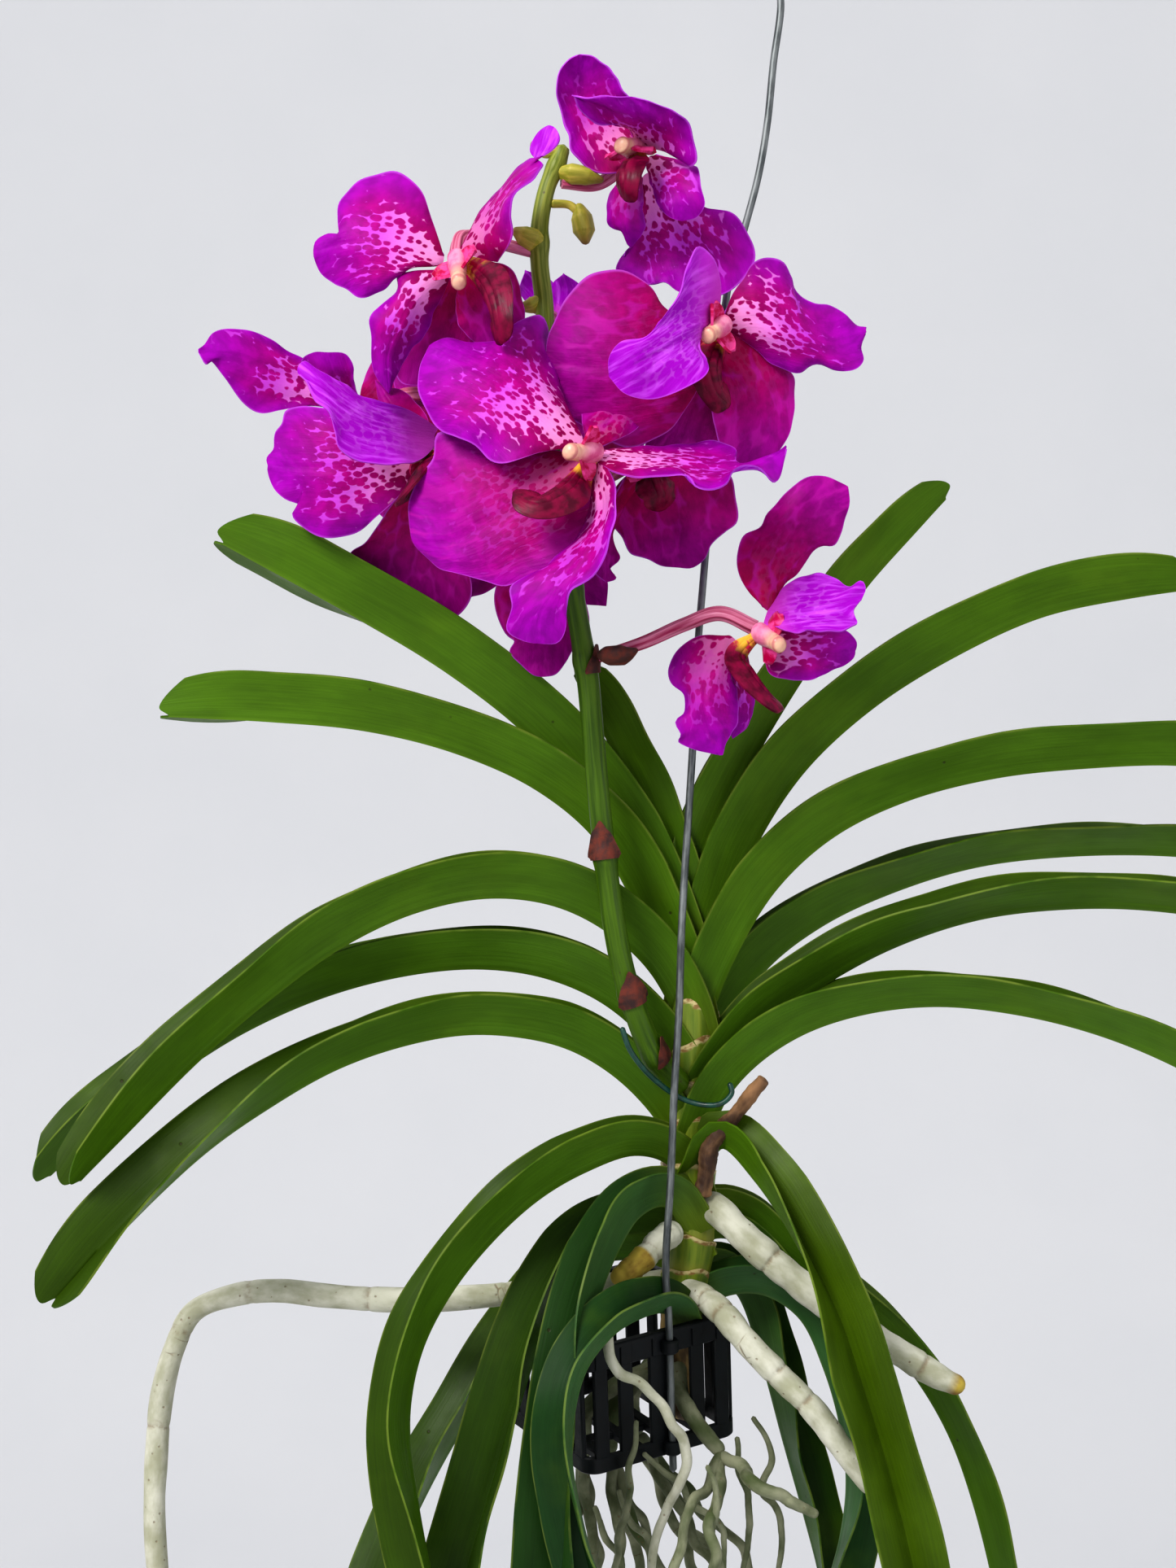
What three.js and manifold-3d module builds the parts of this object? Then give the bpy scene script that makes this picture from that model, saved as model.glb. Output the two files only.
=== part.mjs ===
// Potted vanda orchid: a bare-rooted plant in a small slatted basket that hangs on one stiff wire.
// Millimetres, +X to the viewer's right, +Y away from the viewer, +Z up.
// The origin is the point at which the wire's top hook hangs.

import * as THREE from 'three';
import { mergeVertices } from 'three/addons/utils/BufferGeometryUtils.js';
import Module from 'manifold-3d';

const wasm = await Module();
wasm.setup();

// Driving dimensions
const SEAT_GAP = 0.35;
const LEAF_THICKNESS = 1.5;
const LEAF_ROWS = 7;
const PETAL_THICKNESS = 0.9;
const PETAL_ROWS = 6;
const HIDDEN_PETAL_ROWS = 3;
const PETAL_SPAN = 0.96;
const PETAL_FOOT_SHARE = 0.2;
const LEAST_DETAIL = 0.01;
const LEAF_FOOT_SHARE = 0.72;
const LEAF_WIDENING = 1.12;
const LEAF_END = { from: 0.93, share: 0.55 };
const LEAST_FOLD_COSINE = 0.4;
const WIRE_RADIUS = 1.3;
const CLIP_WIRE_RADIUS = 0.9;
const PEDICEL_RADIUS = 2.1;
const COLUMN_RADII = [3.4, 3.8, 3.4];
const HEART_RADIUS = 4.2;
const LIP_RADII = [2.6, 4.6, 5.4, 4.6, 2.4];
const TRUNK_RADII = [3, 3, 2.6];
const FORK_RADIUS = 2.2;
const STRAND_END_SHARE = 0.7;

// Steps along the round bars, and sides around them
const MESH = {
  wire: { sides: 6 },
  stem: { steps: 7, sides: 7 },
  deadSpike: { steps: 6, sides: 6 },
  spike: { steps: 17, sides: 6 },
  bract: { steps: 2, sides: 5 },
  clip: { steps: 14, sides: 5 },
  root: { sides: 6 },
  trunk: { steps: 5, sides: 6 },
  strand: { steps: 4, sides: 4 },
  column: { steps: 2, sides: 4 },
  lip: { steps: 3, sides: 5 },
  pedicel: { steps: 4, sides: 4 },
};

// The open hook at the wire's top: bend radius, the two points before the bend, and its turn in degrees
const HOOK = {
  radius: 8.3,
  approach: [[-3.6, 0, -24], [-7.4, 0, -15]],
  from: 180,
  to: -30,
  step: 30,
};

// The basket: a square tray of slats, turned and tipped towards the viewer.
// Each slat of a wall is [place along the wall, width].
const BASKET = {
  width: 62,
  height: 46,
  wall: 2.2,
  rim: 9,
  base: 6,
  slats: [[-24.5, 5.6], [-14.5, 5.6], [0, 10], [14.5, 5.6], [24.5, 5.6]],
  floorBars: [-20, -6.5, 6.5, 20],
  slatWall: 1.9,
  slatLap: 1,
  cornerRadius: 6,
  floorBarWidth: 4.4,
  floorBarHeight: 3,
  crossBarHeight: 2.6,
  floorRise: 1.6,
  lugReach: 4.8,
  lugWidth: 7,
  lugHeight: 4.5,
  lugShare: 0.6,
  topCentre: [-60.4, -3.6, -494.1],
  yaw: 30,
  tip: 10,
  lean: -2,
};

// Where the wire lies on the basket's front wall, in the basket's axes
const WIRE_SEAT = { along: 2, out: -32.8, crossBar: -8, levels: [-52, -44, -23, -4, 6] };

// The sighting grid in which the plant's paths are given: [across, down, depth].
// Across and down count grid steps from the upper left, depth is in millimetres behind the stem's plane.
const GRID = {
  step: 0.29,
  eyeDistance: 900,
  centreAcross: 722.5,
  centreDown: 963.5,
  centreX: -70,
  centreZ: -310,
};

// Leaves of the left rank, from the crown down: keel line, half width, fold and roll in degrees
const LEFT_LEAVES = [
  {
    keel: [
      [838, 1200, 0], [822, 1100, 1], [785, 985, 3], [745, 900, 5],
      [700, 818, 8],
    ],
    halfWidth: 14,
    fold: [80, 70, 50],
    roll: [0, 5, 10],
  },
  {
    keel: [
      [842, 1215, -2], [826, 1170, -2], [780, 1072, -4], [715, 972, -8],
      [640, 893, -14], [550, 824, -20], [450, 763, -26], [350, 708, -30],
      [262, 662, -32],
    ],
    halfWidth: 18,
    fold: [78, 50, 33],
    roll: [2, 35, 50],
  },
  {
    keel: [
      [846, 1275, -2], [828, 1210, -3], [790, 1125, -6], [735, 1030, -10],
      [660, 967, -14], [560, 922, -18], [450, 895, -20], [330, 884, -20],
      [194, 880, -18],
    ],
    halfWidth: 17,
    fold: [78, 52, 40],
    roll: [2, 10, 48],
  },
  {
    keel: [
      [850, 1320, -4], [835, 1255, -6], [800, 1190, -10], [745, 1140, -16],
      [680, 1109, -22], [600, 1100, -28], [510, 1118, -34], [420, 1160, -40],
      [330, 1225, -46], [240, 1303, -52], [160, 1385, -56], [86, 1464, -58],
    ],
    halfWidth: 17,
    fold: [78, 58, 60],
    roll: [2, 0, -28],
  },
  {
    keel: [
      [850, 1385, -4], [832, 1330, -6], [795, 1275, -8], [740, 1228, -12],
      [670, 1198, -14], [590, 1187, -16], [500, 1195, -18], [400, 1221, -20],
      [300, 1265, -22], [210, 1322, -24], [125, 1385, -26], [50, 1455, -28],
    ],
    halfWidth: 16,
    fold: [78, 56, 58],
    roll: [2, 0, -20],
  },
  {
    keel: [
      [846, 1440, -2], [828, 1405, -4], [800, 1362, -8], [755, 1318, -12],
      [700, 1286, -16], [640, 1271, -20], [570, 1268, -24], [490, 1283, -30],
      [410, 1312, -36], [330, 1358, -42], [250, 1415, -48], [150, 1510, -54],
      [58, 1608, -58],
    ],
    halfWidth: 16,
    fold: [78, 50, 38],
    roll: [2, 0, -62],
  },
  {
    keel: [
      [846, 1475, -2], [825, 1430, -8], [780, 1416, -18], [720, 1436, -28],
      [660, 1471, -36], [600, 1526, -42], [550, 1590, -46], [515, 1660, -48],
      [500, 1740, -50], [508, 1830, -50], [525, 1920, -50], [550, 2010, -50],
    ],
    halfWidth: 15,
    fold: [78, 50, 40],
    roll: [0, -10, -50],
  },
  {
    keel: [
      [848, 1520, -6], [820, 1480, -12], [785, 1492, -24], [755, 1540, -38],
      [732, 1600, -48], [715, 1670, -54], [700, 1750, -56], [690, 1840, -54],
      [682, 1930, -48], [676, 2030, -42], [672, 2120, -36],
    ],
    halfWidth: 16,
    fold: [76, 55, 35],
    roll: [0, -55, -78],
  },
  {
    keel: [
      [846, 1560, 0], [822, 1518, 2], [780, 1512, -2], [735, 1530, -10],
      [695, 1580, -22], [662, 1650, -32], [635, 1730, -36], [612, 1810, -34],
      [588, 1890, -31], [562, 1980, -28], [540, 2070, -28],
    ],
    halfWidth: 17,
    fold: [76, 50, 40],
    roll: [0, -45, -55],
  },
  {
    keel: [
      [844, 1580, 4], [818, 1556, 10], [780, 1545, 20], [735, 1550, 30],
      [680, 1585, 38], [630, 1648, 42], [582, 1728, 36], [540, 1800, 28],
      [505, 1870, 20], [475, 1945, 12], [450, 2030, 4],
    ],
    halfWidth: 15,
    fold: [74, 50, 42],
    roll: [0, -20, -45],
  },
  {
    keel: [
      [838, 1640, -6], [820, 1612, -24], [785, 1618, -46], [748, 1642, -62],
      [718, 1682, -70], [703, 1735, -74], [700, 1795, -72], [710, 1855, -66],
      [724, 1915, -58], [742, 1985, -50], [765, 2060, -44],
    ],
    halfWidth: 13,
    fold: [72, 45, 30],
    roll: [0, -35, -62],
  },
];

// Leaves of the right rank, from the crown down: keel line, half width, fold and roll in degrees
const RIGHT_LEAVES = [
  {
    keel: [
      [846, 1200, 2], [862, 1080, 3], [890, 1000, 5], [925, 930, 7],
      [980, 838, 9], [1060, 722, 10], [1120, 655, 10], [1172, 602, 9],
    ],
    halfWidth: 15,
    fold: [80, 65, 50],
    roll: [0, 5, 10],
  },
  {
    keel: [
      [850, 1265, -2], [866, 1205, -2], [890, 1130, -1], [925, 1040, 1],
      [985, 947, 4], [1070, 868, 8], [1170, 805, 12], [1280, 755, 15],
      [1385, 733, 17], [1478, 722, 18],
    ],
    halfWidth: 17,
    fold: [78, 55, 45],
    roll: [2, 18, 20],
  },
  {
    keel: [
      [852, 1325, -4], [870, 1250, -5], [900, 1175, -6], [950, 1092, -8],
      [1020, 1027, -10], [1110, 982, -12], [1220, 953, -14], [1340, 940, -16],
      [1450, 937, -18], [1560, 951, -18], [1660, 985, -16],
    ],
    halfWidth: 17,
    fold: [78, 50, 45],
    roll: [2, 8, 15],
  },
  {
    keel: [
      [852, 1385, -2], [868, 1320, 0], [892, 1258, 3], [940, 1188, 8],
      [1010, 1134, 12], [1100, 1092, 16], [1200, 1062, 20], [1310, 1049, 24],
      [1430, 1048, 28], [1540, 1060, 30], [1640, 1090, 30],
    ],
    halfWidth: 16,
    fold: [78, 42, 40],
    roll: [2, -2, 2],
  },
  {
    keel: [
      [854, 1430, -2], [868, 1368, -4], [895, 1318, -8], [945, 1257, -12],
      [1015, 1205, -16], [1100, 1160, -20], [1200, 1127, -24], [1300, 1114, -28],
      [1400, 1114, -32], [1500, 1128, -34], [1600, 1160, -34],
    ],
    halfWidth: 16,
    fold: [78, 46, 40],
    roll: [2, -6, 2],
  },
  {
    keel: [
      [852, 1470, -2], [866, 1410, -6], [888, 1352, -10], [925, 1308, -14],
      [985, 1268, -20], [1060, 1243, -26], [1150, 1233, -32], [1250, 1243, -38],
      [1350, 1268, -44], [1445, 1307, -48], [1530, 1357, -50], [1610, 1425, -50],
    ],
    halfWidth: 15,
    fold: [78, 44, 40],
    roll: [2, 0, 0],
  },
  {
    keel: [
      [852, 1500, 2], [866, 1440, -4], [888, 1408, -12], [930, 1450, -22],
      [985, 1535, -32], [1030, 1620, -38], [1065, 1720, -42], [1095, 1820, -44],
      [1120, 1920, -44], [1138, 2020, -42], [1150, 2120, -38],
    ],
    halfWidth: 15,
    fold: [74, 50, 42],
    roll: [0, -85, -88],
  },
  {
    keel: [
      [856, 1530, 6], [875, 1492, 8], [910, 1498, 12], [960, 1545, 16],
      [1020, 1590, 20], [1080, 1635, 24], [1130, 1695, 26], [1170, 1765, 28],
      [1200, 1850, 28], [1222, 1940, 26], [1236, 2030, 22],
    ],
    halfWidth: 13,
    fold: [74, 45, 40],
    roll: [0, 0, 0],
  },
  {
    keel: [
      [854, 1560, 6], [870, 1522, 8], [900, 1520, 12], [945, 1560, 18],
      [1000, 1640, 22], [1045, 1750, 22], [1075, 1850, 20], [1095, 1945, 16],
      [1108, 2040, 12],
    ],
    halfWidth: 13,
    fold: [74, 50, 40],
    roll: [0, -30, -40],
  },
  {
    keel: [
      [846, 1640, -2], [864, 1606, 0], [895, 1588, 2], [940, 1588, 4],
      [985, 1618, 3], [1015, 1680, -3], [1035, 1750, -8], [1043, 1820, -10],
      [1035, 1890, -10], [1015, 1960, -10], [990, 2040, -8],
    ],
    halfWidth: 14,
    fold: [72, 45, 40],
    roll: [0, -20, -60],
  },
  {
    keel: [
      [846, 1605, 6], [872, 1566, 14], [908, 1588, 24], [938, 1670, 30],
      [965, 1770, 32], [990, 1860, 28], [1010, 1940, 24], [1022, 2030, 18],
    ],
    halfWidth: 14,
    fold: [72, 48, 40],
    roll: [0, -25, -40],
  },
];

// Blooms, front ones first. A petal is its midrib, left edge and right edge, each from the heart to
// the tip, as its front shows them with the tip away.
const BLOOMS = {
  bloom_center: {
    heart: [722, 560, -72],
    column: [[730, 557, -75], [697, 555, -90]],
    lip: [[712, 584, -78], [694, 604, -88], [662, 618, -92], [632, 604, -88]],
    pedicel: [[676, 590, -34], [700, 575, -50], [722, 560, -72]],
    petals: [
      {
        mid: [[714, 548, -74], [668, 505, -76], [615, 468, -74], [565, 442, -68], [528, 424, -62]],
        left: [
          [700, 550, -76], [660, 557, -80], [625, 568, -82], [602, 566, -80], [580, 546, -78],
          [560, 537, -76], [541, 529, -72], [524, 505, -68], [517, 475, -64], [520, 446, -62],
          [528, 424, -62],
        ],
        right: [
          [716, 540, -72], [700, 505, -66], [686, 465, -56], [676, 425, -50], [664, 390, -48],
          [640, 402, -52], [612, 420, -56], [580, 418, -58], [552, 414, -60], [528, 424, -62],
        ],
      },
      {
        mid: [[712, 570, -72], [660, 607, -74], [600, 642, -74], [550, 666, -70], [506, 664, -64]],
        left: [
          [726, 576, -74], [738, 610, -76], [728, 650, -78], [695, 690, -78], [655, 706, -76],
          [620, 720, -74], [598, 712, -72], [560, 703, -70], [535, 697, -66], [515, 677, -64],
          [506, 664, -64],
        ],
        right: [
          [702, 558, -68], [660, 550, -68], [610, 546, -68], [570, 540, -66], [541, 534, -64],
          [533, 565, -64], [512, 598, -62], [502, 632, -62], [506, 664, -64],
        ],
      },
      {
        mid: [
          [734, 562, -72], [780, 566, -76], [830, 568, -80], [880, 576, -82], [930, 571, -78],
          [966, 552, -72],
        ],
        left: [
          [735, 555, -70], [762, 551, -66], [800, 549, -62], [850, 549, -60], [900, 553, -62],
          [908, 567, -70], [930, 566, -72], [950, 560, -70], [966, 548, -70],
        ],
        right: [
          [735, 570, -76], [758, 581, -84], [800, 584, -92], [842, 588, -98], [852, 600, -100],
          [875, 603, -100], [893, 598, -98], [904, 581, -92], [934, 578, -86], [951, 592, -82],
          [959, 586, -78], [966, 552, -74],
        ],
      },
      {
        mid: [
          [732, 572, -74], [740, 630, -86], [714, 680, -92], [682, 725, -94], [663, 758, -92],
          [661, 791, -88],
        ],
        left: [
          [742, 568, -76], [757, 600, -90], [748, 645, -98], [741, 680, -100], [729, 706, -100],
          [701, 722, -98], [697, 745, -94], [694, 770, -90], [684, 789, -88], [661, 791, -88],
        ],
        right: [
          [727, 590, -72], [722, 630, -76], [702, 665, -80], [668, 698, -86], [628, 722, -88],
          [631, 745, -88], [624, 774, -86], [640, 787, -86], [661, 791, -88],
        ],
      },
      {
        mid: [[728, 548, -70], [750, 515, -60], [765, 480, -48], [775, 440, -42]],
        left: [[720, 545, -70], [715, 510, -56], [722, 470, -46], [745, 440, -42], [775, 436, -42]],
        right: [[738, 550, -70], [785, 525, -56], [812, 485, -46], [806, 448, -42], [775, 436, -42]],
      },
    ],
  },
  bloom_upper_left: {
    heart: [560, 320, -50],
    column: [[562, 318, -54], [564, 350, -66]],
    lip: [[586, 334, -60], [604, 358, -70], [612, 394, -74], [613, 424, -70]],
    pedicel: [[662, 312, -32], [600, 296, -34], [568, 292, -42], [560, 320, -50]],
    petals: [
      {
        mid: [[545, 320, -50], [500, 306, -54], [455, 298, -54], [415, 301, -50], [385, 312, -46]],
        left: [
          [542, 327, -50], [505, 330, -52], [488, 340, -52], [470, 356, -50], [446, 363, -48],
          [425, 353, -46], [411, 350, -46], [393, 335, -44], [385, 312, -46],
        ],
        right: [
          [545, 313, -50], [532, 275, -48], [516, 235, -46], [494, 214, -44], [472, 208, -42],
          [440, 218, -42], [420, 243, -44], [416, 272, -48], [417, 288, -50], [402, 289, -46],
          [389, 297, -44], [385, 312, -46],
        ],
      },
      {
        mid: [[575, 312, -50], [602, 265, -56], [630, 226, -60], [658, 198, -62], [674, 154, -58]],
        left: [
          [568, 306, -48], [598, 250, -46], [625, 214, -48], [645, 198, -54], [670, 190, -66],
          [686, 173, -64], [683, 158, -60], [674, 154, -58],
        ],
        right: [
          [612, 322, -54], [627, 295, -64], [629, 262, -68], [631, 242, -68], [658, 219, -70],
          [668, 204, -66], [653, 188, -58], [662, 164, -56], [674, 154, -58],
        ],
      },
      {
        mid: [[546, 338, -50], [512, 362, -54], [490, 400, -54], [476, 435, -50], [478, 484, -44]],
        left: [
          [552, 342, -48], [540, 372, -46], [524, 402, -44], [504, 430, -44], [490, 455, -44],
          [478, 484, -44],
        ],
        right: [
          [540, 332, -50], [505, 334, -52], [487, 339, -52], [484, 358, -52], [466, 377, -52],
          [455, 393, -52], [458, 418, -50], [458, 440, -48], [463, 462, -46], [478, 484, -44],
        ],
      },
      {
        mid: [[575, 335, -46], [594, 366, -46], [606, 398, -44], [612, 432, -42]],
        left: [
          [590, 322, -46], [622, 327, -44], [641, 357, -42], [646, 390, -40], [636, 418, -40],
          [612, 432, -42],
        ],
        right: [[566, 345, -46], [561, 370, -44], [566, 400, -42], [582, 422, -42], [612, 432, -42]],
      },
      {
        mid: [[556, 342, -44], [545, 380, -40], [538, 420, -36], [532, 470, -30]],
        left: [[566, 345, -44], [584, 378, -40], [586, 415, -36], [566, 452, -32], [532, 474, -30]],
        right: [
          [548, 345, -44], [526, 372, -38], [504, 408, -34], [484, 440, -30], [492, 468, -28],
          [532, 474, -30],
        ],
      },
    ],
  },
  bloom_upper_right: {
    heart: [885, 402, -54],
    column: [[888, 400, -58], [868, 414, -68]],
    lip: [[880, 428, -58], [874, 452, -64], [880, 478, -64], [896, 499, -58]],
    pedicel: [[668, 420, -32], [780, 430, -26], [885, 402, -54]],
    petals: [
      {
        mid: [[876, 412, -54], [820, 438, -60], [760, 450, -62], [710, 450, -60], [671, 446, -56]],
        left: [
          [878, 425, -52], [852, 490, -52], [815, 535, -50], [770, 548, -50], [735, 528, -52],
          [700, 512, -54], [680, 482, -56], [671, 446, -56],
        ],
        right: [
          [872, 400, -54], [840, 392, -54], [812, 374, -54], [790, 345, -54], [755, 333, -54],
          [715, 348, -54], [686, 380, -56], [673, 414, -56], [671, 446, -56],
        ],
      },
      {
        mid: [[882, 396, -56], [852, 402, -72], [812, 425, -82], [776, 446, -86], [748, 463, -84]],
        left: [
          [884, 385, -58], [885, 345, -64], [876, 318, -68], [857, 303, -72], [838, 342, -76],
          [818, 384, -80], [795, 411, -84], [762, 420, -86], [748, 440, -86], [748, 463, -84],
        ],
        right: [
          [881, 404, -58], [859, 415, -68], [860, 432, -74], [871, 449, -76], [866, 463, -78],
          [840, 478, -80], [800, 491, -82], [768, 484, -84], [748, 463, -84],
        ],
      },
      {
        mid: [[888, 395, -54], [930, 391, -58], [980, 406, -56], [1025, 420, -50], [1064, 408, -46]],
        left: [
          [890, 386, -56], [901, 360, -58], [915, 340, -58], [926, 324, -58], [940, 319, -56],
          [961, 325, -54], [971, 341, -52], [973, 357, -50], [1000, 374, -48], [1021, 373, -46],
          [1041, 386, -46], [1054, 401, -44], [1064, 402, -46],
        ],
        right: [
          [892, 404, -52], [920, 422, -50], [950, 446, -50], [984, 460, -50], [1005, 451, -50],
          [1026, 456, -50], [1050, 454, -48], [1060, 443, -46], [1057, 428, -46], [1064, 408, -46],
        ],
      },
      {
        mid: [[890, 415, -50], [922, 465, -48], [936, 520, -44], [925, 576, -42]],
        left: [
          [896, 408, -50], [940, 430, -46], [978, 462, -44], [974, 502, -42], [965, 540, -42],
          [945, 568, -42], [925, 578, -42],
        ],
        right: [[884, 420, -48], [878, 460, -44], [876, 510, -42], [890, 556, -40], [925, 578, -42]],
      },
      {
        mid: [[882, 420, -48], [862, 470, -42], [842, 520, -38], [825, 572, -36]],
        left: [[890, 425, -46], [898, 480, -40], [892, 530, -38], [864, 568, -36], [825, 576, -36]],
        right: [[874, 425, -46], [828, 470, -40], [796, 525, -36], [796, 562, -36], [825, 576, -36]],
      },
    ],
  },
  bloom_lower_right: {
    heart: [928, 772, -48],
    column: [[934, 778, -54], [960, 794, -66]],
    lip: [[910, 806, -54], [922, 830, -60], [940, 852, -62], [962, 871, -58]],
    pedicel: [[734, 808, -32], [790, 790, -38], [840, 768, -42], [885, 754, -46], [928, 772, -48]],
    petals: [
      {
        mid: [[942, 750, -48], [946, 705, -50], [970, 660, -52], [1005, 620, -52], [1042, 598, -50]],
        left: [
          [936, 742, -48], [922, 730, -48], [908, 706, -48], [905, 682, -48], [914, 658, -48],
          [935, 647, -48], [943, 630, -48], [968, 606, -50], [990, 590, -50], [1014, 586, -50],
          [1034, 594, -50], [1042, 598, -50],
        ],
        right: [
          [950, 752, -48], [956, 732, -48], [966, 714, -48], [986, 698, -48], [1000, 680, -48],
          [1012, 672, -48], [1026, 669, -48], [1036, 644, -48], [1043, 618, -50], [1042, 598, -50],
        ],
      },
      {
        mid: [[942, 760, -52], [975, 752, -62], [1015, 746, -66], [1058, 736, -64]],
        left: [
          [938, 768, -56], [975, 774, -68], [1010, 776, -74], [1040, 775, -74], [1053, 767, -70],
          [1049, 750, -68], [1058, 738, -64],
        ],
        right: [
          [946, 748, -50], [965, 722, -52], [988, 706, -54], [1012, 704, -56], [1030, 711, -58],
          [1046, 721, -60], [1060, 716, -62], [1062, 728, -62], [1058, 738, -64],
        ],
      },
      {
        mid: [[940, 786, -50], [975, 796, -54], [1015, 800, -54], [1051, 800, -48]],
        left: [
          [946, 777, -52], [985, 768, -56], [1020, 768, -56], [1043, 778, -52], [1052, 792, -48],
          [1051, 800, -48],
        ],
        right: [
          [938, 802, -50], [946, 828, -50], [975, 835, -50], [1005, 832, -50], [1030, 822, -48],
          [1048, 809, -48], [1051, 800, -48],
        ],
      },
      {
        mid: [[902, 786, -50], [874, 820, -56], [866, 870, -60], [884, 928, -54]],
        left: [
          [908, 795, -52], [900, 830, -54], [908, 862, -56], [907, 886, -56], [893, 905, -54],
          [888, 928, -54],
        ],
        right: [
          [893, 782, -48], [860, 782, -46], [833, 795, -46], [820, 820, -48], [826, 839, -50],
          [842, 855, -54], [842, 877, -56], [832, 888, -56], [838, 900, -56], [834, 909, -54],
          [855, 921, -54], [884, 928, -54],
        ],
      },
      {
        mid: [[910, 800, -46], [912, 850, -46], [910, 882, -44], [900, 908, -42]],
        left: [[918, 800, -46], [924, 840, -44], [925, 868, -42], [917, 893, -42], [900, 908, -42]],
        right: [[900, 800, -46], [896, 840, -46], [890, 880, -44], [900, 908, -42]],
      },
    ],
  },
  bloom_crown: {
    heart: [782, 190, -34],
    column: [[780, 184, -40], [762, 178, -52]],
    lip: [[778, 198, -46], [768, 208, -54], [766, 226, -56], [768, 246, -50]],
    pedicel: [[690, 225, -32], [735, 226, -28], [782, 190, -34]],
    petals: [
      {
        mid: [[772, 186, -34], [745, 160, -32], [722, 125, -32], [712, 95, -36], [712, 67, -42]],
        left: [
          [768, 212, -36], [735, 213, -36], [714, 201, -36], [702, 186, -36], [701, 162, -36],
          [689, 131, -36], [682, 110, -38], [688, 86, -40], [699, 73, -42], [712, 67, -42],
        ],
        right: [
          [782, 176, -36], [784, 150, -38], [776, 120, -40], [760, 100, -42], [742, 80, -42],
          [728, 70, -42], [712, 67, -42],
        ],
      },
      {
        mid: [[788, 178, -38], [788, 158, -52], [782, 138, -62], [776, 119, -66]],
        left: [
          [780, 176, -40], [768, 150, -50], [742, 154, -56], [722, 145, -60], [706, 126, -64],
          [703, 112, -66], [722, 117, -68], [750, 120, -68], [776, 119, -66],
        ],
        right: [
          [796, 182, -40], [828, 189, -46], [850, 204, -50], [858, 198, -52], [853, 176, -54],
          [845, 157, -58], [830, 141, -62], [808, 128, -64], [776, 119, -66],
        ],
      },
      {
        mid: [[797, 196, -34], [820, 222, -44], [834, 248, -48], [838, 272, -46]],
        left: [
          [806, 190, -36], [845, 200, -42], [858, 208, -46], [862, 232, -48], [866, 252, -48],
          [856, 267, -46], [838, 272, -46],
        ],
        right: [[794, 206, -36], [802, 230, -42], [808, 252, -46], [820, 266, -46], [838, 272, -46]],
      },
      {
        mid: [[776, 212, -38], [768, 245, -42], [767, 275, -42], [775, 305, -36]],
        left: [[788, 215, -36], [791, 250, -36], [789, 284, -36], [775, 305, -36]],
        right: [
          [766, 216, -40], [750, 238, -42], [746, 260, -42], [749, 277, -40], [763, 285, -40],
          [770, 299, -38], [775, 305, -36],
        ],
      },
      {
        mid: [[792, 215, -30], [815, 262, -28], [840, 310, -28], [850, 362, -32]],
        left: [
          [802, 212, -30], [846, 240, -26], [870, 260, -24], [904, 271, -24], [926, 300, -26],
          [928, 319, -28], [906, 350, -30], [880, 364, -32], [850, 362, -32],
        ],
        right: [
          [786, 226, -30], [788, 264, -28], [780, 299, -28], [762, 315, -28], [757, 333, -28],
          [776, 340, -28], [796, 350, -28], [816, 347, -30], [832, 358, -30], [850, 362, -32],
        ],
      },
    ],
  },
  bloom_left: {
    heart: [520, 555, -40],
    column: [[522, 552, -44], [506, 560, -56]],
    lip: [[526, 566, -48], [514, 584, -58], [500, 604, -62], [487, 622, -60]],
    pedicel: [
      [668, 492, -34], [590, 482, -26], [535, 484, -22], [490, 488, -20], [470, 520, -24],
      [520, 555, -40],
    ],
    petals: [
      {
        mid: [[532, 538, -44], [480, 526, -62], [430, 506, -74], [395, 479, -78], [366, 459, -74]],
        left: [
          [538, 526, -42], [500, 503, -54], [455, 493, -64], [425, 473, -70], [395, 456, -74],
          [374, 443, -74], [366, 452, -74], [366, 459, -74],
        ],
        right: [
          [536, 548, -46], [516, 565, -60], [485, 570, -72], [440, 566, -78], [414, 552, -80],
          [409, 530, -80], [402, 506, -80], [387, 493, -80], [378, 470, -78], [366, 459, -74],
        ],
      },
      {
        mid: [[514, 562, -40], [460, 572, -46], [410, 576, -48], [365, 575, -44], [329, 572, -38]],
        left: [
          [518, 574, -42], [490, 610, -44], [462, 636, -44], [437, 657, -42], [405, 662, -42],
          [376, 652, -40], [359, 632, -38], [369, 621, -40], [352, 611, -40], [338, 598, -38],
          [330, 581, -38], [329, 572, -38],
        ],
        right: [
          [512, 548, -40], [470, 530, -42], [420, 510, -42], [385, 500, -42], [352, 504, -38],
          [347, 520, -38], [336, 530, -36], [335, 551, -38], [328, 562, -36], [329, 572, -38],
        ],
      },
      {
        mid: [[522, 574, -38], [515, 630, -30], [506, 690, -22], [500, 760, -14]],
        left: [
          [532, 574, -36], [552, 640, -28], [576, 700, -20], [578, 737, -16], [548, 765, -12],
          [500, 764, -14],
        ],
        right: [
          [512, 580, -38], [478, 625, -32], [452, 662, -26], [428, 686, -22], [440, 720, -18],
          [468, 748, -14], [500, 764, -14],
        ],
      },
      {
        mid: [[520, 545, -38], [500, 520, -42], [482, 498, -44], [461, 467, -40]],
        left: [[512, 550, -38], [490, 525, -42], [470, 500, -42], [461, 467, -40]],
        right: [[530, 545, -38], [524, 512, -40], [500, 484, -40], [470, 474, -40], [461, 467, -40]],
      },
      {
        mid: [[526, 540, -34], [528, 505, -20], [518, 475, -12], [500, 445, -8]],
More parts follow.
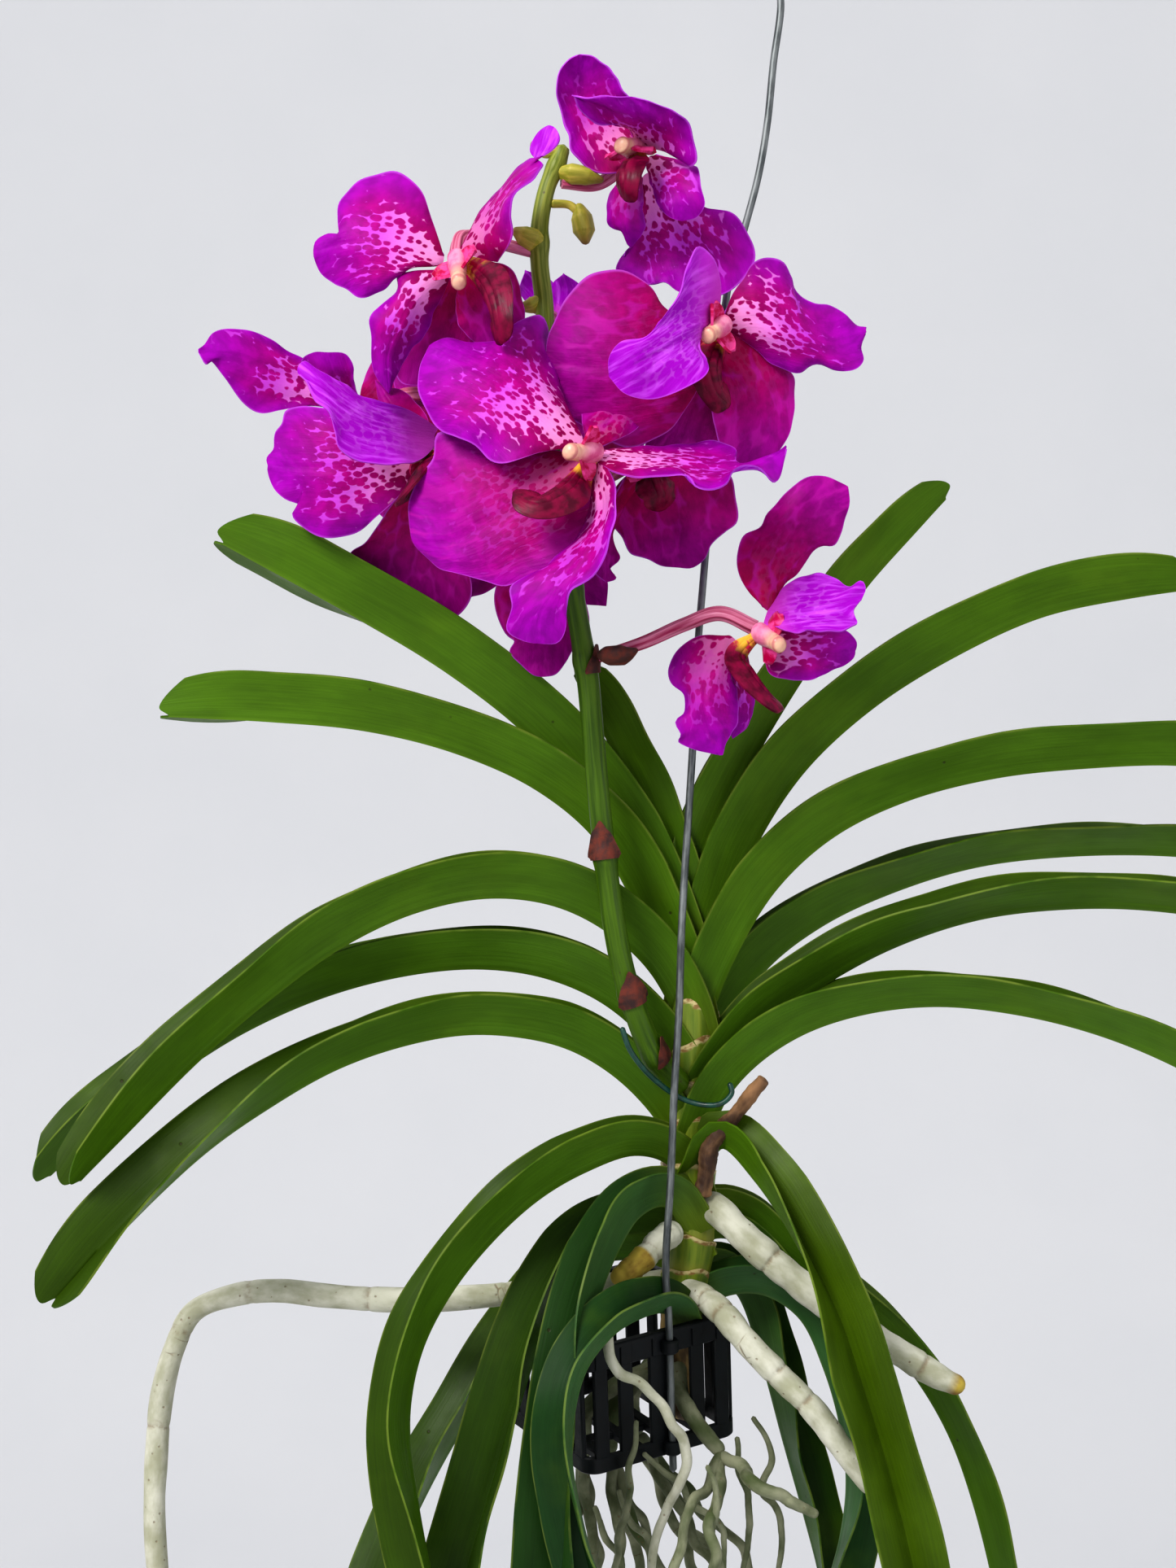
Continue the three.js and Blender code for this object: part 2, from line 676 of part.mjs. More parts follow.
        left: [[516, 542, -34], [500, 512, -20], [486, 480, -12], [484, 455, -8], [500, 440, -8]],
        right: [[540, 545, -34], [560, 512, -20], [556, 475, -12], [532, 445, -8], [500, 440, -8]],
      },
    ],
  },
  bloom_behind_right: {
    heart: [790, 560, -30],
    column: [[792, 564, -34], [804, 574, -42]],
    lip: [[796, 574, -34], [806, 592, -40], [812, 610, -40], [812, 628, -36]],
    pedicel: [[686, 610, -34], [740, 590, -24], [790, 560, -30]],
    hidden: true,
    petals: [
      {
        mid: [[795, 570, -28], [815, 610, -24], [828, 650, -24], [836, 698, -30]],
        left: [
          [806, 562, -28], [868, 565, -22], [898, 585, -20], [905, 615, -20], [906, 641, -22],
          [890, 658, -24], [874, 671, -26], [866, 687, -28], [851, 698, -28], [836, 698, -30],
        ],
        right: [
          [785, 572, -28], [756, 600, -24], [750, 640, -24], [763, 658, -26], [776, 681, -28],
          [796, 686, -28], [812, 695, -28], [836, 698, -30],
        ],
      },
      {
        mid: [[775, 585, -28], [756, 630, -28], [745, 672, -30], [745, 716, -34]],
        left: [
          [786, 590, -26], [766, 630, -24], [752, 660, -26], [761, 688, -30], [750, 700, -32],
          [757, 711, -32], [745, 716, -34],
        ],
        right: [[766, 590, -30], [740, 640, -32], [732, 680, -32], [731, 703, -34], [745, 716, -34]],
      },
      {
        mid: [[800, 556, -26], [840, 552, -16], [880, 545, -10], [915, 540, -8]],
        left: [[798, 550, -26], [835, 512, -14], [885, 502, -8], [915, 536, -8]],
        right: [[800, 564, -26], [838, 588, -16], [888, 584, -10], [915, 540, -8]],
      },
      {
        mid: [[782, 552, -24], [770, 515, -14], [765, 480, -8], [765, 440, -6]],
        left: [[776, 552, -24], [730, 520, -14], [718, 480, -8], [740, 446, -6], [765, 440, -6]],
        right: [[788, 550, -24], [814, 515, -14], [812, 476, -8], [792, 446, -6], [765, 440, -6]],
      },
      {
        mid: [[776, 556, -22], [740, 545, -12], [705, 540, -6], [670, 540, -4]],
        left: [[776, 562, -22], [742, 586, -12], [696, 584, -6], [670, 544, -4]],
        right: [[776, 550, -22], [745, 508, -12], [700, 500, -6], [670, 538, -4]],
      },
    ],
  },
  bloom_behind_low: {
    heart: [655, 650, -12],
    column: [[655, 652, -16], [650, 662, -28]],
    lip: [[655, 664, -18], [652, 682, -28], [652, 700, -30], [654, 716, -28]],
    pedicel: [[690, 650, -34], [680, 640, -20], [655, 650, -12]],
    hidden: true,
    petals: [
      {
        mid: [[658, 665, -12], [666, 720, -14], [668, 775, -18], [667, 832, -22]],
        left: [
          [668, 664, -10], [700, 690, -10], [716, 725, -12], [725, 755, -14], [720, 782, -16],
          [704, 799, -18], [696, 813, -20], [683, 829, -22], [667, 832, -22],
        ],
        right: [
          [646, 665, -12], [620, 700, -12], [609, 725, -14], [608, 746, -16], [619, 775, -18],
          [632, 788, -20], [626, 800, -20], [640, 817, -22], [656, 830, -22], [667, 832, -22],
        ],
      },
      {
        mid: [[648, 656, -10], [610, 680, 2], [575, 700, 8], [540, 715, 10]],
        left: [[651, 662, -9], [622, 708, 4], [590, 732, 10], [556, 736, 12], [540, 715, 10]],
        right: [[644, 650, -9], [600, 650, 4], [560, 668, 10], [538, 692, 12], [540, 715, 10]],
      },
      {
        mid: [[664, 655, -8], [698, 688, 4], [724, 718, 8], [745, 745, 10]],
        left: [[668, 651, -7], [716, 676, 6], [744, 706, 10], [745, 745, 10]],
        right: [[660, 660, -7], [682, 702, 6], [708, 738, 10], [745, 745, 10]],
      },
      {
        mid: [[646, 642, -8], [612, 620, 6], [580, 602, 14], [550, 585, 18]],
        left: [[643, 646, -7], [596, 642, 8], [560, 628, 16], [544, 604, 20], [550, 585, 18]],
        right: [[650, 638, -7], [628, 594, 8], [598, 576, 16], [568, 574, 20], [550, 585, 18]],
      },
      {
        mid: [[660, 640, -8], [668, 600, 4], [672, 560, 12], [676, 520, 16]],
        left: [[655, 640, -7], [636, 602, 6], [634, 562, 14], [652, 530, 18], [676, 520, 16]],
        right: [[666, 641, -7], [700, 604, 6], [708, 564, 14], [698, 532, 18], [676, 520, 16]],
      },
    ],
  },
  bloom_behind_left: {
    heart: [436, 515, -4],
    column: [[436, 517, 0], [430, 524, 8]],
    lip: [[434, 524, 2], [428, 540, 10], [422, 556, 12], [418, 570, 8]],
    pedicel: [[664, 440, -32], [550, 470, -12], [436, 515, -4]],
    hidden: true,
    petals: [
      {
        mid: [[428, 500, -6], [385, 478, -10], [335, 456, -14], [290, 436, -18], [244, 433, -22]],
        left: [
          [430, 508, -6], [386, 499, -10], [345, 504, -12], [320, 508, -14], [300, 496, -16],
          [275, 463, -18], [258, 442, -20], [253, 448, -24], [244, 433, -22],
        ],
        right: [
          [428, 490, -6], [408, 460, -10], [372, 440, -10], [345, 428, -12], [315, 412, -14],
          [285, 404, -16], [262, 409, -18], [251, 424, -20], [244, 429, -22],
        ],
      },
      {
        mid: [[434, 504, -4], [420, 480, -10], [409, 456, -16], [402, 433, -18]],
        left: [
          [428, 506, -4], [395, 482, -12], [375, 462, -16], [371, 442, -18], [386, 433, -18],
          [402, 433, -18],
        ],
        right: [
          [440, 508, -4], [440, 490, -8], [435, 470, -12], [434, 452, -14], [424, 435, -16],
          [402, 433, -18],
        ],
      },
      {
        mid: [[444, 508, -2], [470, 480, 4], [486, 450, 8], [494, 418, 8]],
        left: [[440, 506, -2], [446, 470, 4], [462, 438, 8], [494, 416, 8]],
        right: [[450, 512, -2], [494, 496, 4], [514, 462, 8], [494, 418, 8]],
      },
      {
        mid: [[446, 525, -2], [470, 565, 6], [490, 600, 10], [505, 640, 10]],
        left: [[452, 520, -2], [504, 552, 6], [534, 598, 10], [528, 634, 10], [505, 642, 10]],
        right: [[440, 528, -2], [444, 580, 6], [458, 622, 10], [484, 644, 10], [505, 642, 10]],
      },
      {
        mid: [[430, 528, -2], [405, 565, 4], [385, 595, 6], [375, 622, 4]],
        left: [[438, 528, -2], [436, 576, 4], [420, 612, 6], [375, 626, 4]],
        right: [[424, 524, -2], [378, 552, 4], [352, 586, 6], [375, 624, 4]],
      },
    ],
  },
  bloom_behind_top: {
    heart: [690, 400, 6],
    column: [[690, 402, 10], [690, 408, 18]],
    lip: [[690, 412, 12], [690, 428, 20], [690, 446, 20], [690, 460, 16]],
    pedicel: [[668, 385, -32], [660, 378, -14], [690, 400, 6]],
    hidden: true,
    petals: [
      {
        mid: [[688, 394, 6], [672, 370, 6], [658, 350, 4], [645, 334, 0]],
        left: [[694, 394, 6], [690, 366, 6], [676, 344, 4], [645, 332, 0]],
        right: [[682, 396, 6], [656, 380, 6], [638, 358, 4], [645, 334, 0]],
      },
      {
        mid: [[692, 394, 6], [696, 375, 6], [698, 355, 4], [692, 337, 0]],
        left: [[698, 394, 6], [722, 378, 6], [714, 352, 4], [692, 336, 0]],
        right: [[686, 394, 6], [672, 375, 6], [678, 350, 4], [692, 337, 0]],
      },
      {
        mid: [[700, 400, 6], [745, 405, 10], [790, 415, 10], [830, 430, 6]],
        left: [[698, 406, 6], [735, 446, 10], [788, 462, 10], [830, 434, 6]],
        right: [[698, 394, 6], [745, 358, 10], [800, 366, 10], [830, 428, 6]],
      },
      {
        mid: [[696, 410, 6], [720, 450, 10], [735, 490, 10], [745, 530, 8]],
        left: [[690, 412, 6], [676, 460, 10], [690, 508, 10], [745, 534, 8]],
        right: [[702, 406, 6], [764, 438, 10], [788, 486, 10], [745, 532, 8]],
      },
      {
        mid: [[684, 410, 6], [660, 445, 10], [640, 480, 12], [620, 515, 10]],
        left: [[678, 406, 6], [618, 432, 10], [592, 478, 12], [620, 518, 10]],
        right: [[692, 412, 6], [702, 456, 10], [686, 504, 12], [620, 517, 10]],
      },
    ],
  },
};

// The hanger wire above the basket
const WIRE = [
  [818, 1560, -31], [824, 1450, -30], [829, 1330, -28], [834, 1250, -27],
  [838, 1130, -25], [846, 1000, -23], [851, 920, -21], [857, 800, -19],
  [866, 690, -17], [876, 560, -14], [884, 450, -12], [896, 345, -10],
  [915, 280, -8], [932, 215, -7], [943, 150, -5], [950, 80, -3],
  [959, 0, -1],
];

const STEM = {
  path: [
    [842, 1745, 0], [838, 1690, 0], [834, 1640, 0], [838, 1590, 0],
    [848, 1540, 0], [850, 1490, 0], [846, 1430, 0], [848, 1370, 0],
    [850, 1300, 0], [848, 1230, 0], [845, 1170, 0],
  ],
  radii: [6, 6, 6.5, 7, 7, 8, 9, 10, 10, 8, 4],
};

const DEAD_SPIKE = {
  path: [
    [862, 1470, -12], [868, 1440, -13], [872, 1410, -14], [880, 1396, -15],
    [905, 1368, -18], [925, 1342, -20], [940, 1325, -21],
  ],
  radii: [3.2, 3, 3.4, 3.2, 2.6, 2.6, 2.4],
};

const SPIKE = {
  path: [
    [838, 1335, -10], [818, 1315, -18], [800, 1290, -24], [780, 1240, -28],
    [765, 1190, -30], [752, 1120, -31], [742, 1040, -31], [733, 950, -31],
    [727, 880, -31], [722, 830, -31], [712, 770, -32], [703, 720, -34],
    [690, 650, -35], [678, 560, -35], [670, 470, -34], [669, 380, -33],
    [663, 325, -32], [663, 280, -32], [672, 232, -32], [686, 198, -32],
    [693, 178, -32],
  ],
  radii: [
    4.6, 4.4, 4.2, 4, 4, 3.9, 3.8, 3.8, 3.8, 3.9, 3.7,
    3.5, 3.3, 3.2, 3.1, 3, 3.1, 3.2, 3.1, 2.9, 2.6,
  ],
};

const AERIAL_ROOTS = {
  root_left: {
    path: [
      [832, 1572, 3], [790, 1578, 8], [740, 1580, 9], [680, 1584, 8],
      [600, 1592, 6], [520, 1597, 6], [450, 1596, 8], [400, 1592, 10],
      [345, 1586, 12], [290, 1591, 14], [238, 1612, 16], [215, 1655, 14],
      [200, 1710, 12], [193, 1780, 10], [190, 1850, 8], [193, 1920, 8],
      [202, 1990, 8], [218, 2060, 8],
    ],
    radii: [4.4, 4.4, 4.4, 4.4, 4.4, 4.4, 4.4, 4.4, 4.2, 4, 3.9, 4, 4.1, 4.2, 4, 3.8, 3.6, 3],
    steps: 17,
  },
  root_right: {
    path: [
      [862, 1475, -4], [885, 1490, -10], [915, 1520, -16], [955, 1555, -20],
      [1005, 1595, -22], [1060, 1635, -24], [1110, 1665, -24], [1150, 1690, -24],
      [1185, 1706, -24],
    ],
    radii: [5.2, 5.4, 5.3, 5.2, 5.1, 5, 4.9, 4.6, 3.2],
    steps: 8,
  },
  root_front: {
    path: [
      [840, 1588, -6], [860, 1592, -16], [886, 1612, -28], [920, 1652, -38],
      [960, 1693, -42], [1000, 1733, -45], [1035, 1780, -46], [1060, 1810, -46],
      [1085, 1838, -44], [1105, 1870, -40],
    ],
    radii: [4.6, 4.8, 4.6, 4.5, 4.4, 4.3, 4.2, 4.2, 4.1, 3.4],
    steps: 8,
  },
  root_stub: {
    path: [
      [832, 1512, -6], [815, 1522, -14], [795, 1542, -20], [775, 1560, -24],
      [752, 1575, -26],
    ],
    radii: [4.6, 4.8, 4.6, 4.4, 3],
    steps: 4,
  },
  root_thin_front: {
    path: [
      [836, 1580, -6], [800, 1594, -20], [766, 1616, -38], [744, 1640, -54],
      [748, 1668, -57], [762, 1684, -56], [785, 1697, -54], [805, 1722, -52],
      [828, 1748, -50], [842, 1778, -46], [838, 1815, -42], [822, 1850, -38],
      [806, 1890, -36], [800, 1940, -34], [806, 2010, -32],
    ],
    radii: [1.7, 1.7, 1.7, 1.8, 1.8, 1.8, 1.8, 1.7, 1.7, 1.6, 1.2],
    steps: 15,
  },
};

const SPIKE_CLIP = [
  [764, 1262, -33], [773, 1288, -34], [788, 1310, -33], [808, 1330, -28],
  [838, 1350, -24.5], [868, 1358, -26], [888, 1355, -28], [899, 1343, -28], [896, 1330, -27],
];

const BRACTS = [
  { path: [[737, 1010, -31], [733, 1030, -36], [742, 1055, -35]], radii: [2.2, 4.2, 2.6] },
  { path: [[761, 1190, -30], [764, 1212, -35], [774, 1236, -33]], radii: [2.2, 4.2, 2.6] },
  { path: [[800, 1290, -26], [800, 1305, -29], [812, 1318, -24]], radii: [2.6, 4.4, 3.0] },
  { path: [[668, 300, -32], [650, 292, -34], [630, 282, -35]], radii: [2.4, 4.2, 1.6] },
  { path: [[684, 212, -32], [712, 214, -34], [742, 222, -33]], radii: [2.2, 3.4, 1.2] },
  {
    path: [[676, 250, -32], [700, 252, -30], [716, 268, -30], [722, 300, -30]],
    radii: [1.6, 1.6, 4.2, 1.2],
  },
  { path: [[690, 185, -32], [672, 186, -32], [652, 176, -31]], radii: [1.8, 2.6, 1.0] },
  { path: [[666, 365, -33], [655, 374, -33], [640, 378, -32]], radii: [1.8, 3.0, 1.2] },
];

// Roots that branch below the basket: a trunk in the basket's axes, its strands in the sighting grid
const ROOT_BUNCHES = [
  {
    trunk: [[18, -3, -20], [10, 0, -30], [1, 4, -40], [0, 5, -48], [-2, 4, -58]],
    strands: [
      { ends: [[812, 1960, -6], [806, 2210, -2]], radius: 1.9 },
      { ends: [[768, 1980, -14], [752, 2160, -12]], radius: 1.7 },
      { ends: [[790, 1950, 14], [778, 2290, 18]], radius: 1.8 },
      { ends: [[840, 1990, 20], [852, 2140, 24]], radius: 1.6 },
    ],
  },
  {
    trunk: [[20, -3, -24], [16, 8, -34], [13, 12, -42], [13, 12, -50], [15, 12, -58]],
    strands: [
      { ends: [[885, 1950, 6], [880, 2180, 4]], radius: 1.9 },
      { ends: [[925, 1930, 18], [938, 2120, 16]], radius: 1.7 },
      { ends: [[868, 1970, 34], [872, 2330, 40]], radius: 1.8 },
      { ends: [[915, 1990, 40], [905, 2240, 44]], radius: 1.6 },
    ],
  },
  {
    trunk: [[14, -4, -26], [0, -1, -30], [-12, 2, -38], [-13, 3, -48], [-14, 3, -58]],
    strands: [
      { ends: [[735, 1960, 0], [728, 2260, -4]], radius: 1.9 },
      { ends: [[700, 1950, 14], [690, 2130, 16]], radius: 1.7 },
      { ends: [[745, 1990, 30], [738, 2200, 34]], radius: 1.7 },
    ],
  },
  {
    trunk: [[17, -14, -22], [11, -24, -27], [9.7, -31, -31], [12, -38, -38], [16, -43, -45]],
    strands: [
      { ends: [[935, 1826, -50], [1005, 1862, -46]], radius: 2.3 },
      { ends: [[875, 1880, -52], [880, 2050, -44]], radius: 1.9 },
      { ends: [[838, 1880, -54], [826, 2080, -50]], radius: 1.7 },
    ],
  },
];

// Millimetre position of a point of the sighting grid
function place([across, down, depth]) {
  const scale = GRID.step * (GRID.eyeDistance + depth) / GRID.eyeDistance;
  return new THREE.Vector3(
    GRID.centreX + (across - GRID.centreAcross) * scale,
    depth,
    GRID.centreZ + (GRID.centreDown - down) * scale,
  );
}

// Value at u (0 to 1) of a list spread evenly from 0 to 1
function ramp(values, u) {
  const at = u * (values.length - 1);
  const i = Math.min(Math.floor(at), values.length - 2);
  return i < 0 ? values[0] : values[i] + (values[i + 1] - values[i]) * (at - i);
}

// Evenly spaced points along a share (span) of a smooth curve, with the tangent at each
function trace(points, steps, span = 1) {
  const curve = new THREE.CatmullRomCurve3(points, false, 'centripetal');
  const spots = [];
  for (let i = 0; i <= steps; i += 1) {
    const u = (i / steps) * span;
    spots.push({ at: curve.getPointAt(u), along: curve.getTangentAt(u), u });
  }
  return spots;
}

// Part of v at right angles to axis, at unit length
function square(v, axis) {
  return v.clone().addScaledVector(axis, -v.dot(axis)).normalize();
}

// Closed solid of a list of vertices and triangles
function solidOf(vertices, triangles) {
  const mesh = new wasm.Mesh({
    numProp: 3,
    vertProperties: new Float32Array(vertices.flatMap((v) => [v.x, v.y, v.z])),
    triVerts: new Uint32Array(triangles.flat()),
  });
  return new wasm.Manifold(mesh);
}

// Closed solid of a three.js geometry
function solidOfGeometry(geometry, matrix) {
  const plain = geometry.clone();
  plain.deleteAttribute('normal');
  plain.deleteAttribute('uv');
  plain.applyMatrix4(matrix);
  const merged = mergeVertices(plain, 1e-4);
  const mesh = new wasm.Mesh({
    numProp: 3,
    vertProperties: new Float32Array(merged.attributes.position.array),
    triVerts: new Uint32Array(merged.index.array),
  });
  return new wasm.Manifold(mesh);
}

// Closed blade between two grids of rows, split into triangles alike on both faces
function blade(upper, lower) {
  const rows = upper.length;
  const columns = upper[0].length;
  const top = (i, j) => i * columns + j;
  const bottom = (i, j) => rows * columns + i * columns + j;
  const triangles = [];
  for (let i = 0; i < rows - 1; i += 1) {
    for (let j = 0; j < columns - 1; j += 1) {
      triangles.push([top(i, j), top(i + 1, j), top(i + 1, j + 1)]);
      triangles.push([top(i, j), top(i + 1, j + 1), top(i, j + 1)]);
      triangles.push([bottom(i, j), bottom(i + 1, j + 1), bottom(i + 1, j)]);
      triangles.push([bottom(i, j), bottom(i, j + 1), bottom(i + 1, j + 1)]);
    }
  }
  const edge = [];
  for (let i = 0; i < rows; i += 1) edge.push([i, 0]);
  for (let j = 1; j < columns; j += 1) edge.push([rows - 1, j]);
  for (let i = rows - 2; i >= 0; i -= 1) edge.push([i, columns - 1]);
  for (let j = columns - 2; j > 0; j -= 1) edge.push([0, j]);
  edge.forEach(([i, j], k) => {
    const [m, n] = edge[(k + 1) % edge.length];
    triangles.push([top(i, j), bottom(i, j), bottom(m, n)]);
    triangles.push([top(i, j), bottom(m, n), top(m, n)]);
  });
  const body = solidOf([...upper.flat(), ...lower.flat()], triangles);
  return body.volume() > 0 ? body : solidOf([...lower.flat(), ...upper.flat()], triangles);
}

// Round bar through rings of the given spots, closed at both ends
function ringed(spots, radii, sides, grow) {
  const vertices = [];
  const triangles = [];
  let out = new THREE.Vector3(0, -1, 0.3);
  spots.forEach(({ at, along, u }, i) => {
    out = square(out, along);
    const across = new THREE.Vector3().crossVectors(along, out);
    const radius = ramp(radii, u) + grow;
    for (let k = 0; k < sides; k += 1) {
      const turn = (k / sides) * 2 * Math.PI;
      const spot = at.clone().addScaledVector(out, radius * Math.cos(turn));
      vertices.push(spot.addScaledVector(across, radius * Math.sin(turn)));
      if (i > 0) {
        const a = (i - 1) * sides + k;
        const b = (i - 1) * sides + ((k + 1) % sides);
        triangles.push([a, b, b + sides], [a, b + sides, a + sides]);
      }
    }
  });
  const last = (spots.length - 1) * sides;
  for (let k = 1; k < sides - 1; k += 1) {
    triangles.push([0, k + 1, k], [last, last + k, last + k + 1]);
  }
  return solidOf(vertices, triangles);
}

// Tapered round bar along a smooth path, in even steps
function bar(points, radii, { steps, sides }, grow) {
  return ringed(trace(points, steps), radii, sides, grow);
}

// Round bar with one ring at each point of its path
function barThrough(points, radius, { sides }) {
  const curve = new THREE.CatmullRomCurve3(points, false, 'centripetal');
  const spots = points.map((at, i) => {
    const u = i / (points.length - 1);
    return { at, along: curve.getTangent(u), u };
  });
  return ringed(spots, [radius], sides, 0);
}

// Keeled strap leaf: two half blades that fold up from the keel
function leafSolid(leaf, side, grow) {
  const upper = [];
  const lower = [];
  const reach = (LEAF_THICKNESS / 2) + grow;
  trace(leaf.keel.map(place), LEAF_ROWS).forEach(({ at, along, u }) => {
    const level = square(new THREE.Vector3(0, 1, 0), along);
    const rise = new THREE.Vector3().crossVectors(along, level).multiplyScalar(side);
    const roll = THREE.MathUtils.degToRad(ramp(leaf.roll, u));
    const fold = THREE.MathUtils.degToRad(ramp(leaf.fold, u));
    const up = rise.clone().multiplyScalar(Math.cos(roll)).addScaledVector(level, Math.sin(roll));
    const over = level.clone().multiplyScalar(Math.cos(roll)).addScaledVector(rise, -Math.sin(roll));
    const opening = Math.min(1, LEAF_FOOT_SHARE + LEAF_WIDENING * u);
    const half = leaf.halfWidth * opening * (u > LEAF_END.from ? LEAF_END.share : 1) + grow;
    const keelReach = reach / Math.max(Math.cos(fold), LEAST_FOLD_COSINE);
    const row = [-1, 0, 1].map((j) => {
      const spot = at.clone().addScaledVector(over, j * half * Math.cos(fold));
      spot.addScaledVector(up, Math.abs(j) * half * Math.sin(fold));
      const normal = up.clone().multiplyScalar(j === 0 ? 1 : Math.cos(fold));
      normal.addScaledVector(over, -j * Math.sin(fold));
      return { spot, normal, reach: j === 0 ? keelReach : reach };
    });
    upper.push(row.map((p) => p.spot.clone().addScaledVector(p.normal, p.reach)));
    lower.push(row.map((p) => p.spot.clone().addScaledVector(p.normal, -p.reach)));
  });
  return blade(upper, lower);
}

// Petal or sepal: a thin blade between its left edge, its midrib, which starts close to the heart,
// and its right edge
function petalSolid(petal, heart, rows, grow) {
  const mid = petal.mid.map(place);
  mid.unshift(heart.clone().lerp(mid[0], PETAL_FOOT_SHARE));
  const lines = [petal.left.map(place), mid, petal.right.map(place)];
  const traces = lines.map((points) => trace(points, rows, PETAL_SPAN));
  const grid = traces[0].map((_, i) => traces.map((spots) => spots[i].at));
  for (const row of grid) {
    const outward = row[2].clone().sub(row[0]).setLength(grow);
    row[0].sub(outward);
    row[2].add(outward);
  }
  grid[rows].forEach((spot, j) => spot.add(spot.clone().sub(grid[rows - 1][j]).setLength(grow)));
  const step = (i, j, di, dj) => {
    const ahead = grid[Math.min(i + di, rows)][Math.min(j + dj, 2)];
    return ahead.clone().sub(grid[Math.max(i - di, 0)][Math.max(j - dj, 0)]);
  };
  const reach = PETAL_THICKNESS / 2 + grow;
  const shifted = (by) => grid.map((row, i) => row.map((spot, j) => {
    const normal = step(i, j, 0, 1).cross(step(i, j, 1, 0)).normalize();
    return spot.clone().addScaledVector(normal, by);
  }));
  return blade(shifted(reach), shifted(-reach));
}

// A bloom: five petals, the lip, the column and the pedicel, joined by a small ball at the heart
function bloomSolid(bloom, grow) {
  const centre = place(bloom.heart);
  const rows = bloom.hidden ? HIDDEN_PETAL_ROWS : PETAL_ROWS;
  const parts = [
    solidOfGeometry(
      new THREE.IcosahedronGeometry(HEART_RADIUS + grow),
      new THREE.Matrix4().makeTranslation(centre),
    ),
    bar([centre, ...bloom.column.map(place)], COLUMN_RADII, MESH.column, grow),
    bar([centre, ...bloom.lip.map(place)], LIP_RADII, MESH.lip, grow),
    bar(bloom.pedicel.map(place), [PEDICEL_RADIUS], MESH.pedicel, grow),
    ...bloom.petals.map((petal) => petalSolid(petal, centre, rows, grow)),
  ];
  return parts.reduce((body, part) => body.add(part));
}

// Slatted basket, in its own axes: x along a wall, z up, the rim's top at z = 0
function basketSolid(grow) {
  const { width, height, wall, rim, base, cornerRadius } = BASKET;
  const box = (w, d, h, x, y, z) => solidOfGeometry(
    new THREE.BoxGeometry(w + 2 * grow, d + 2 * grow, h + 2 * grow),
    new THREE.Matrix4().makeTranslation(x, y, z),
  );
  const outline = (half, radius) => {
    const shape = new THREE.Shape();
    shape.absarc(half - radius, half - radius, radius, 0, Math.PI / 2);
    shape.absarc(radius - half, half - radius, radius, Math.PI / 2, Math.PI);
    shape.absarc(radius - half, radius - half, radius, Math.PI, 1.5 * Math.PI);
    shape.absarc(half - radius, radius - half, radius, 1.5 * Math.PI, 2 * Math.PI);
    return shape;
  };
  const band = (tall, bottom) => {
    const shape = outline(width / 2 + grow, cornerRadius + grow);
    shape.holes.push(outline(width / 2 - wall - grow, cornerRadius - wall - grow));
    const settings = { depth: tall + 2 * grow, bevelEnabled: false, curveSegments: 1 };
    const raise = new THREE.Matrix4().makeTranslation(0, 0, bottom - grow);
    return solidOfGeometry(new THREE.ExtrudeGeometry(shape, settings), raise);
  };
  const parts = [band(rim, -rim), band(base, -height)];
  const inset = (width - wall) / 2;
  for (let side = 0; side < 4; side += 1) {
    const turn = new THREE.Matrix4().makeRotationZ(side * Math.PI / 2);
    const onWall = (w, d, h, x, y, z) => solidOfGeometry(
      new THREE.BoxGeometry(w + 2 * grow, d + 2 * grow, h + 2 * grow),
      turn.clone().multiply(new THREE.Matrix4().makeTranslation(x, y, z)),
    );
    const slatHeight = height - rim - base + 2 * BASKET.slatLap;
    for (const [x, w] of BASKET.slats) {
      parts.push(onWall(w, BASKET.slatWall, slatHeight, x, -inset, -(height + rim - base) / 2));
    }
    const lugY = -inset - BASKET.lugReach / 2;
    for (const level of [-rim * BASKET.lugShare, base * BASKET.lugShare - height]) {
      parts.push(onWall(BASKET.lugWidth, BASKET.lugReach, BASKET.lugHeight, WIRE_SEAT.along, lugY, level));
    }
  }
  const floorZ = BASKET.floorRise - height;
  const barWidth = BASKET.floorBarWidth;
  for (const x of BASKET.floorBars) {
    parts.push(box(barWidth, width - wall, BASKET.floorBarHeight, x, 0, floorZ));
  }
  parts.push(box(width - wall, barWidth, BASKET.crossBarHeight, 0, WIRE_SEAT.crossBar, floorZ));
  return parts.reduce((all, part) => all.add(part)).transform(basketPose().elements);
}

// Pose of the basket: its top centre, turned, tipped towards the viewer and leaned
function basketPose() {
  const turn = (angle) => THREE.MathUtils.degToRad(angle);
  return new THREE.Matrix4().makeTranslation(...BASKET.topCentre)
    .multiply(new THREE.Matrix4().makeRotationY(turn(BASKET.lean)))
    .multiply(new THREE.Matrix4().makeRotationX(turn(BASKET.tip)))
    .multiply(new THREE.Matrix4().makeRotationZ(turn(BASKET.yaw)));
}

// A point given in the basket's axes
function inBasket(x, y, z) {
  return new THREE.Vector3(x, y, z).applyMatrix4(basketPose());
}

const group = new THREE.Group();
const grownBodies = [];

// Largest connected body of a solid
function largest(solid) {
  return solid.decompose().reduce((best, part) => (part.volume() > best.volume() ? part : best));
}

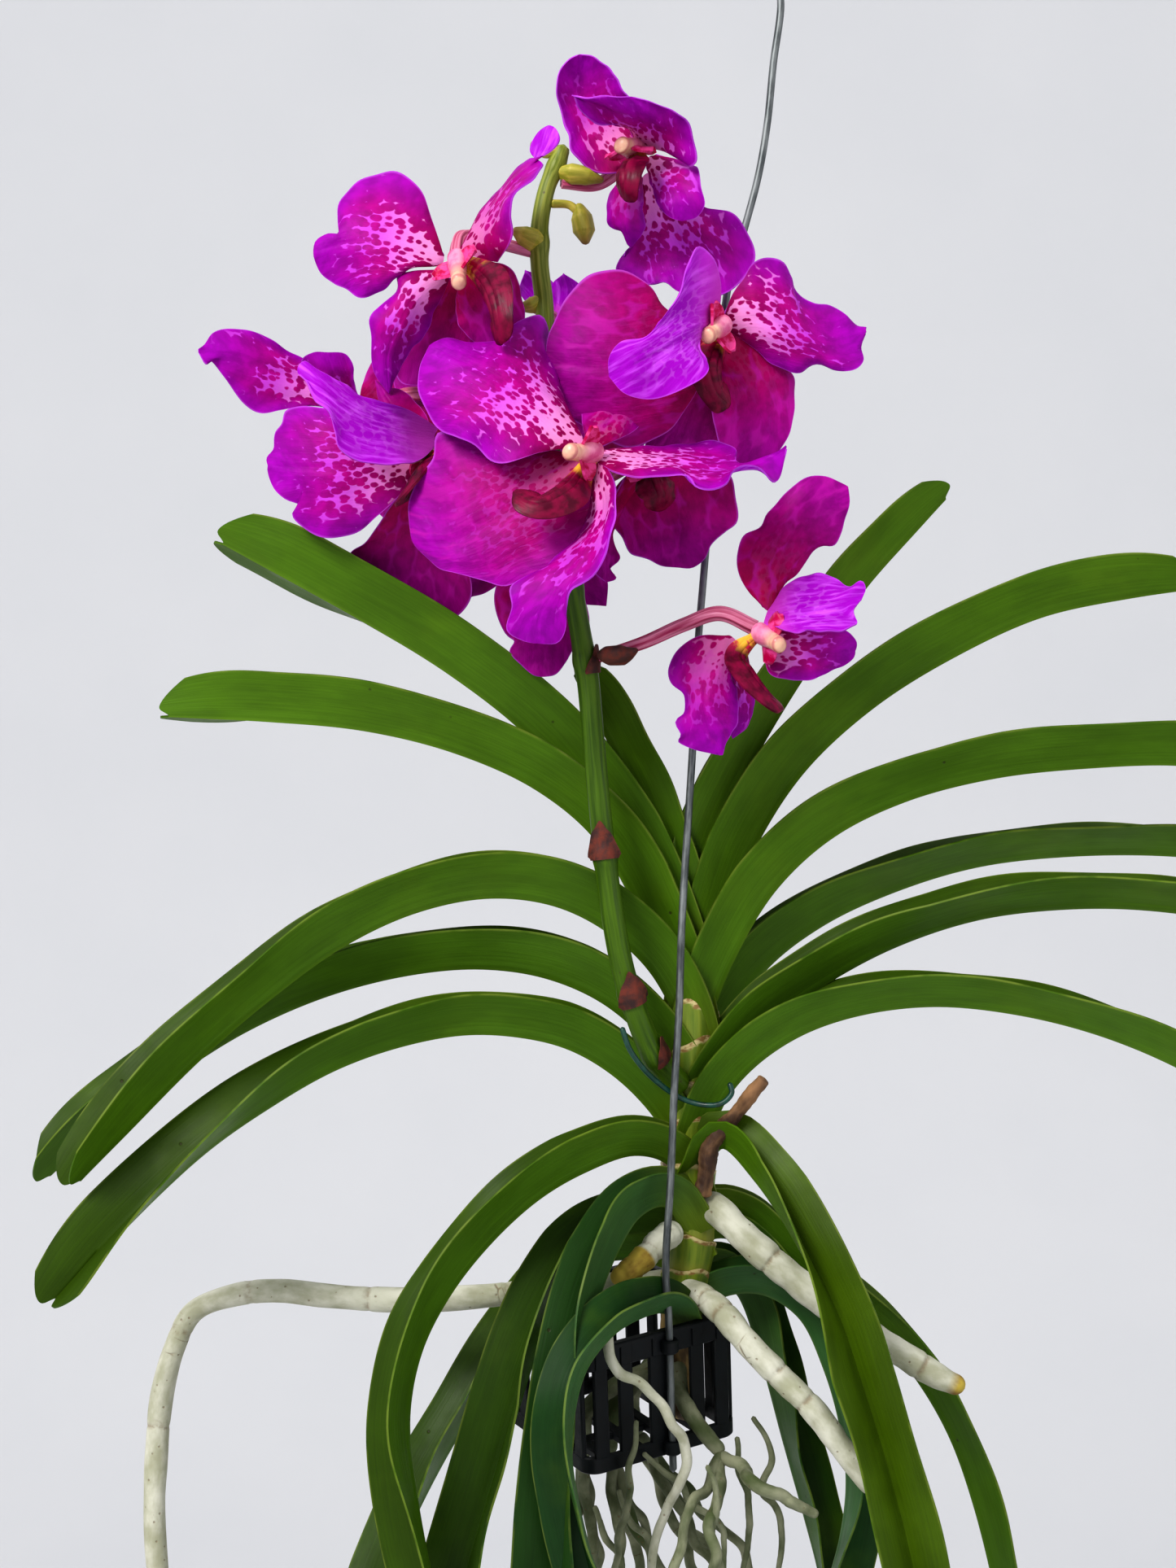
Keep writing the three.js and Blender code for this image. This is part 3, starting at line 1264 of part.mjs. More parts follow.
// Adds a piece, cut clear of every piece before it. make(grow) gives its solid, grown on all sides.
function addPiece(name, finish, make) {
  let body = make(0);
  for (const other of grownBodies) {
    if (!body.intersect(other).isEmpty()) {
      body = body.subtract(other);
    }
  }
  body = largest(body.simplify(LEAST_DETAIL));
  grownBodies.push(make(SEAT_GAP));
  const { vertProperties, triVerts } = body.getMesh();
  const geometry = new THREE.BufferGeometry();
  geometry.setAttribute('position', new THREE.BufferAttribute(vertProperties, 3));
  geometry.setIndex(new THREE.BufferAttribute(triVerts, 1));
  geometry.computeVertexNormals();
  const mesh = new THREE.Mesh(geometry, finish);
  mesh.name = name;
  group.add(mesh);
}

function finish(color, roughness, metalness = 0) {
  return new THREE.MeshStandardMaterial({ color, roughness, metalness });
}

const FINISHES = {
  basket: finish(0x1b2126, 0.5),
  wire: finish(0x8d9696, 0.4, 0.9),
  clip: finish(0x0f4a45, 0.45),
  stem: finish(0x7a8a2c, 0.7),
  dead: finish(0x5c3d28, 0.85),
  spike: finish(0x4f7a24, 0.5),
  leaf: finish(0x4a7a22, 0.42),
  petal: finish(0xb81d9c, 0.5),
  root: finish(0xb9b8a6, 0.85),
  greenRoot: finish(0x7c8440, 0.75),
};

// Hanger wire: one stiff wire, from the basket's lugs up to an open hook
function hangerPath() {
  const seat = (z) => inBasket(WIRE_SEAT.along, WIRE_SEAT.out, z);
  const approach = HOOK.approach.map((spot) => new THREE.Vector3(...spot));
  const path = [...WIRE_SEAT.levels.map(seat), ...WIRE.map(place), ...approach];
  for (let turn = HOOK.from; turn >= HOOK.to; turn -= HOOK.step) {
    const angle = THREE.MathUtils.degToRad(turn);
    const z = HOOK.radius * Math.sin(angle) - HOOK.radius + WIRE_RADIUS;
    path.push(new THREE.Vector3(HOOK.radius * Math.cos(angle), 0, z));
  }
  return path;
}

addPiece('hanger_wire', FINISHES.wire, (grow) => {
  return barThrough(hangerPath(), WIRE_RADIUS + grow, MESH.wire);
});
addPiece('basket', FINISHES.basket, basketSolid);
addPiece('stem', FINISHES.stem, (grow) => bar(STEM.path.map(place), STEM.radii, MESH.stem, grow));
addPiece('dead_spike', FINISHES.dead, (grow) => {
  return bar(DEAD_SPIKE.path.map(place), DEAD_SPIKE.radii, MESH.deadSpike, grow);
});

// Flower spike with its bracts and the buds' bare tip
function spikeSolid(grow) {
  const parts = [bar(SPIKE.path.map(place), SPIKE.radii, MESH.spike, grow)];
  for (const { path, radii } of BRACTS) {
    parts.push(bar(path.map(place), radii, MESH.bract, grow));
  }
  return parts.reduce((body, part) => body.add(part));
}
addPiece('flower_spike', FINISHES.spike, spikeSolid);
addPiece('spike_clip', FINISHES.clip, (grow) => {
  return bar(SPIKE_CLIP.map(place), [CLIP_WIRE_RADIUS], MESH.clip, grow);
});

LEFT_LEAVES.forEach((leaf, k) => {
  addPiece(`leaf_left_${k + 1}`, FINISHES.leaf, (grow) => leafSolid(leaf, -1, grow));
});
RIGHT_LEAVES.forEach((leaf, k) => {
  addPiece(`leaf_right_${k + 1}`, FINISHES.leaf, (grow) => leafSolid(leaf, 1, grow));
});

for (const [name, { path, radii, steps }] of Object.entries(AERIAL_ROOTS)) {
  const mesh = { steps, ...MESH.root };
  addPiece(name, FINISHES.root, (grow) => bar(path.map(place), radii, mesh, grow));
}

// A branching root: a trunk that leaves the stem inside the basket, and its hanging strands
function rootBunch(bunch, grow) {
  const trunk = bunch.trunk.map((spot) => inBasket(...spot));
  const fork = trunk[trunk.length - 1];
  const parts = [bar(trunk, TRUNK_RADII, MESH.trunk, grow)];
  for (const { ends, radius } of bunch.strands) {
    const [first, last] = ends.map(place);
    const dip = new THREE.Vector3().lerpVectors(fork, first, 0.5);
    const radii = [FORK_RADIUS, radius, radius, radius * STRAND_END_SHARE];
    parts.push(bar([fork, dip, first, last], radii, MESH.strand, grow));
  }
  return parts.reduce((body, part) => body.add(part));
}
ROOT_BUNCHES.forEach((bunch, k) => {
  addPiece(`roots_hanging_${k + 1}`, FINISHES.greenRoot, (grow) => rootBunch(bunch, grow));
});

for (const [name, bloom] of Object.entries(BLOOMS)) {
  addPiece(name, FINISHES.petal, (grow) => bloomSolid(bloom, grow));
}

export default group;
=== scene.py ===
import itertools
import math

import bpy
import numpy as np
from mathutils import Matrix, Vector


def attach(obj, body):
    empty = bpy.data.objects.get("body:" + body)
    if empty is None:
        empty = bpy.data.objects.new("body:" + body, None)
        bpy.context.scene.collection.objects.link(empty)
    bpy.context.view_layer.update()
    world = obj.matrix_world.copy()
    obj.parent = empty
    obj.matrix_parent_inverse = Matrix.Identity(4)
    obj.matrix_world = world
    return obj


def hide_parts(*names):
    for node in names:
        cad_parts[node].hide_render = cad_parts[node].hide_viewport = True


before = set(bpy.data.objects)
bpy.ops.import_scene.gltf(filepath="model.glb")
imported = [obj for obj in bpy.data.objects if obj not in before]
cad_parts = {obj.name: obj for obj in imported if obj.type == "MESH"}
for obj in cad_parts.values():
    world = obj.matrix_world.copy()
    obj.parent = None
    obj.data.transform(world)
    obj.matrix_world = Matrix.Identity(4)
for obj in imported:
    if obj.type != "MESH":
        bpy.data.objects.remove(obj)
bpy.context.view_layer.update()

MM = 0.001

# The sighting grid: a point is [across, down, depth], in grid steps and millimetres behind the stem.
STEP = 0.29
EYE = 900.0
GRID_CENTRE = (722.5, 963.5)
VIEW_CENTRE = (-70.0, -310.0)
SENSOR_WIDTH = 36
LENS = 58

# The camera

camera = bpy.data.objects.new("camera", bpy.data.cameras.new("camera"))
bpy.context.scene.collection.objects.link(camera)
camera.location = (VIEW_CENTRE[0] * MM, -EYE * MM, VIEW_CENTRE[1] * MM)
camera.rotation_euler = (math.pi / 2, 0, 0)
camera.data.sensor_width = SENSOR_WIDTH
camera.data.lens = LENS
bpy.context.scene.camera = camera

# Leaves: keel line, half width, fold and roll in degrees, and tint from fresh (0) to old (1); a high tint
# is partly the leaf's age and partly painted shade on leaves that hang in shadow
LEAVES = {
    "leaf_left_1": dict(
        half=14, fold=[80, 70, 50], roll=[0, 5, 10], tint=0.35,
        keel=[(838, 1200, 0), (822, 1100, 1), (785, 985, 3), (745, 900, 5), (700, 818, 8)]),
    "leaf_left_2": dict(
        half=18, fold=[78, 50, 33], roll=[2, 35, 50], tint=0.45,
        keel=[(842, 1215, -2), (826, 1170, -2), (780, 1072, -4), (715, 972, -8), (640, 893, -14),
            (550, 824, -20), (450, 763, -26), (350, 708, -30), (262, 662, -32)]),
    "leaf_left_3": dict(
        half=17, fold=[78, 52, 40], roll=[2, 10, 48], tint=0.4,
        keel=[(846, 1275, -2), (828, 1210, -3), (790, 1125, -6), (735, 1030, -10), (660, 967, -14),
            (560, 922, -18), (450, 895, -20), (330, 884, -20), (194, 880, -18)]),
    "leaf_left_4": dict(
        half=17, fold=[78, 58, 60], roll=[2, 0, -28], tint=0.45,
        keel=[(850, 1320, -4), (835, 1255, -6), (800, 1190, -10), (745, 1140, -16), (680, 1109, -22),
            (600, 1100, -28), (510, 1118, -34), (420, 1160, -40), (330, 1225, -46), (240, 1303, -52),
            (160, 1385, -56), (86, 1464, -58)]),
    "leaf_left_5": dict(
        half=16, fold=[78, 56, 58], roll=[2, 0, -20], tint=0.5,
        keel=[(850, 1385, -4), (832, 1330, -6), (795, 1275, -8), (740, 1228, -12), (670, 1198, -14),
            (590, 1187, -16), (500, 1195, -18), (400, 1221, -20), (300, 1265, -22), (210, 1322, -24),
            (125, 1385, -26), (50, 1455, -28)]),
    "leaf_left_6": dict(
        half=16, fold=[78, 50, 38], roll=[2, 0, -62], tint=0.5,
        keel=[(846, 1440, -2), (828, 1405, -4), (800, 1362, -8), (755, 1318, -12), (700, 1286, -16),
            (640, 1271, -20), (570, 1268, -24), (490, 1283, -30), (410, 1312, -36), (330, 1358, -42),
            (250, 1415, -48), (150, 1510, -54), (58, 1608, -58)]),
    "leaf_left_7": dict(
        half=15, fold=[78, 50, 40], roll=[0, -10, -50], tint=0.5,
        keel=[(846, 1475, -2), (825, 1430, -8), (780, 1416, -18), (720, 1436, -28), (660, 1471, -36),
            (600, 1526, -42), (550, 1590, -46), (515, 1660, -48), (500, 1740, -50), (508, 1830, -50),
            (525, 1920, -50), (550, 2010, -50)]),
    "leaf_left_8": dict(
        half=16, fold=[76, 55, 35], roll=[0, -55, -78], tint=0.85,
        keel=[(848, 1520, -6), (820, 1480, -12), (785, 1492, -24), (755, 1540, -38), (732, 1600, -48),
            (715, 1670, -54), (700, 1750, -56), (690, 1840, -54), (682, 1930, -48), (676, 2030, -42),
            (672, 2120, -36)]),
    "leaf_left_9": dict(
        half=17, fold=[76, 50, 40], roll=[0, -45, -55], tint=0.65,
        keel=[(846, 1560, 0), (822, 1518, 2), (780, 1512, -2), (735, 1530, -10), (695, 1580, -22),
            (662, 1650, -32), (635, 1730, -36), (612, 1810, -34), (588, 1890, -31), (562, 1980, -28),
            (540, 2070, -28)]),
    "leaf_left_10": dict(
        half=15, fold=[74, 50, 42], roll=[0, -20, -45], tint=0.6,
        keel=[(844, 1580, 4), (818, 1556, 10), (780, 1545, 20), (735, 1550, 30), (680, 1585, 38),
            (630, 1648, 42), (582, 1728, 36), (540, 1800, 28), (505, 1870, 20), (475, 1945, 12),
            (450, 2030, 4)]),
    "leaf_left_11": dict(
        half=13, fold=[72, 45, 30], roll=[0, -35, -62], tint=0.95,
        keel=[(838, 1640, -6), (820, 1612, -24), (785, 1618, -46), (748, 1642, -62), (718, 1682, -70),
            (703, 1735, -74), (700, 1795, -72), (710, 1855, -66), (724, 1915, -58), (742, 1985, -50),
            (765, 2060, -44)]),
    "leaf_right_1": dict(
        half=15, fold=[80, 65, 50], roll=[0, 5, 10], tint=0.35,
        keel=[(846, 1200, 2), (862, 1080, 3), (890, 1000, 5), (925, 930, 7), (980, 838, 9), (1060, 722, 10),
            (1120, 655, 10), (1172, 602, 9)]),
    "leaf_right_2": dict(
        half=17, fold=[78, 55, 45], roll=[2, 18, 20], tint=0.4,
        keel=[(850, 1265, -2), (866, 1205, -2), (890, 1130, -1), (925, 1040, 1), (985, 947, 4),
            (1070, 868, 8), (1170, 805, 12), (1280, 755, 15), (1385, 733, 17), (1478, 722, 18)]),
    "leaf_right_3": dict(
        half=17, fold=[78, 50, 45], roll=[2, 8, 15], tint=0.45,
        keel=[(852, 1325, -4), (870, 1250, -5), (900, 1175, -6), (950, 1092, -8), (1020, 1027, -10),
            (1110, 982, -12), (1220, 953, -14), (1340, 940, -16), (1450, 937, -18), (1560, 951, -18),
            (1660, 985, -16)]),
    "leaf_right_4": dict(
        half=16, fold=[78, 42, 40], roll=[2, -2, 2], tint=0.45,
        keel=[(852, 1385, -2), (868, 1320, 0), (892, 1258, 3), (940, 1188, 8), (1010, 1134, 12),
            (1100, 1092, 16), (1200, 1062, 20), (1310, 1049, 24), (1430, 1048, 28), (1540, 1060, 30),
            (1640, 1090, 30)]),
    "leaf_right_5": dict(
        half=16, fold=[78, 46, 40], roll=[2, -6, 2], tint=0.5,
        keel=[(854, 1430, -2), (868, 1368, -4), (895, 1318, -8), (945, 1257, -12), (1015, 1205, -16),
            (1100, 1160, -20), (1200, 1127, -24), (1300, 1114, -28), (1400, 1114, -32), (1500, 1128, -34),
            (1600, 1160, -34)]),
    "leaf_right_6": dict(
        half=15, fold=[78, 44, 40], roll=[2, 0, 0], tint=0.5,
        keel=[(852, 1470, -2), (866, 1410, -6), (888, 1352, -10), (925, 1308, -14), (985, 1268, -20),
            (1060, 1243, -26), (1150, 1233, -32), (1250, 1243, -38), (1350, 1268, -44), (1445, 1307, -48),
            (1530, 1357, -50), (1610, 1425, -50)]),
    "leaf_right_7": dict(
        half=15, fold=[74, 50, 42], roll=[0, -85, -88], tint=0.35,
        keel=[(852, 1500, 2), (866, 1440, -4), (888, 1408, -12), (930, 1450, -22), (985, 1535, -32),
            (1030, 1620, -38), (1065, 1720, -42), (1095, 1820, -44), (1120, 1920, -44), (1138, 2020, -42),
            (1150, 2120, -38)]),
    "leaf_right_8": dict(
        half=13, fold=[74, 45, 40], roll=[0, 0, 0], tint=0.5,
        keel=[(856, 1530, 6), (875, 1492, 8), (910, 1498, 12), (960, 1545, 16), (1020, 1590, 20),
            (1080, 1635, 24), (1130, 1695, 26), (1170, 1765, 28), (1200, 1850, 28), (1222, 1940, 26),
            (1236, 2030, 22)]),
    "leaf_right_9": dict(
        half=13, fold=[74, 50, 40], roll=[0, -30, -40], tint=0.6,
        keel=[(854, 1560, 6), (870, 1522, 8), (900, 1520, 12), (945, 1560, 18), (1000, 1640, 22),
            (1045, 1750, 22), (1075, 1850, 20), (1095, 1945, 16), (1108, 2040, 12)]),
    "leaf_right_10": dict(
        half=14, fold=[72, 45, 40], roll=[0, -20, -60], tint=0.95,
        keel=[(846, 1640, -2), (864, 1606, 0), (895, 1588, 2), (940, 1588, 4), (985, 1618, 3),
            (1015, 1680, -3), (1035, 1750, -8), (1043, 1820, -10), (1035, 1890, -10), (1015, 1960, -10),
            (990, 2040, -8)]),
    "leaf_right_11": dict(
        half=14, fold=[72, 48, 40], roll=[0, -25, -40], tint=0.75,
        keel=[(846, 1605, 6), (872, 1566, 14), (908, 1588, 24), (938, 1670, 30), (965, 1770, 32),
            (990, 1860, 28), (1010, 1940, 24), (1022, 2030, 18)]),
}

# Blooms: a petal is its midrib and its left and right edges, as its own front shows them with the tip
# away, and how strongly it is spotted. Every line starts at the heart and ends at the tip.
BLOOMS = {
    "bloom_center": dict(
        facing=(-0.4, -0.9, -0.1),
        column=[(730, 557, -75), (697, 555, -90)],
        lip=[(712, 584, -78), (694, 604, -88), (662, 618, -92), (632, 604, -88)],
        pedicel=[(676, 590, -34), (700, 575, -50), (722, 560, -72)],
        petals=[
            dict(pattern=1.0,
             mid=[(714, 548, -74), (668, 505, -76), (615, 468, -74), (565, 442, -68), (528, 424, -62)],
             left=[(700, 550, -76), (660, 557, -80), (625, 568, -82), (602, 566, -80), (580, 546, -78),
                 (560, 537, -76), (541, 529, -72), (524, 505, -68), (517, 475, -64), (520, 446, -62),
                 (528, 424, -62)],
             right=[(716, 540, -72), (700, 505, -66), (686, 465, -56), (676, 425, -50), (664, 390, -48),
                 (640, 402, -52), (612, 420, -56), (580, 418, -58), (552, 414, -60), (528, 424, -62)]),
            dict(pattern=0.3,
             mid=[(712, 570, -72), (660, 607, -74), (600, 642, -74), (550, 666, -70), (506, 664, -64)],
             left=[(726, 576, -74), (738, 610, -76), (728, 650, -78), (695, 690, -78), (655, 706, -76),
                 (620, 720, -74), (598, 712, -72), (560, 703, -70), (535, 697, -66), (515, 677, -64),
                 (506, 664, -64)],
             right=[(702, 558, -68), (660, 550, -68), (610, 546, -68), (570, 540, -66), (541, 534, -64),
                 (533, 565, -64), (512, 598, -62), (502, 632, -62), (506, 664, -64)]),
            dict(pattern=1.0,
             mid=[(734, 562, -72), (780, 566, -76), (830, 568, -80), (880, 576, -82), (930, 571, -78),
                 (966, 552, -72)],
             left=[(735, 555, -70), (762, 551, -66), (800, 549, -62), (850, 549, -60), (900, 553, -62),
                 (908, 567, -70), (930, 566, -72), (950, 560, -70), (966, 548, -70)],
             right=[(735, 570, -76), (758, 581, -84), (800, 584, -92), (842, 588, -98), (852, 600, -100),
                 (875, 603, -100), (893, 598, -98), (904, 581, -92), (934, 578, -86), (951, 592, -82),
                 (959, 586, -78), (966, 552, -74)]),
            dict(pattern=0.55,
             mid=[(732, 572, -74), (740, 630, -86), (714, 680, -92), (682, 725, -94), (663, 758, -92),
                 (661, 791, -88)],
             left=[(742, 568, -76), (757, 600, -90), (748, 645, -98), (741, 680, -100), (729, 706, -100),
                 (701, 722, -98), (697, 745, -94), (694, 770, -90), (684, 789, -88), (661, 791, -88)],
             right=[(727, 590, -72), (722, 630, -76), (702, 665, -80), (668, 698, -86), (628, 722, -88),
                 (631, 745, -88), (624, 774, -86), (640, 787, -86), (661, 791, -88)]),
            dict(pattern=0.3,
             mid=[(728, 548, -70), (750, 515, -60), (765, 480, -48), (775, 440, -42)],
             left=[(720, 545, -70), (715, 510, -56), (722, 470, -46), (745, 440, -42), (775, 436, -42)],
             right=[(738, 550, -70), (785, 525, -56), (812, 485, -46), (806, 448, -42), (775, 436, -42)]),
        ]),
    "bloom_upper_left": dict(
        facing=(-0.25, -0.9, -0.25),
        column=[(562, 318, -54), (564, 350, -66)],
        lip=[(586, 334, -60), (604, 358, -70), (612, 394, -74), (613, 424, -70)],
        pedicel=[(662, 312, -32), (600, 296, -34), (568, 292, -42), (560, 320, -50)],
        petals=[
            dict(pattern=1.0,
             mid=[(545, 320, -50), (500, 306, -54), (455, 298, -54), (415, 301, -50), (385, 312, -46)],
             left=[(542, 327, -50), (505, 330, -52), (488, 340, -52), (470, 356, -50), (446, 363, -48),
                 (425, 353, -46), (411, 350, -46), (393, 335, -44), (385, 312, -46)],
             right=[(545, 313, -50), (532, 275, -48), (516, 235, -46), (494, 214, -44), (472, 208, -42),
                 (440, 218, -42), (420, 243, -44), (416, 272, -48), (417, 288, -50), (402, 289, -46),
                 (389, 297, -44), (385, 312, -46)]),
            dict(pattern=0.45,
             mid=[(575, 312, -50), (602, 265, -56), (630, 226, -60), (658, 198, -62), (674, 154, -58)],
             left=[(568, 306, -48), (598, 250, -46), (625, 214, -48), (645, 198, -54), (670, 190, -66),
                 (686, 173, -64), (683, 158, -60), (674, 154, -58)],
             right=[(612, 322, -54), (627, 295, -64), (629, 262, -68), (631, 242, -68), (658, 219, -70),
                 (668, 204, -66), (653, 188, -58), (662, 164, -56), (674, 154, -58)]),
            dict(pattern=1.0,
             mid=[(546, 338, -50), (512, 362, -54), (490, 400, -54), (476, 435, -50), (478, 484, -44)],
             left=[(552, 342, -48), (540, 372, -46), (524, 402, -44), (504, 430, -44), (490, 455, -44),
                 (478, 484, -44)],
             right=[(540, 332, -50), (505, 334, -52), (487, 339, -52), (484, 358, -52), (466, 377, -52),
                 (455, 393, -52), (458, 418, -50), (458, 440, -48), (463, 462, -46), (478, 484, -44)]),
            dict(pattern=0.1,
             mid=[(575, 335, -46), (594, 366, -46), (606, 398, -44), (612, 432, -42)],
             left=[(590, 322, -46), (622, 327, -44), (641, 357, -42), (646, 390, -40), (636, 418, -40),
                 (612, 432, -42)],
             right=[(566, 345, -46), (561, 370, -44), (566, 400, -42), (582, 422, -42), (612, 432, -42)]),
            dict(pattern=0.15,
             mid=[(556, 342, -44), (545, 380, -40), (538, 420, -36), (532, 470, -30)],
             left=[(566, 345, -44), (584, 378, -40), (586, 415, -36), (566, 452, -32), (532, 474, -30)],
             right=[(548, 345, -44), (526, 372, -38), (504, 408, -34), (484, 440, -30), (492, 468, -28),
                 (532, 474, -30)]),
        ]),
    "bloom_upper_right": dict(
        facing=(0.4, -0.85, -0.1),
        column=[(888, 400, -58), (868, 414, -68)],
        lip=[(880, 428, -58), (874, 452, -64), (880, 478, -64), (896, 499, -58)],
        pedicel=[(668, 420, -32), (780, 430, -26), (885, 402, -54)],
        petals=[
            dict(pattern=0.2,
             mid=[(876, 412, -54), (820, 438, -60), (760, 450, -62), (710, 450, -60), (671, 446, -56)],
             left=[(878, 425, -52), (852, 490, -52), (815, 535, -50), (770, 548, -50), (735, 528, -52),
                 (700, 512, -54), (680, 482, -56), (671, 446, -56)],
             right=[(872, 400, -54), (840, 392, -54), (812, 374, -54), (790, 345, -54), (755, 333, -54),
                 (715, 348, -54), (686, 380, -56), (673, 414, -56), (671, 446, -56)]),
            dict(pattern=0.4,
             mid=[(882, 396, -56), (852, 402, -72), (812, 425, -82), (776, 446, -86), (748, 463, -84)],
             left=[(884, 385, -58), (885, 345, -64), (876, 318, -68), (857, 303, -72), (838, 342, -76),
                 (818, 384, -80), (795, 411, -84), (762, 420, -86), (748, 440, -86), (748, 463, -84)],
             right=[(881, 404, -58), (859, 415, -68), (860, 432, -74), (871, 449, -76), (866, 463, -78),
                 (840, 478, -80), (800, 491, -82), (768, 484, -84), (748, 463, -84)]),
            dict(pattern=1.0,
             mid=[(888, 395, -54), (930, 391, -58), (980, 406, -56), (1025, 420, -50), (1064, 408, -46)],
             left=[(890, 386, -56), (901, 360, -58), (915, 340, -58), (926, 324, -58), (940, 319, -56),
                 (961, 325, -54), (971, 341, -52), (973, 357, -50), (1000, 374, -48), (1021, 373, -46),
                 (1041, 386, -46), (1054, 401, -44), (1064, 402, -46)],
             right=[(892, 404, -52), (920, 422, -50), (950, 446, -50), (984, 460, -50), (1005, 451, -50),
                 (1026, 456, -50), (1050, 454, -48), (1060, 443, -46), (1057, 428, -46), (1064, 408, -46)]),
            dict(pattern=0.2,
             mid=[(890, 415, -50), (922, 465, -48), (936, 520, -44), (925, 576, -42)],
             left=[(896, 408, -50), (940, 430, -46), (978, 462, -44), (974, 502, -42), (965, 540, -42),
                 (945, 568, -42), (925, 578, -42)],
             right=[(884, 420, -48), (878, 460, -44), (876, 510, -42), (890, 556, -40), (925, 578, -42)]),
            dict(pattern=0.1,
             mid=[(882, 420, -48), (862, 470, -42), (842, 520, -38), (825, 572, -36)],
             left=[(890, 425, -46), (898, 480, -40), (892, 530, -38), (864, 568, -36), (825, 576, -36)],
             right=[(874, 425, -46), (828, 470, -40), (796, 525, -36), (796, 562, -36), (825, 576, -36)]),
        ]),
    "bloom_lower_right": dict(
        facing=(0.55, -0.75, -0.35),
        column=[(934, 778, -54), (960, 794, -66)],
        lip=[(910, 806, -54), (922, 830, -60), (940, 852, -62), (962, 871, -58)],
        pedicel=[(734, 808, -32), (790, 790, -38), (840, 768, -42), (885, 754, -46), (928, 772, -48)],
        petals=[
            dict(pattern=0.2,
             mid=[(942, 750, -48), (946, 705, -50), (970, 660, -52), (1005, 620, -52), (1042, 598, -50)],
             left=[(936, 742, -48), (922, 730, -48), (908, 706, -48), (905, 682, -48), (914, 658, -48),
                 (935, 647, -48), (943, 630, -48), (968, 606, -50), (990, 590, -50), (1014, 586, -50),
                 (1034, 594, -50), (1042, 598, -50)],
             right=[(950, 752, -48), (956, 732, -48), (966, 714, -48), (986, 698, -48), (1000, 680, -48),
                 (1012, 672, -48), (1026, 669, -48), (1036, 644, -48), (1043, 618, -50), (1042, 598, -50)]),
            dict(pattern=0.4,
             mid=[(942, 760, -52), (975, 752, -62), (1015, 746, -66), (1058, 736, -64)],
             left=[(938, 768, -56), (975, 774, -68), (1010, 776, -74), (1040, 775, -74), (1053, 767, -70),
                 (1049, 750, -68), (1058, 738, -64)],
             right=[(946, 748, -50), (965, 722, -52), (988, 706, -54), (1012, 704, -56), (1030, 711, -58),
                 (1046, 721, -60), (1060, 716, -62), (1062, 728, -62), (1058, 738, -64)]),
            dict(pattern=1.0,
             mid=[(940, 786, -50), (975, 796, -54), (1015, 800, -54), (1051, 800, -48)],
             left=[(946, 777, -52), (985, 768, -56), (1020, 768, -56), (1043, 778, -52), (1052, 792, -48),
                 (1051, 800, -48)],
             right=[(938, 802, -50), (946, 828, -50), (975, 835, -50), (1005, 832, -50), (1030, 822, -48),
                 (1048, 809, -48), (1051, 800, -48)]),
            dict(pattern=0.4,
             mid=[(902, 786, -50), (874, 820, -56), (866, 870, -60), (884, 928, -54)],
             left=[(908, 795, -52), (900, 830, -54), (908, 862, -56), (907, 886, -56), (893, 905, -54),
                 (888, 928, -54)],
             right=[(893, 782, -48), (860, 782, -46), (833, 795, -46), (820, 820, -48), (826, 839, -50),
                 (842, 855, -54), (842, 877, -56), (832, 888, -56), (838, 900, -56), (834, 909, -54),
                 (855, 921, -54), (884, 928, -54)]),
            dict(pattern=0.7,
             mid=[(910, 800, -46), (912, 850, -46), (910, 882, -44), (900, 908, -42)],
             left=[(918, 800, -46), (924, 840, -44), (925, 868, -42), (917, 893, -42), (900, 908, -42)],
             right=[(900, 800, -46), (896, 840, -46), (890, 880, -44), (900, 908, -42)]),
        ]),
    "bloom_crown": dict(
        facing=(-0.35, -0.85, -0.35),
        column=[(780, 184, -40), (762, 178, -52)],
        lip=[(778, 198, -46), (768, 208, -54), (766, 226, -56), (768, 246, -50)],
        pedicel=[(690, 225, -32), (735, 226, -28), (782, 190, -34)],
        petals=[
            dict(pattern=0.5,
             mid=[(772, 186, -34), (745, 160, -32), (722, 125, -32), (712, 95, -36), (712, 67, -42)],
             left=[(768, 212, -36), (735, 213, -36), (714, 201, -36), (702, 186, -36), (701, 162, -36),
                 (689, 131, -36), (682, 110, -38), (688, 86, -40), (699, 73, -42), (712, 67, -42)],
             right=[(782, 176, -36), (784, 150, -38), (776, 120, -40), (760, 100, -42), (742, 80, -42),
                 (728, 70, -42), (712, 67, -42)]),
            dict(pattern=0.6,
             mid=[(788, 178, -38), (788, 158, -52), (782, 138, -62), (776, 119, -66)],
             left=[(780, 176, -40), (768, 150, -50), (742, 154, -56), (722, 145, -60), (706, 126, -64),
                 (703, 112, -66), (722, 117, -68), (750, 120, -68), (776, 119, -66)],
             right=[(796, 182, -40), (828, 189, -46), (850, 204, -50), (858, 198, -52), (853, 176, -54),
                 (845, 157, -58), (830, 141, -62), (808, 128, -64), (776, 119, -66)]),
            dict(pattern=0.9,
             mid=[(797, 196, -34), (820, 222, -44), (834, 248, -48), (838, 272, -46)],
             left=[(806, 190, -36), (845, 200, -42), (858, 208, -46), (862, 232, -48), (866, 252, -48),
                 (856, 267, -46), (838, 272, -46)],
             right=[(794, 206, -36), (802, 230, -42), (808, 252, -46), (820, 266, -46), (838, 272, -46)]),
            dict(pattern=0.4,
             mid=[(776, 212, -38), (768, 245, -42), (767, 275, -42), (775, 305, -36)],
             left=[(788, 215, -36), (791, 250, -36), (789, 284, -36), (775, 305, -36)],
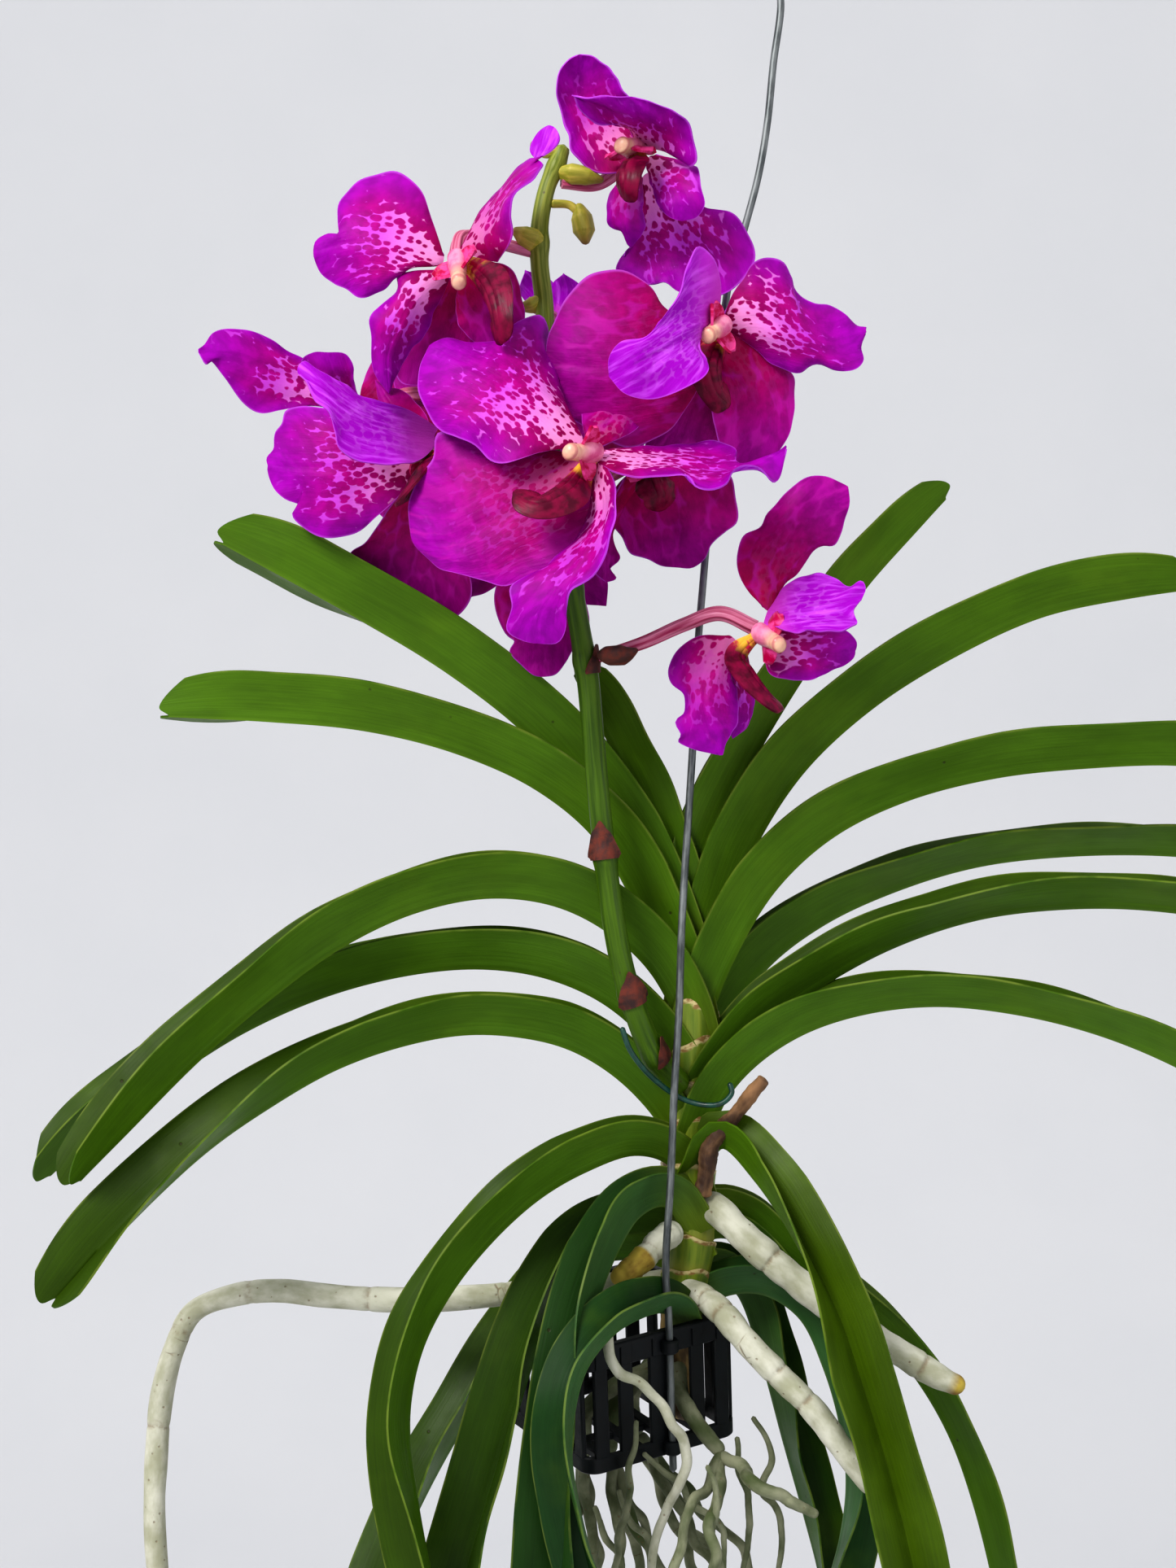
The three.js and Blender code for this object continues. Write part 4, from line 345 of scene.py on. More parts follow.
             right=[(766, 216, -40), (750, 238, -42), (746, 260, -42), (749, 277, -40), (763, 285, -40),
                 (770, 299, -38), (775, 305, -36)]),
            dict(pattern=0.9,
             mid=[(792, 215, -30), (815, 262, -28), (840, 310, -28), (850, 362, -32)],
             left=[(802, 212, -30), (846, 240, -26), (870, 260, -24), (904, 271, -24), (926, 300, -26),
                 (928, 319, -28), (906, 350, -30), (880, 364, -32), (850, 362, -32)],
             right=[(786, 226, -30), (788, 264, -28), (780, 299, -28), (762, 315, -28), (757, 333, -28),
                 (776, 340, -28), (796, 350, -28), (816, 347, -30), (832, 358, -30), (850, 362, -32)]),
        ]),
    "bloom_left": dict(
        facing=(-0.75, -0.6, -0.2),
        column=[(522, 552, -44), (506, 560, -56)],
        lip=[(526, 566, -48), (514, 584, -58), (500, 604, -62), (487, 622, -60)],
        pedicel=[(668, 492, -34), (590, 482, -26), (535, 484, -22), (490, 488, -20), (470, 520, -24),
            (520, 555, -40)],
        petals=[
            dict(pattern=0.3,
             mid=[(532, 538, -44), (480, 526, -62), (430, 506, -74), (395, 479, -78), (366, 459, -74)],
             left=[(538, 526, -42), (500, 503, -54), (455, 493, -64), (425, 473, -70), (395, 456, -74),
                 (374, 443, -74), (366, 452, -74), (366, 459, -74)],
             right=[(536, 548, -46), (516, 565, -60), (485, 570, -72), (440, 566, -78), (414, 552, -80),
                 (409, 530, -80), (402, 506, -80), (387, 493, -80), (378, 470, -78), (366, 459, -74)]),
            dict(pattern=1.0,
             mid=[(514, 562, -40), (460, 572, -46), (410, 576, -48), (365, 575, -44), (329, 572, -38)],
             left=[(518, 574, -42), (490, 610, -44), (462, 636, -44), (437, 657, -42), (405, 662, -42),
                 (376, 652, -40), (359, 632, -38), (369, 621, -40), (352, 611, -40), (338, 598, -38),
                 (330, 581, -38), (329, 572, -38)],
             right=[(512, 548, -40), (470, 530, -42), (420, 510, -42), (385, 500, -42), (352, 504, -38),
                 (347, 520, -38), (336, 530, -36), (335, 551, -38), (328, 562, -36), (329, 572, -38)]),
            dict(pattern=0.1,
             mid=[(522, 574, -38), (515, 630, -30), (506, 690, -22), (500, 760, -14)],
             left=[(532, 574, -36), (552, 640, -28), (576, 700, -20), (578, 737, -16), (548, 765, -12),
                 (500, 764, -14)],
             right=[(512, 580, -38), (478, 625, -32), (452, 662, -26), (428, 686, -22), (440, 720, -18),
                 (468, 748, -14), (500, 764, -14)]),
            dict(pattern=0.1,
             mid=[(520, 545, -38), (500, 520, -42), (482, 498, -44), (461, 467, -40)],
             left=[(512, 550, -38), (490, 525, -42), (470, 500, -42), (461, 467, -40)],
             right=[(530, 545, -38), (524, 512, -40), (500, 484, -40), (470, 474, -40), (461, 467, -40)]),
            dict(pattern=0.2,
             mid=[(526, 540, -34), (528, 505, -20), (518, 475, -12), (500, 445, -8)],
             left=[(516, 542, -34), (500, 512, -20), (486, 480, -12), (484, 455, -8), (500, 440, -8)],
             right=[(540, 545, -34), (560, 512, -20), (556, 475, -12), (532, 445, -8), (500, 440, -8)]),
        ]),
    "bloom_behind_right": dict(
        facing=(0.45, -0.6, -0.65),
        column=[(792, 564, -34), (804, 574, -42)],
        lip=[(796, 574, -34), (806, 592, -40), (812, 610, -40), (812, 628, -36)],
        pedicel=[(686, 610, -34), (740, 590, -24), (790, 560, -30)],
        petals=[
            dict(pattern=0.1,
             mid=[(795, 570, -28), (815, 610, -24), (828, 650, -24), (836, 698, -30)],
             left=[(806, 562, -28), (868, 565, -22), (898, 585, -20), (905, 615, -20), (906, 641, -22),
                 (890, 658, -24), (874, 671, -26), (866, 687, -28), (851, 698, -28), (836, 698, -30)],
             right=[(785, 572, -28), (756, 600, -24), (750, 640, -24), (763, 658, -26), (776, 681, -28),
                 (796, 686, -28), (812, 695, -28), (836, 698, -30)]),
            dict(pattern=0.1,
             mid=[(775, 585, -28), (756, 630, -28), (745, 672, -30), (745, 716, -34)],
             left=[(786, 590, -26), (766, 630, -24), (752, 660, -26), (761, 688, -30), (750, 700, -32),
                 (757, 711, -32), (745, 716, -34)],
             right=[(766, 590, -30), (740, 640, -32), (732, 680, -32), (731, 703, -34), (745, 716, -34)]),
            dict(pattern=0.2,
             mid=[(800, 556, -26), (840, 552, -16), (880, 545, -10), (915, 540, -8)],
             left=[(798, 550, -26), (835, 512, -14), (885, 502, -8), (915, 536, -8)],
             right=[(800, 564, -26), (838, 588, -16), (888, 584, -10), (915, 540, -8)]),
            dict(pattern=0.2,
             mid=[(782, 552, -24), (770, 515, -14), (765, 480, -8), (765, 440, -6)],
             left=[(776, 552, -24), (730, 520, -14), (718, 480, -8), (740, 446, -6), (765, 440, -6)],
             right=[(788, 550, -24), (814, 515, -14), (812, 476, -8), (792, 446, -6), (765, 440, -6)]),
            dict(pattern=0.2,
             mid=[(776, 556, -22), (740, 545, -12), (705, 540, -6), (670, 540, -4)],
             left=[(776, 562, -22), (742, 586, -12), (696, 584, -6), (670, 544, -4)],
             right=[(776, 550, -22), (745, 508, -12), (700, 500, -6), (670, 538, -4)]),
        ]),
    "bloom_behind_low": dict(
        facing=(-0.2, -0.8, -0.55),
        column=[(655, 652, -16), (650, 662, -28)],
        lip=[(655, 664, -18), (652, 682, -28), (652, 700, -30), (654, 716, -28)],
        pedicel=[(690, 650, -34), (680, 640, -20), (655, 650, -12)],
        petals=[
            dict(pattern=0.1,
             mid=[(658, 665, -12), (666, 720, -14), (668, 775, -18), (667, 832, -22)],
             left=[(668, 664, -10), (700, 690, -10), (716, 725, -12), (725, 755, -14), (720, 782, -16),
                 (704, 799, -18), (696, 813, -20), (683, 829, -22), (667, 832, -22)],
             right=[(646, 665, -12), (620, 700, -12), (609, 725, -14), (608, 746, -16), (619, 775, -18),
                 (632, 788, -20), (626, 800, -20), (640, 817, -22), (656, 830, -22), (667, 832, -22)]),
            dict(pattern=0.1,
             mid=[(648, 656, -10), (610, 680, 2), (575, 700, 8), (540, 715, 10)],
             left=[(651, 662, -9), (622, 708, 4), (590, 732, 10), (556, 736, 12), (540, 715, 10)],
             right=[(644, 650, -9), (600, 650, 4), (560, 668, 10), (538, 692, 12), (540, 715, 10)]),
            dict(pattern=0.1,
             mid=[(664, 655, -8), (698, 688, 4), (724, 718, 8), (745, 745, 10)],
             left=[(668, 651, -7), (716, 676, 6), (744, 706, 10), (745, 745, 10)],
             right=[(660, 660, -7), (682, 702, 6), (708, 738, 10), (745, 745, 10)]),
            dict(pattern=0.2,
             mid=[(646, 642, -8), (612, 620, 6), (580, 602, 14), (550, 585, 18)],
             left=[(643, 646, -7), (596, 642, 8), (560, 628, 16), (544, 604, 20), (550, 585, 18)],
             right=[(650, 638, -7), (628, 594, 8), (598, 576, 16), (568, 574, 20), (550, 585, 18)]),
            dict(pattern=0.2,
             mid=[(660, 640, -8), (668, 600, 4), (672, 560, 12), (676, 520, 16)],
             left=[(655, 640, -7), (636, 602, 6), (634, 562, 14), (652, 530, 18), (676, 520, 16)],
             right=[(666, 641, -7), (700, 604, 6), (708, 564, 14), (698, 532, 18), (676, 520, 16)]),
        ]),
    "bloom_behind_left": dict(
        facing=(-0.55, 0.75, 0.0),
        column=[(436, 517, 0), (430, 524, 8)],
        lip=[(434, 524, 2), (428, 540, 10), (422, 556, 12), (418, 570, 8)],
        pedicel=[(664, 440, -32), (550, 470, -12), (436, 515, -4)],
        petals=[
            dict(pattern=0.8,
             mid=[(428, 500, -6), (385, 478, -10), (335, 456, -14), (290, 436, -18), (244, 433, -22)],
             left=[(430, 508, -6), (386, 499, -10), (345, 504, -12), (320, 508, -14), (300, 496, -16),
                 (275, 463, -18), (258, 442, -20), (253, 448, -24), (244, 433, -22)],
             right=[(428, 490, -6), (408, 460, -10), (372, 440, -10), (345, 428, -12), (315, 412, -14),
                 (285, 404, -16), (262, 409, -18), (251, 424, -20), (244, 429, -22)]),
            dict(pattern=0.6,
             mid=[(434, 504, -4), (420, 480, -10), (409, 456, -16), (402, 433, -18)],
             left=[(428, 506, -4), (395, 482, -12), (375, 462, -16), (371, 442, -18), (386, 433, -18),
                 (402, 433, -18)],
             right=[(440, 508, -4), (440, 490, -8), (435, 470, -12), (434, 452, -14), (424, 435, -16),
                 (402, 433, -18)]),
            dict(pattern=0.2,
             mid=[(444, 508, -2), (470, 480, 4), (486, 450, 8), (494, 418, 8)],
             left=[(440, 506, -2), (446, 470, 4), (462, 438, 8), (494, 416, 8)],
             right=[(450, 512, -2), (494, 496, 4), (514, 462, 8), (494, 418, 8)]),
            dict(pattern=0.2,
             mid=[(446, 525, -2), (470, 565, 6), (490, 600, 10), (505, 640, 10)],
             left=[(452, 520, -2), (504, 552, 6), (534, 598, 10), (528, 634, 10), (505, 642, 10)],
             right=[(440, 528, -2), (444, 580, 6), (458, 622, 10), (484, 644, 10), (505, 642, 10)]),
            dict(pattern=0.2,
             mid=[(430, 528, -2), (405, 565, 4), (385, 595, 6), (375, 622, 4)],
             left=[(438, 528, -2), (436, 576, 4), (420, 612, 6), (375, 626, 4)],
             right=[(424, 524, -2), (378, 552, 4), (352, 586, 6), (375, 624, 4)]),
        ]),
    "bloom_behind_top": dict(
        facing=(0.15, 0.95, -0.15),
        column=[(690, 402, 10), (690, 408, 18)],
        lip=[(690, 412, 12), (690, 428, 20), (690, 446, 20), (690, 460, 16)],
        pedicel=[(668, 385, -32), (660, 378, -14), (690, 400, 6)],
        petals=[
            dict(pattern=0.1,
             mid=[(688, 394, 6), (672, 370, 6), (658, 350, 4), (645, 334, 0)],
             left=[(694, 394, 6), (690, 366, 6), (676, 344, 4), (645, 332, 0)],
             right=[(682, 396, 6), (656, 380, 6), (638, 358, 4), (645, 334, 0)]),
            dict(pattern=0.1,
             mid=[(692, 394, 6), (696, 375, 6), (698, 355, 4), (692, 337, 0)],
             left=[(698, 394, 6), (722, 378, 6), (714, 352, 4), (692, 336, 0)],
             right=[(686, 394, 6), (672, 375, 6), (678, 350, 4), (692, 337, 0)]),
            dict(pattern=0.5,
             mid=[(700, 400, 6), (745, 405, 10), (790, 415, 10), (830, 430, 6)],
             left=[(698, 406, 6), (735, 446, 10), (788, 462, 10), (830, 434, 6)],
             right=[(698, 394, 6), (745, 358, 10), (800, 366, 10), (830, 428, 6)]),
            dict(pattern=0.2,
             mid=[(696, 410, 6), (720, 450, 10), (735, 490, 10), (745, 530, 8)],
             left=[(690, 412, 6), (676, 460, 10), (690, 508, 10), (745, 534, 8)],
             right=[(702, 406, 6), (764, 438, 10), (788, 486, 10), (745, 532, 8)]),
            dict(pattern=0.2,
             mid=[(684, 410, 6), (660, 445, 10), (640, 480, 12), (620, 515, 10)],
             left=[(678, 406, 6), (618, 432, 10), (592, 478, 12), (620, 518, 10)],
             right=[(692, 412, 6), (702, 456, 10), (686, 504, 12), (620, 517, 10)]),
        ]),
}

# The hanger wire above the basket, its seat on the front wall, its hook's approach and bend in degrees,
# and the clip that ties the spike to the wire
WIRE = [(818, 1560, -31), (824, 1450, -30), (829, 1330, -28), (834, 1250, -27), (838, 1130, -25),
        (846, 1000, -23), (851, 920, -21), (857, 800, -19), (866, 690, -17), (876, 560, -14),
        (884, 450, -12), (896, 345, -10), (915, 280, -8), (932, 215, -7), (943, 150, -5), (950, 80, -3),
        (959, 0, -1)]
WIRE_RADIUS = 1.3
WIRE_SEAT = dict(along=2, out=-32.8, levels=[-52, -44, -23, -4, 6])
HOOK = dict(radius=8.3, approach=[(-3.6, 0, -24), (-7.4, 0, -15)], start=180, stop=-30)
HOOK_STEP = 15
CLIP = [(764, 1262, -33), (773, 1288, -34), (788, 1310, -33), (808, 1330, -28), (838, 1350, -24.5),
        (868, 1358, -26), (888, 1355, -28), (899, 1343, -28), (896, 1330, -27)]

# The basket's own axes: x along a wall, z up, the rim's top at z = 0. A slat is its place along the
# wall and its width.
BASKET = dict(
    width=62, height=46, wall=2.2, rim=9, base=6, corner=6,
    top=(-60.4, -3.6, -494.1), yaw=30, tip=10, lean=-2,
    slats=[(-24.5, 5.6), (-14.5, 5.6), (0, 10), (14.5, 5.6), (24.5, 5.6)],
    bars=[-20, -6.5, 6.5, 20], cross_bar=-8,
)

STEM = dict(
    path=[(842, 1745, 0), (838, 1690, 0), (834, 1640, 0), (838, 1590, 0), (848, 1540, 0), (850, 1490, 0),
          (846, 1430, 0), (848, 1370, 0), (850, 1300, 0), (848, 1230, 0), (845, 1170, 0)],
    radii=[6, 6, 6.5, 7, 7, 7.5, 8.5, 9.5, 9.5, 7.5, 4],
)
# Leaf sheaths that clasp the stem: foot, length in millimetres, and side of the open seam in degrees
SHEATHS = [
    ((848, 1260, 0), 24, 35), ((849, 1305, 0), 24, -30), ((849, 1350, 0), 23, 30),
    ((847, 1395, 0), 22, -35), ((846, 1440, 0), 21, 25), ((849, 1480, 0), 17, -30),
    ((849, 1520, 0), 15, 40), ((843, 1560, 0), 14, -25), ((837, 1600, 0), 14, 30),
]
DEAD_SPIKE = dict(
    path=[(862, 1470, -12), (868, 1440, -13), (872, 1410, -14), (880, 1396, -15), (905, 1368, -18),
          (925, 1342, -20), (940, 1325, -21)],
    radii=[3.2, 3, 3.4, 3.2, 2.6, 2.6, 2.4],
)
SPIKE = dict(
    path=[(838, 1335, -10), (818, 1315, -18), (800, 1290, -24), (780, 1240, -28), (765, 1190, -30),
          (752, 1120, -31), (742, 1040, -31), (733, 950, -31), (727, 880, -31), (722, 830, -31),
          (712, 770, -32), (703, 720, -34), (690, 650, -35), (678, 560, -35), (670, 470, -34),
          (669, 380, -33), (663, 325, -32), (663, 280, -32), (672, 232, -32), (686, 198, -32),
          (693, 178, -32)],
    radii=[4.6, 4.4, 4.2, 4, 4, 3.9, 3.8, 3.8, 3.8, 3.9, 3.7, 3.5, 3.3, 3.2, 3.1, 3, 3.1, 3.2, 3.1, 2.9,
           2.6],
    nodes=[(742, 1052, -31), (765, 1225, -30), (800, 1305, -24), (730, 812, -31), (703, 720, -34),
           (671, 470, -34), (663, 300, -32), (684, 205, -32)],
)
# Dry brown bracts that clasp the scape: foot, length in millimetres, and side in degrees
BRACTS = [((744, 1056, -31), 13, -20), ((768, 1236, -29), 12, 10), ((803, 1312, -24), 9, 60),
          ((733, 826, -31), 10, 60)]
# Fleshy bracts, buds and bare stalks at the top, each a spindle: path and radii
BUDS = [
    dict(path=[(668, 300, -32), (650, 292, -34), (630, 282, -35)], radii=[2.2, 4.2, 3.4, 1.0]),
    dict(path=[(684, 212, -32), (712, 214, -34), (742, 222, -33)], radii=[1.8, 3.6, 3.0, 0.8]),
    dict(path=[(676, 250, -32), (700, 252, -30), (712, 262, -30)], radii=[1.5, 1.4, 1.5]),
    dict(path=[(710, 250, -30), (716, 272, -30), (720, 301, -30)], radii=[1.2, 3.6, 3.8, 0.9]),
    dict(path=[(690, 185, -32), (672, 186, -32), (652, 176, -31)], radii=[1.6, 2.4, 1.0]),
    dict(path=[(666, 365, -33), (655, 374, -33), (640, 378, -32)], radii=[1.8, 3.0, 1.4]),
]
# The bract below the lowest pedicel, a spindle: path and radii
PEDICEL_BRACT = dict(
    path=[(736, 806, -35), (750, 806, -40), (770, 804, -42), (784, 798, -42)],
    radii=[1.2, 3.4, 3.6, 0.6],
)

# Aerial roots: path, radii in millimetres
ROOTS = {
    "root_left": dict(
        path=[(832, 1572, 3), (790, 1578, 8), (740, 1580, 9), (680, 1584, 8), (600, 1592, 6),
              (520, 1597, 6), (450, 1596, 8), (400, 1592, 10), (345, 1586, 12), (290, 1591, 14),
              (238, 1612, 16), (215, 1655, 14), (200, 1710, 12), (193, 1780, 10), (190, 1850, 8),
              (193, 1920, 8), (202, 1990, 8), (218, 2060, 8)],
        radii=[4.4, 4.4, 4.4, 4.4, 4.4, 4.4, 4.4, 4.4, 4.2, 4, 3.9, 4, 4.1, 4.2, 4, 3.8, 3.6, 3],
        creases=[0.2, 0.36, 0.5, 0.6, 0.71], tip=1.2,
    ),
    "root_right": dict(
        path=[(862, 1475, -4), (885, 1490, -10), (915, 1520, -16), (955, 1555, -20), (1005, 1595, -22),
              (1060, 1635, -24), (1110, 1665, -24), (1150, 1690, -24), (1185, 1706, -24)],
        radii=[5.2, 5.4, 5.3, 5.2, 5.1, 5, 4.9, 4.6, 3.6],
        creases=[0.3, 0.85], tip=0.94,
    ),
    "root_front": dict(
        path=[(840, 1588, -6), (860, 1592, -16), (886, 1612, -28), (920, 1652, -38), (960, 1693, -42),
              (1000, 1733, -45), (1035, 1780, -46), (1060, 1810, -46), (1085, 1838, -44),
              (1105, 1870, -40)],
        radii=[4.6, 4.8, 4.6, 4.5, 4.4, 4.3, 4.2, 4.2, 4.1, 3.4],
        creases=[0.14, 0.22, 0.45, 0.56, 0.86], tip=1.2,
    ),
    "root_stub": dict(
        path=[(832, 1512, -6), (815, 1522, -14), (795, 1542, -20), (775, 1560, -24), (752, 1575, -26)],
        radii=[4.6, 4.8, 4.6, 4.4, 3.4],
        creases=[0.5], tip=0.56,
    ),
}
THIN_ROOT = [(836, 1580, -6), (800, 1594, -20), (766, 1616, -38), (744, 1640, -54), (748, 1668, -57),
             (762, 1684, -56), (785, 1697, -54), (805, 1722, -52), (828, 1748, -50), (842, 1778, -46),
             (838, 1815, -42), (822, 1850, -38), (806, 1890, -36), (800, 1940, -34), (806, 2010, -32)]
# Branching roots: a trunk in the basket's axes, strands by their ends in the sighting grid with a radius,
# and finer roots by their whole path
BUNCHES = {
    "roots_hanging_1": dict(
        trunk=[(18, -3, -20), (10, 0, -30), (1, 4, -40), (0, 5, -48), (-2, 4, -58)],
        strands=[((812, 1960, -6), (806, 2210, -2), 1.9), ((768, 1980, -14), (752, 2160, -12), 1.7),
                 ((790, 1950, 14), (778, 2290, 18), 1.8), ((840, 1990, 20), (852, 2140, 24), 1.6)],
        fine=[[(790, 1785, -30), (822, 1812, -26), (850, 1845, -20), (885, 1875, -16), (890, 1935, -12)],
              [(760, 1830, -22), (775, 1868, -20), (800, 1905, -16), (818, 1990, -10)]],
    ),
    "roots_hanging_2": dict(
        trunk=[(20, -3, -24), (16, 8, -34), (13, 12, -42), (13, 12, -50), (15, 12, -58)],
        strands=[((885, 1950, 6), (880, 2180, 4), 1.9), ((925, 1930, 18), (938, 2120, 16), 1.7),
                 ((868, 1970, 34), (872, 2330, 40), 1.8), ((915, 1990, 40), (905, 2240, 44), 1.6)],
        fine=[[(925, 1740, 0), (948, 1790, -2), (938, 1835, -4), (960, 1870, -2), (952, 1960, 4)],
              [(905, 1765, -14), (912, 1820, -12), (922, 1872, -8), (908, 1950, -2)]],
    ),
    "roots_hanging_3": dict(
        trunk=[(14, -4, -26), (0, -1, -30), (-12, 2, -38), (-13, 3, -48), (-14, 3, -58)],
        strands=[((735, 1960, 0), (728, 2260, -4), 1.9), ((700, 1950, 14), (690, 2130, 16), 1.7),
                 ((745, 1990, 30), (738, 2200, 34), 1.7)],
        fine=[[(730, 1850, -10), (742, 1880, -12), (756, 1905, -10), (772, 1960, -6)],
              [(782, 1745, -40), (776, 1800, -36), (768, 1860, -30), (754, 1930, -22), (748, 2010, -16)]],
    ),
    "roots_hanging_4": dict(
        trunk=[(17, -14, -22), (11, -24, -27), (9.7, -31, -31), (12, -38, -38), (16, -43, -45)],
        strands=[((935, 1826, -50), (1005, 1862, -46), 2.3), ((875, 1880, -52), (880, 2050, -44), 1.9),
                 ((838, 1880, -54), (826, 2080, -50), 1.7)],
        fine=[[(868, 1800, -50), (884, 1842, -50), (872, 1880, -48), (888, 1930, -46), (884, 2000, -42)]],
    ),
}

# Shapes


def place(points):
    """Positions in metres of points of the sighting grid."""
    p = np.asarray(points, float)
    scale = STEP * (EYE + p[..., 2]) / EYE
    x = VIEW_CENTRE[0] + (p[..., 0] - GRID_CENTRE[0]) * scale
    z = VIEW_CENTRE[1] + (GRID_CENTRE[1] - p[..., 1]) * scale
    return np.stack([x, p[..., 2], z], -1) * MM


def unit(v):
    return v / np.maximum(np.linalg.norm(v, axis=-1, keepdims=True), 1e-12)


def squared(v, axis):
    """The part of v at right angles to axis, at unit length."""
    return unit(v - np.sum(v * axis, -1, keepdims=True) * axis)


FINE_STEPS = 32


def smooth_line(points, count):
    """Even points of a centripetal curve through the points, and its length."""
    p = np.asarray(points, float)
    q = np.vstack([2 * p[0] - p[1], p, 2 * p[-1] - p[-2]])
    gaps = np.maximum(np.linalg.norm(np.diff(q, axis=0), axis=1) ** 0.5, 1e-9)
    f = np.linspace(0, 1, FINE_STEPS, endpoint=False)[:, None]
    fine = []
    for i in range(len(p) - 1):
        a, b, c, d = q[i:i + 4]
        g, h, k = gaps[i:i + 3]
        t = ((b - a) / g - (c - a) / (g + h) + (c - b) / h) * h
        w = ((c - b) / h - (d - b) / (h + k) + (d - c) / k) * h
        fine.append(b + t * f + (3 * (c - b) - 2 * t - w) * f ** 2 + (2 * (b - c) + t + w) * f ** 3)
    fine = np.vstack([*fine, p[-1:]])
    run = np.r_[0, np.cumsum(np.linalg.norm(np.diff(fine, axis=0), axis=1))]
    at = np.linspace(0, run[-1], count)
    return np.stack([np.interp(at, run, fine[:, k]) for k in range(3)], -1), run[-1]


def tangents(line):
    return unit(np.gradient(line, axis=0))


def carried(line, start):
    """A direction square to the line, carried along it without twist."""
    along = tangents(line)
    out = np.zeros_like(line)
    v = np.asarray(start, float)
    for i, t in enumerate(along):
        v = squared(v, t)
        out[i] = v
    return along, out


def ramp(values, u):
    if len(values) == 1:
        return np.full(np.shape(u), float(values[0]))
    return np.interp(u, np.linspace(0, 1, len(values)), values)


def sample(table, s):
    """Rows of a table at shares s of its length."""
    at = np.clip(s, 0, 1) * (len(table) - 1)
    i = np.minimum(at.astype(int), len(table) - 2)
    f = (at - i)[..., None]
    return table[i] * (1 - f) + table[i + 1] * f


def eased(x, low, high):
    t = np.clip((x - low) / (high - low), 0, 1)
    return t * t * (3 - 2 * t)


SOFT_EDGE, PETAL_EDGE, HARD_EDGE = 60, 70, 40


def mesh_object(name, verts, faces, material, marks=(), sharp=SOFT_EDGE):
    """A smooth piece with its marks, named values at each vertex. Edges past sharp degrees stay sharp."""
    mesh = bpy.data.meshes.new(name)
    mesh.from_pydata(np.asarray(verts).tolist(), [], faces)
    mesh.update()
    for key, values in dict(marks).items():
        values = np.asarray(values, np.float32)
        kind, field = ("FLOAT", "value") if values.ndim == 1 else ("FLOAT_VECTOR", "vector")
        mesh.attributes.new(key, kind, "POINT").data.foreach_set(field, values.ravel())
    mesh.polygons.foreach_set("use_smooth", [True] * len(mesh.polygons))
    mesh.set_sharp_from_angle(angle=math.radians(sharp))
    mesh.materials.append(material)
    made = bpy.data.objects.new(name, mesh)
    bpy.context.scene.collection.objects.link(made)
    return made


class Stock:
    """Vertices, faces and marks of one piece, gathered part by part."""

    def __init__(self):
        self.verts, self.faces, self.marks, self.count = [], [], {}, 0

    def add(self, verts, faces, **marks):
        verts = np.asarray(verts).reshape(-1, 3)
        self.faces += [tuple(k + self.count for k in face) for face in faces]
        self.verts.append(verts)
        for key, value in marks.items():
            value = np.asarray(value, float)
            wide = value.ndim and value.shape[-1] == 3 and value.size != len(verts)
            shape = (len(verts), 3) if wide or value.shape == (3,) else (len(verts),)
            self.marks.setdefault(key, []).append(np.broadcast_to(value, shape) if value.ndim < 2
                                                  else value.reshape(shape))
        self.count += len(verts)

    def build(self, name, material, sharp=SOFT_EDGE):
        marks = {key: np.concatenate(value) for key, value in self.marks.items()}
        return mesh_object(name, np.concatenate(self.verts), self.faces, material, marks, sharp)


def blade_faces(rows, cols):
    """Faces of a closed blade: an upper grid, then a lower grid of the same size."""
    low = rows * cols
    faces = []
    for i in range(rows - 1):
        for j in range(cols - 1):
            a, b, c, d = i * cols + j, i * cols + j + 1, (i + 1) * cols + j + 1, (i + 1) * cols + j
            faces.append((a, d, c, b))
            faces.append((low + a, low + b, low + c, low + d))
    edge = [i * cols for i in range(rows)]
    edge += [(rows - 1) * cols + j for j in range(1, cols)]
    edge += [i * cols + cols - 1 for i in range(rows - 2, -1, -1)]
    edge += list(range(cols - 2, 0, -1))
    for a, b in zip(edge, edge[1:] + edge[:1]):
        faces.append((a, low + a, low + b, b))
    return faces


def outward(verts, faces):
    """The faces, turned so that the closed body's volume is positive."""
    v = np.asarray(verts).reshape(-1, 3)
    total = 0.0
    for size in {len(face) for face in faces}:
        rings = np.array([face for face in faces if len(face) == size])
        for k in range(1, size - 1):
            total += np.sum(v[rings[:, 0]] * np.cross(v[rings[:, k]], v[rings[:, k + 1]]))
    return faces if total > 0 else [face[::-1] for face in faces]


def blade(stock, middle, normal, thick, **marks):
    """Adds a closed blade around a middle surface; face is 1 on its upper side and 0 below."""
    rows, cols = middle.shape[:2]
    shift = normal * (np.asarray(thick) / 2)[..., None]
    verts = np.concatenate([(middle + shift).reshape(-1, 3), (middle - shift).reshape(-1, 3)])
    both = {key: np.concatenate([v.reshape(rows * cols, -1)] * 2).squeeze() for key, v in marks.items()}
    both["face"] = np.r_[np.ones(rows * cols), np.zeros(rows * cols)]
    stock.add(verts, outward(verts, blade_faces(rows, cols)), **both)


BAR_FACE = (0, -1, 0.3)


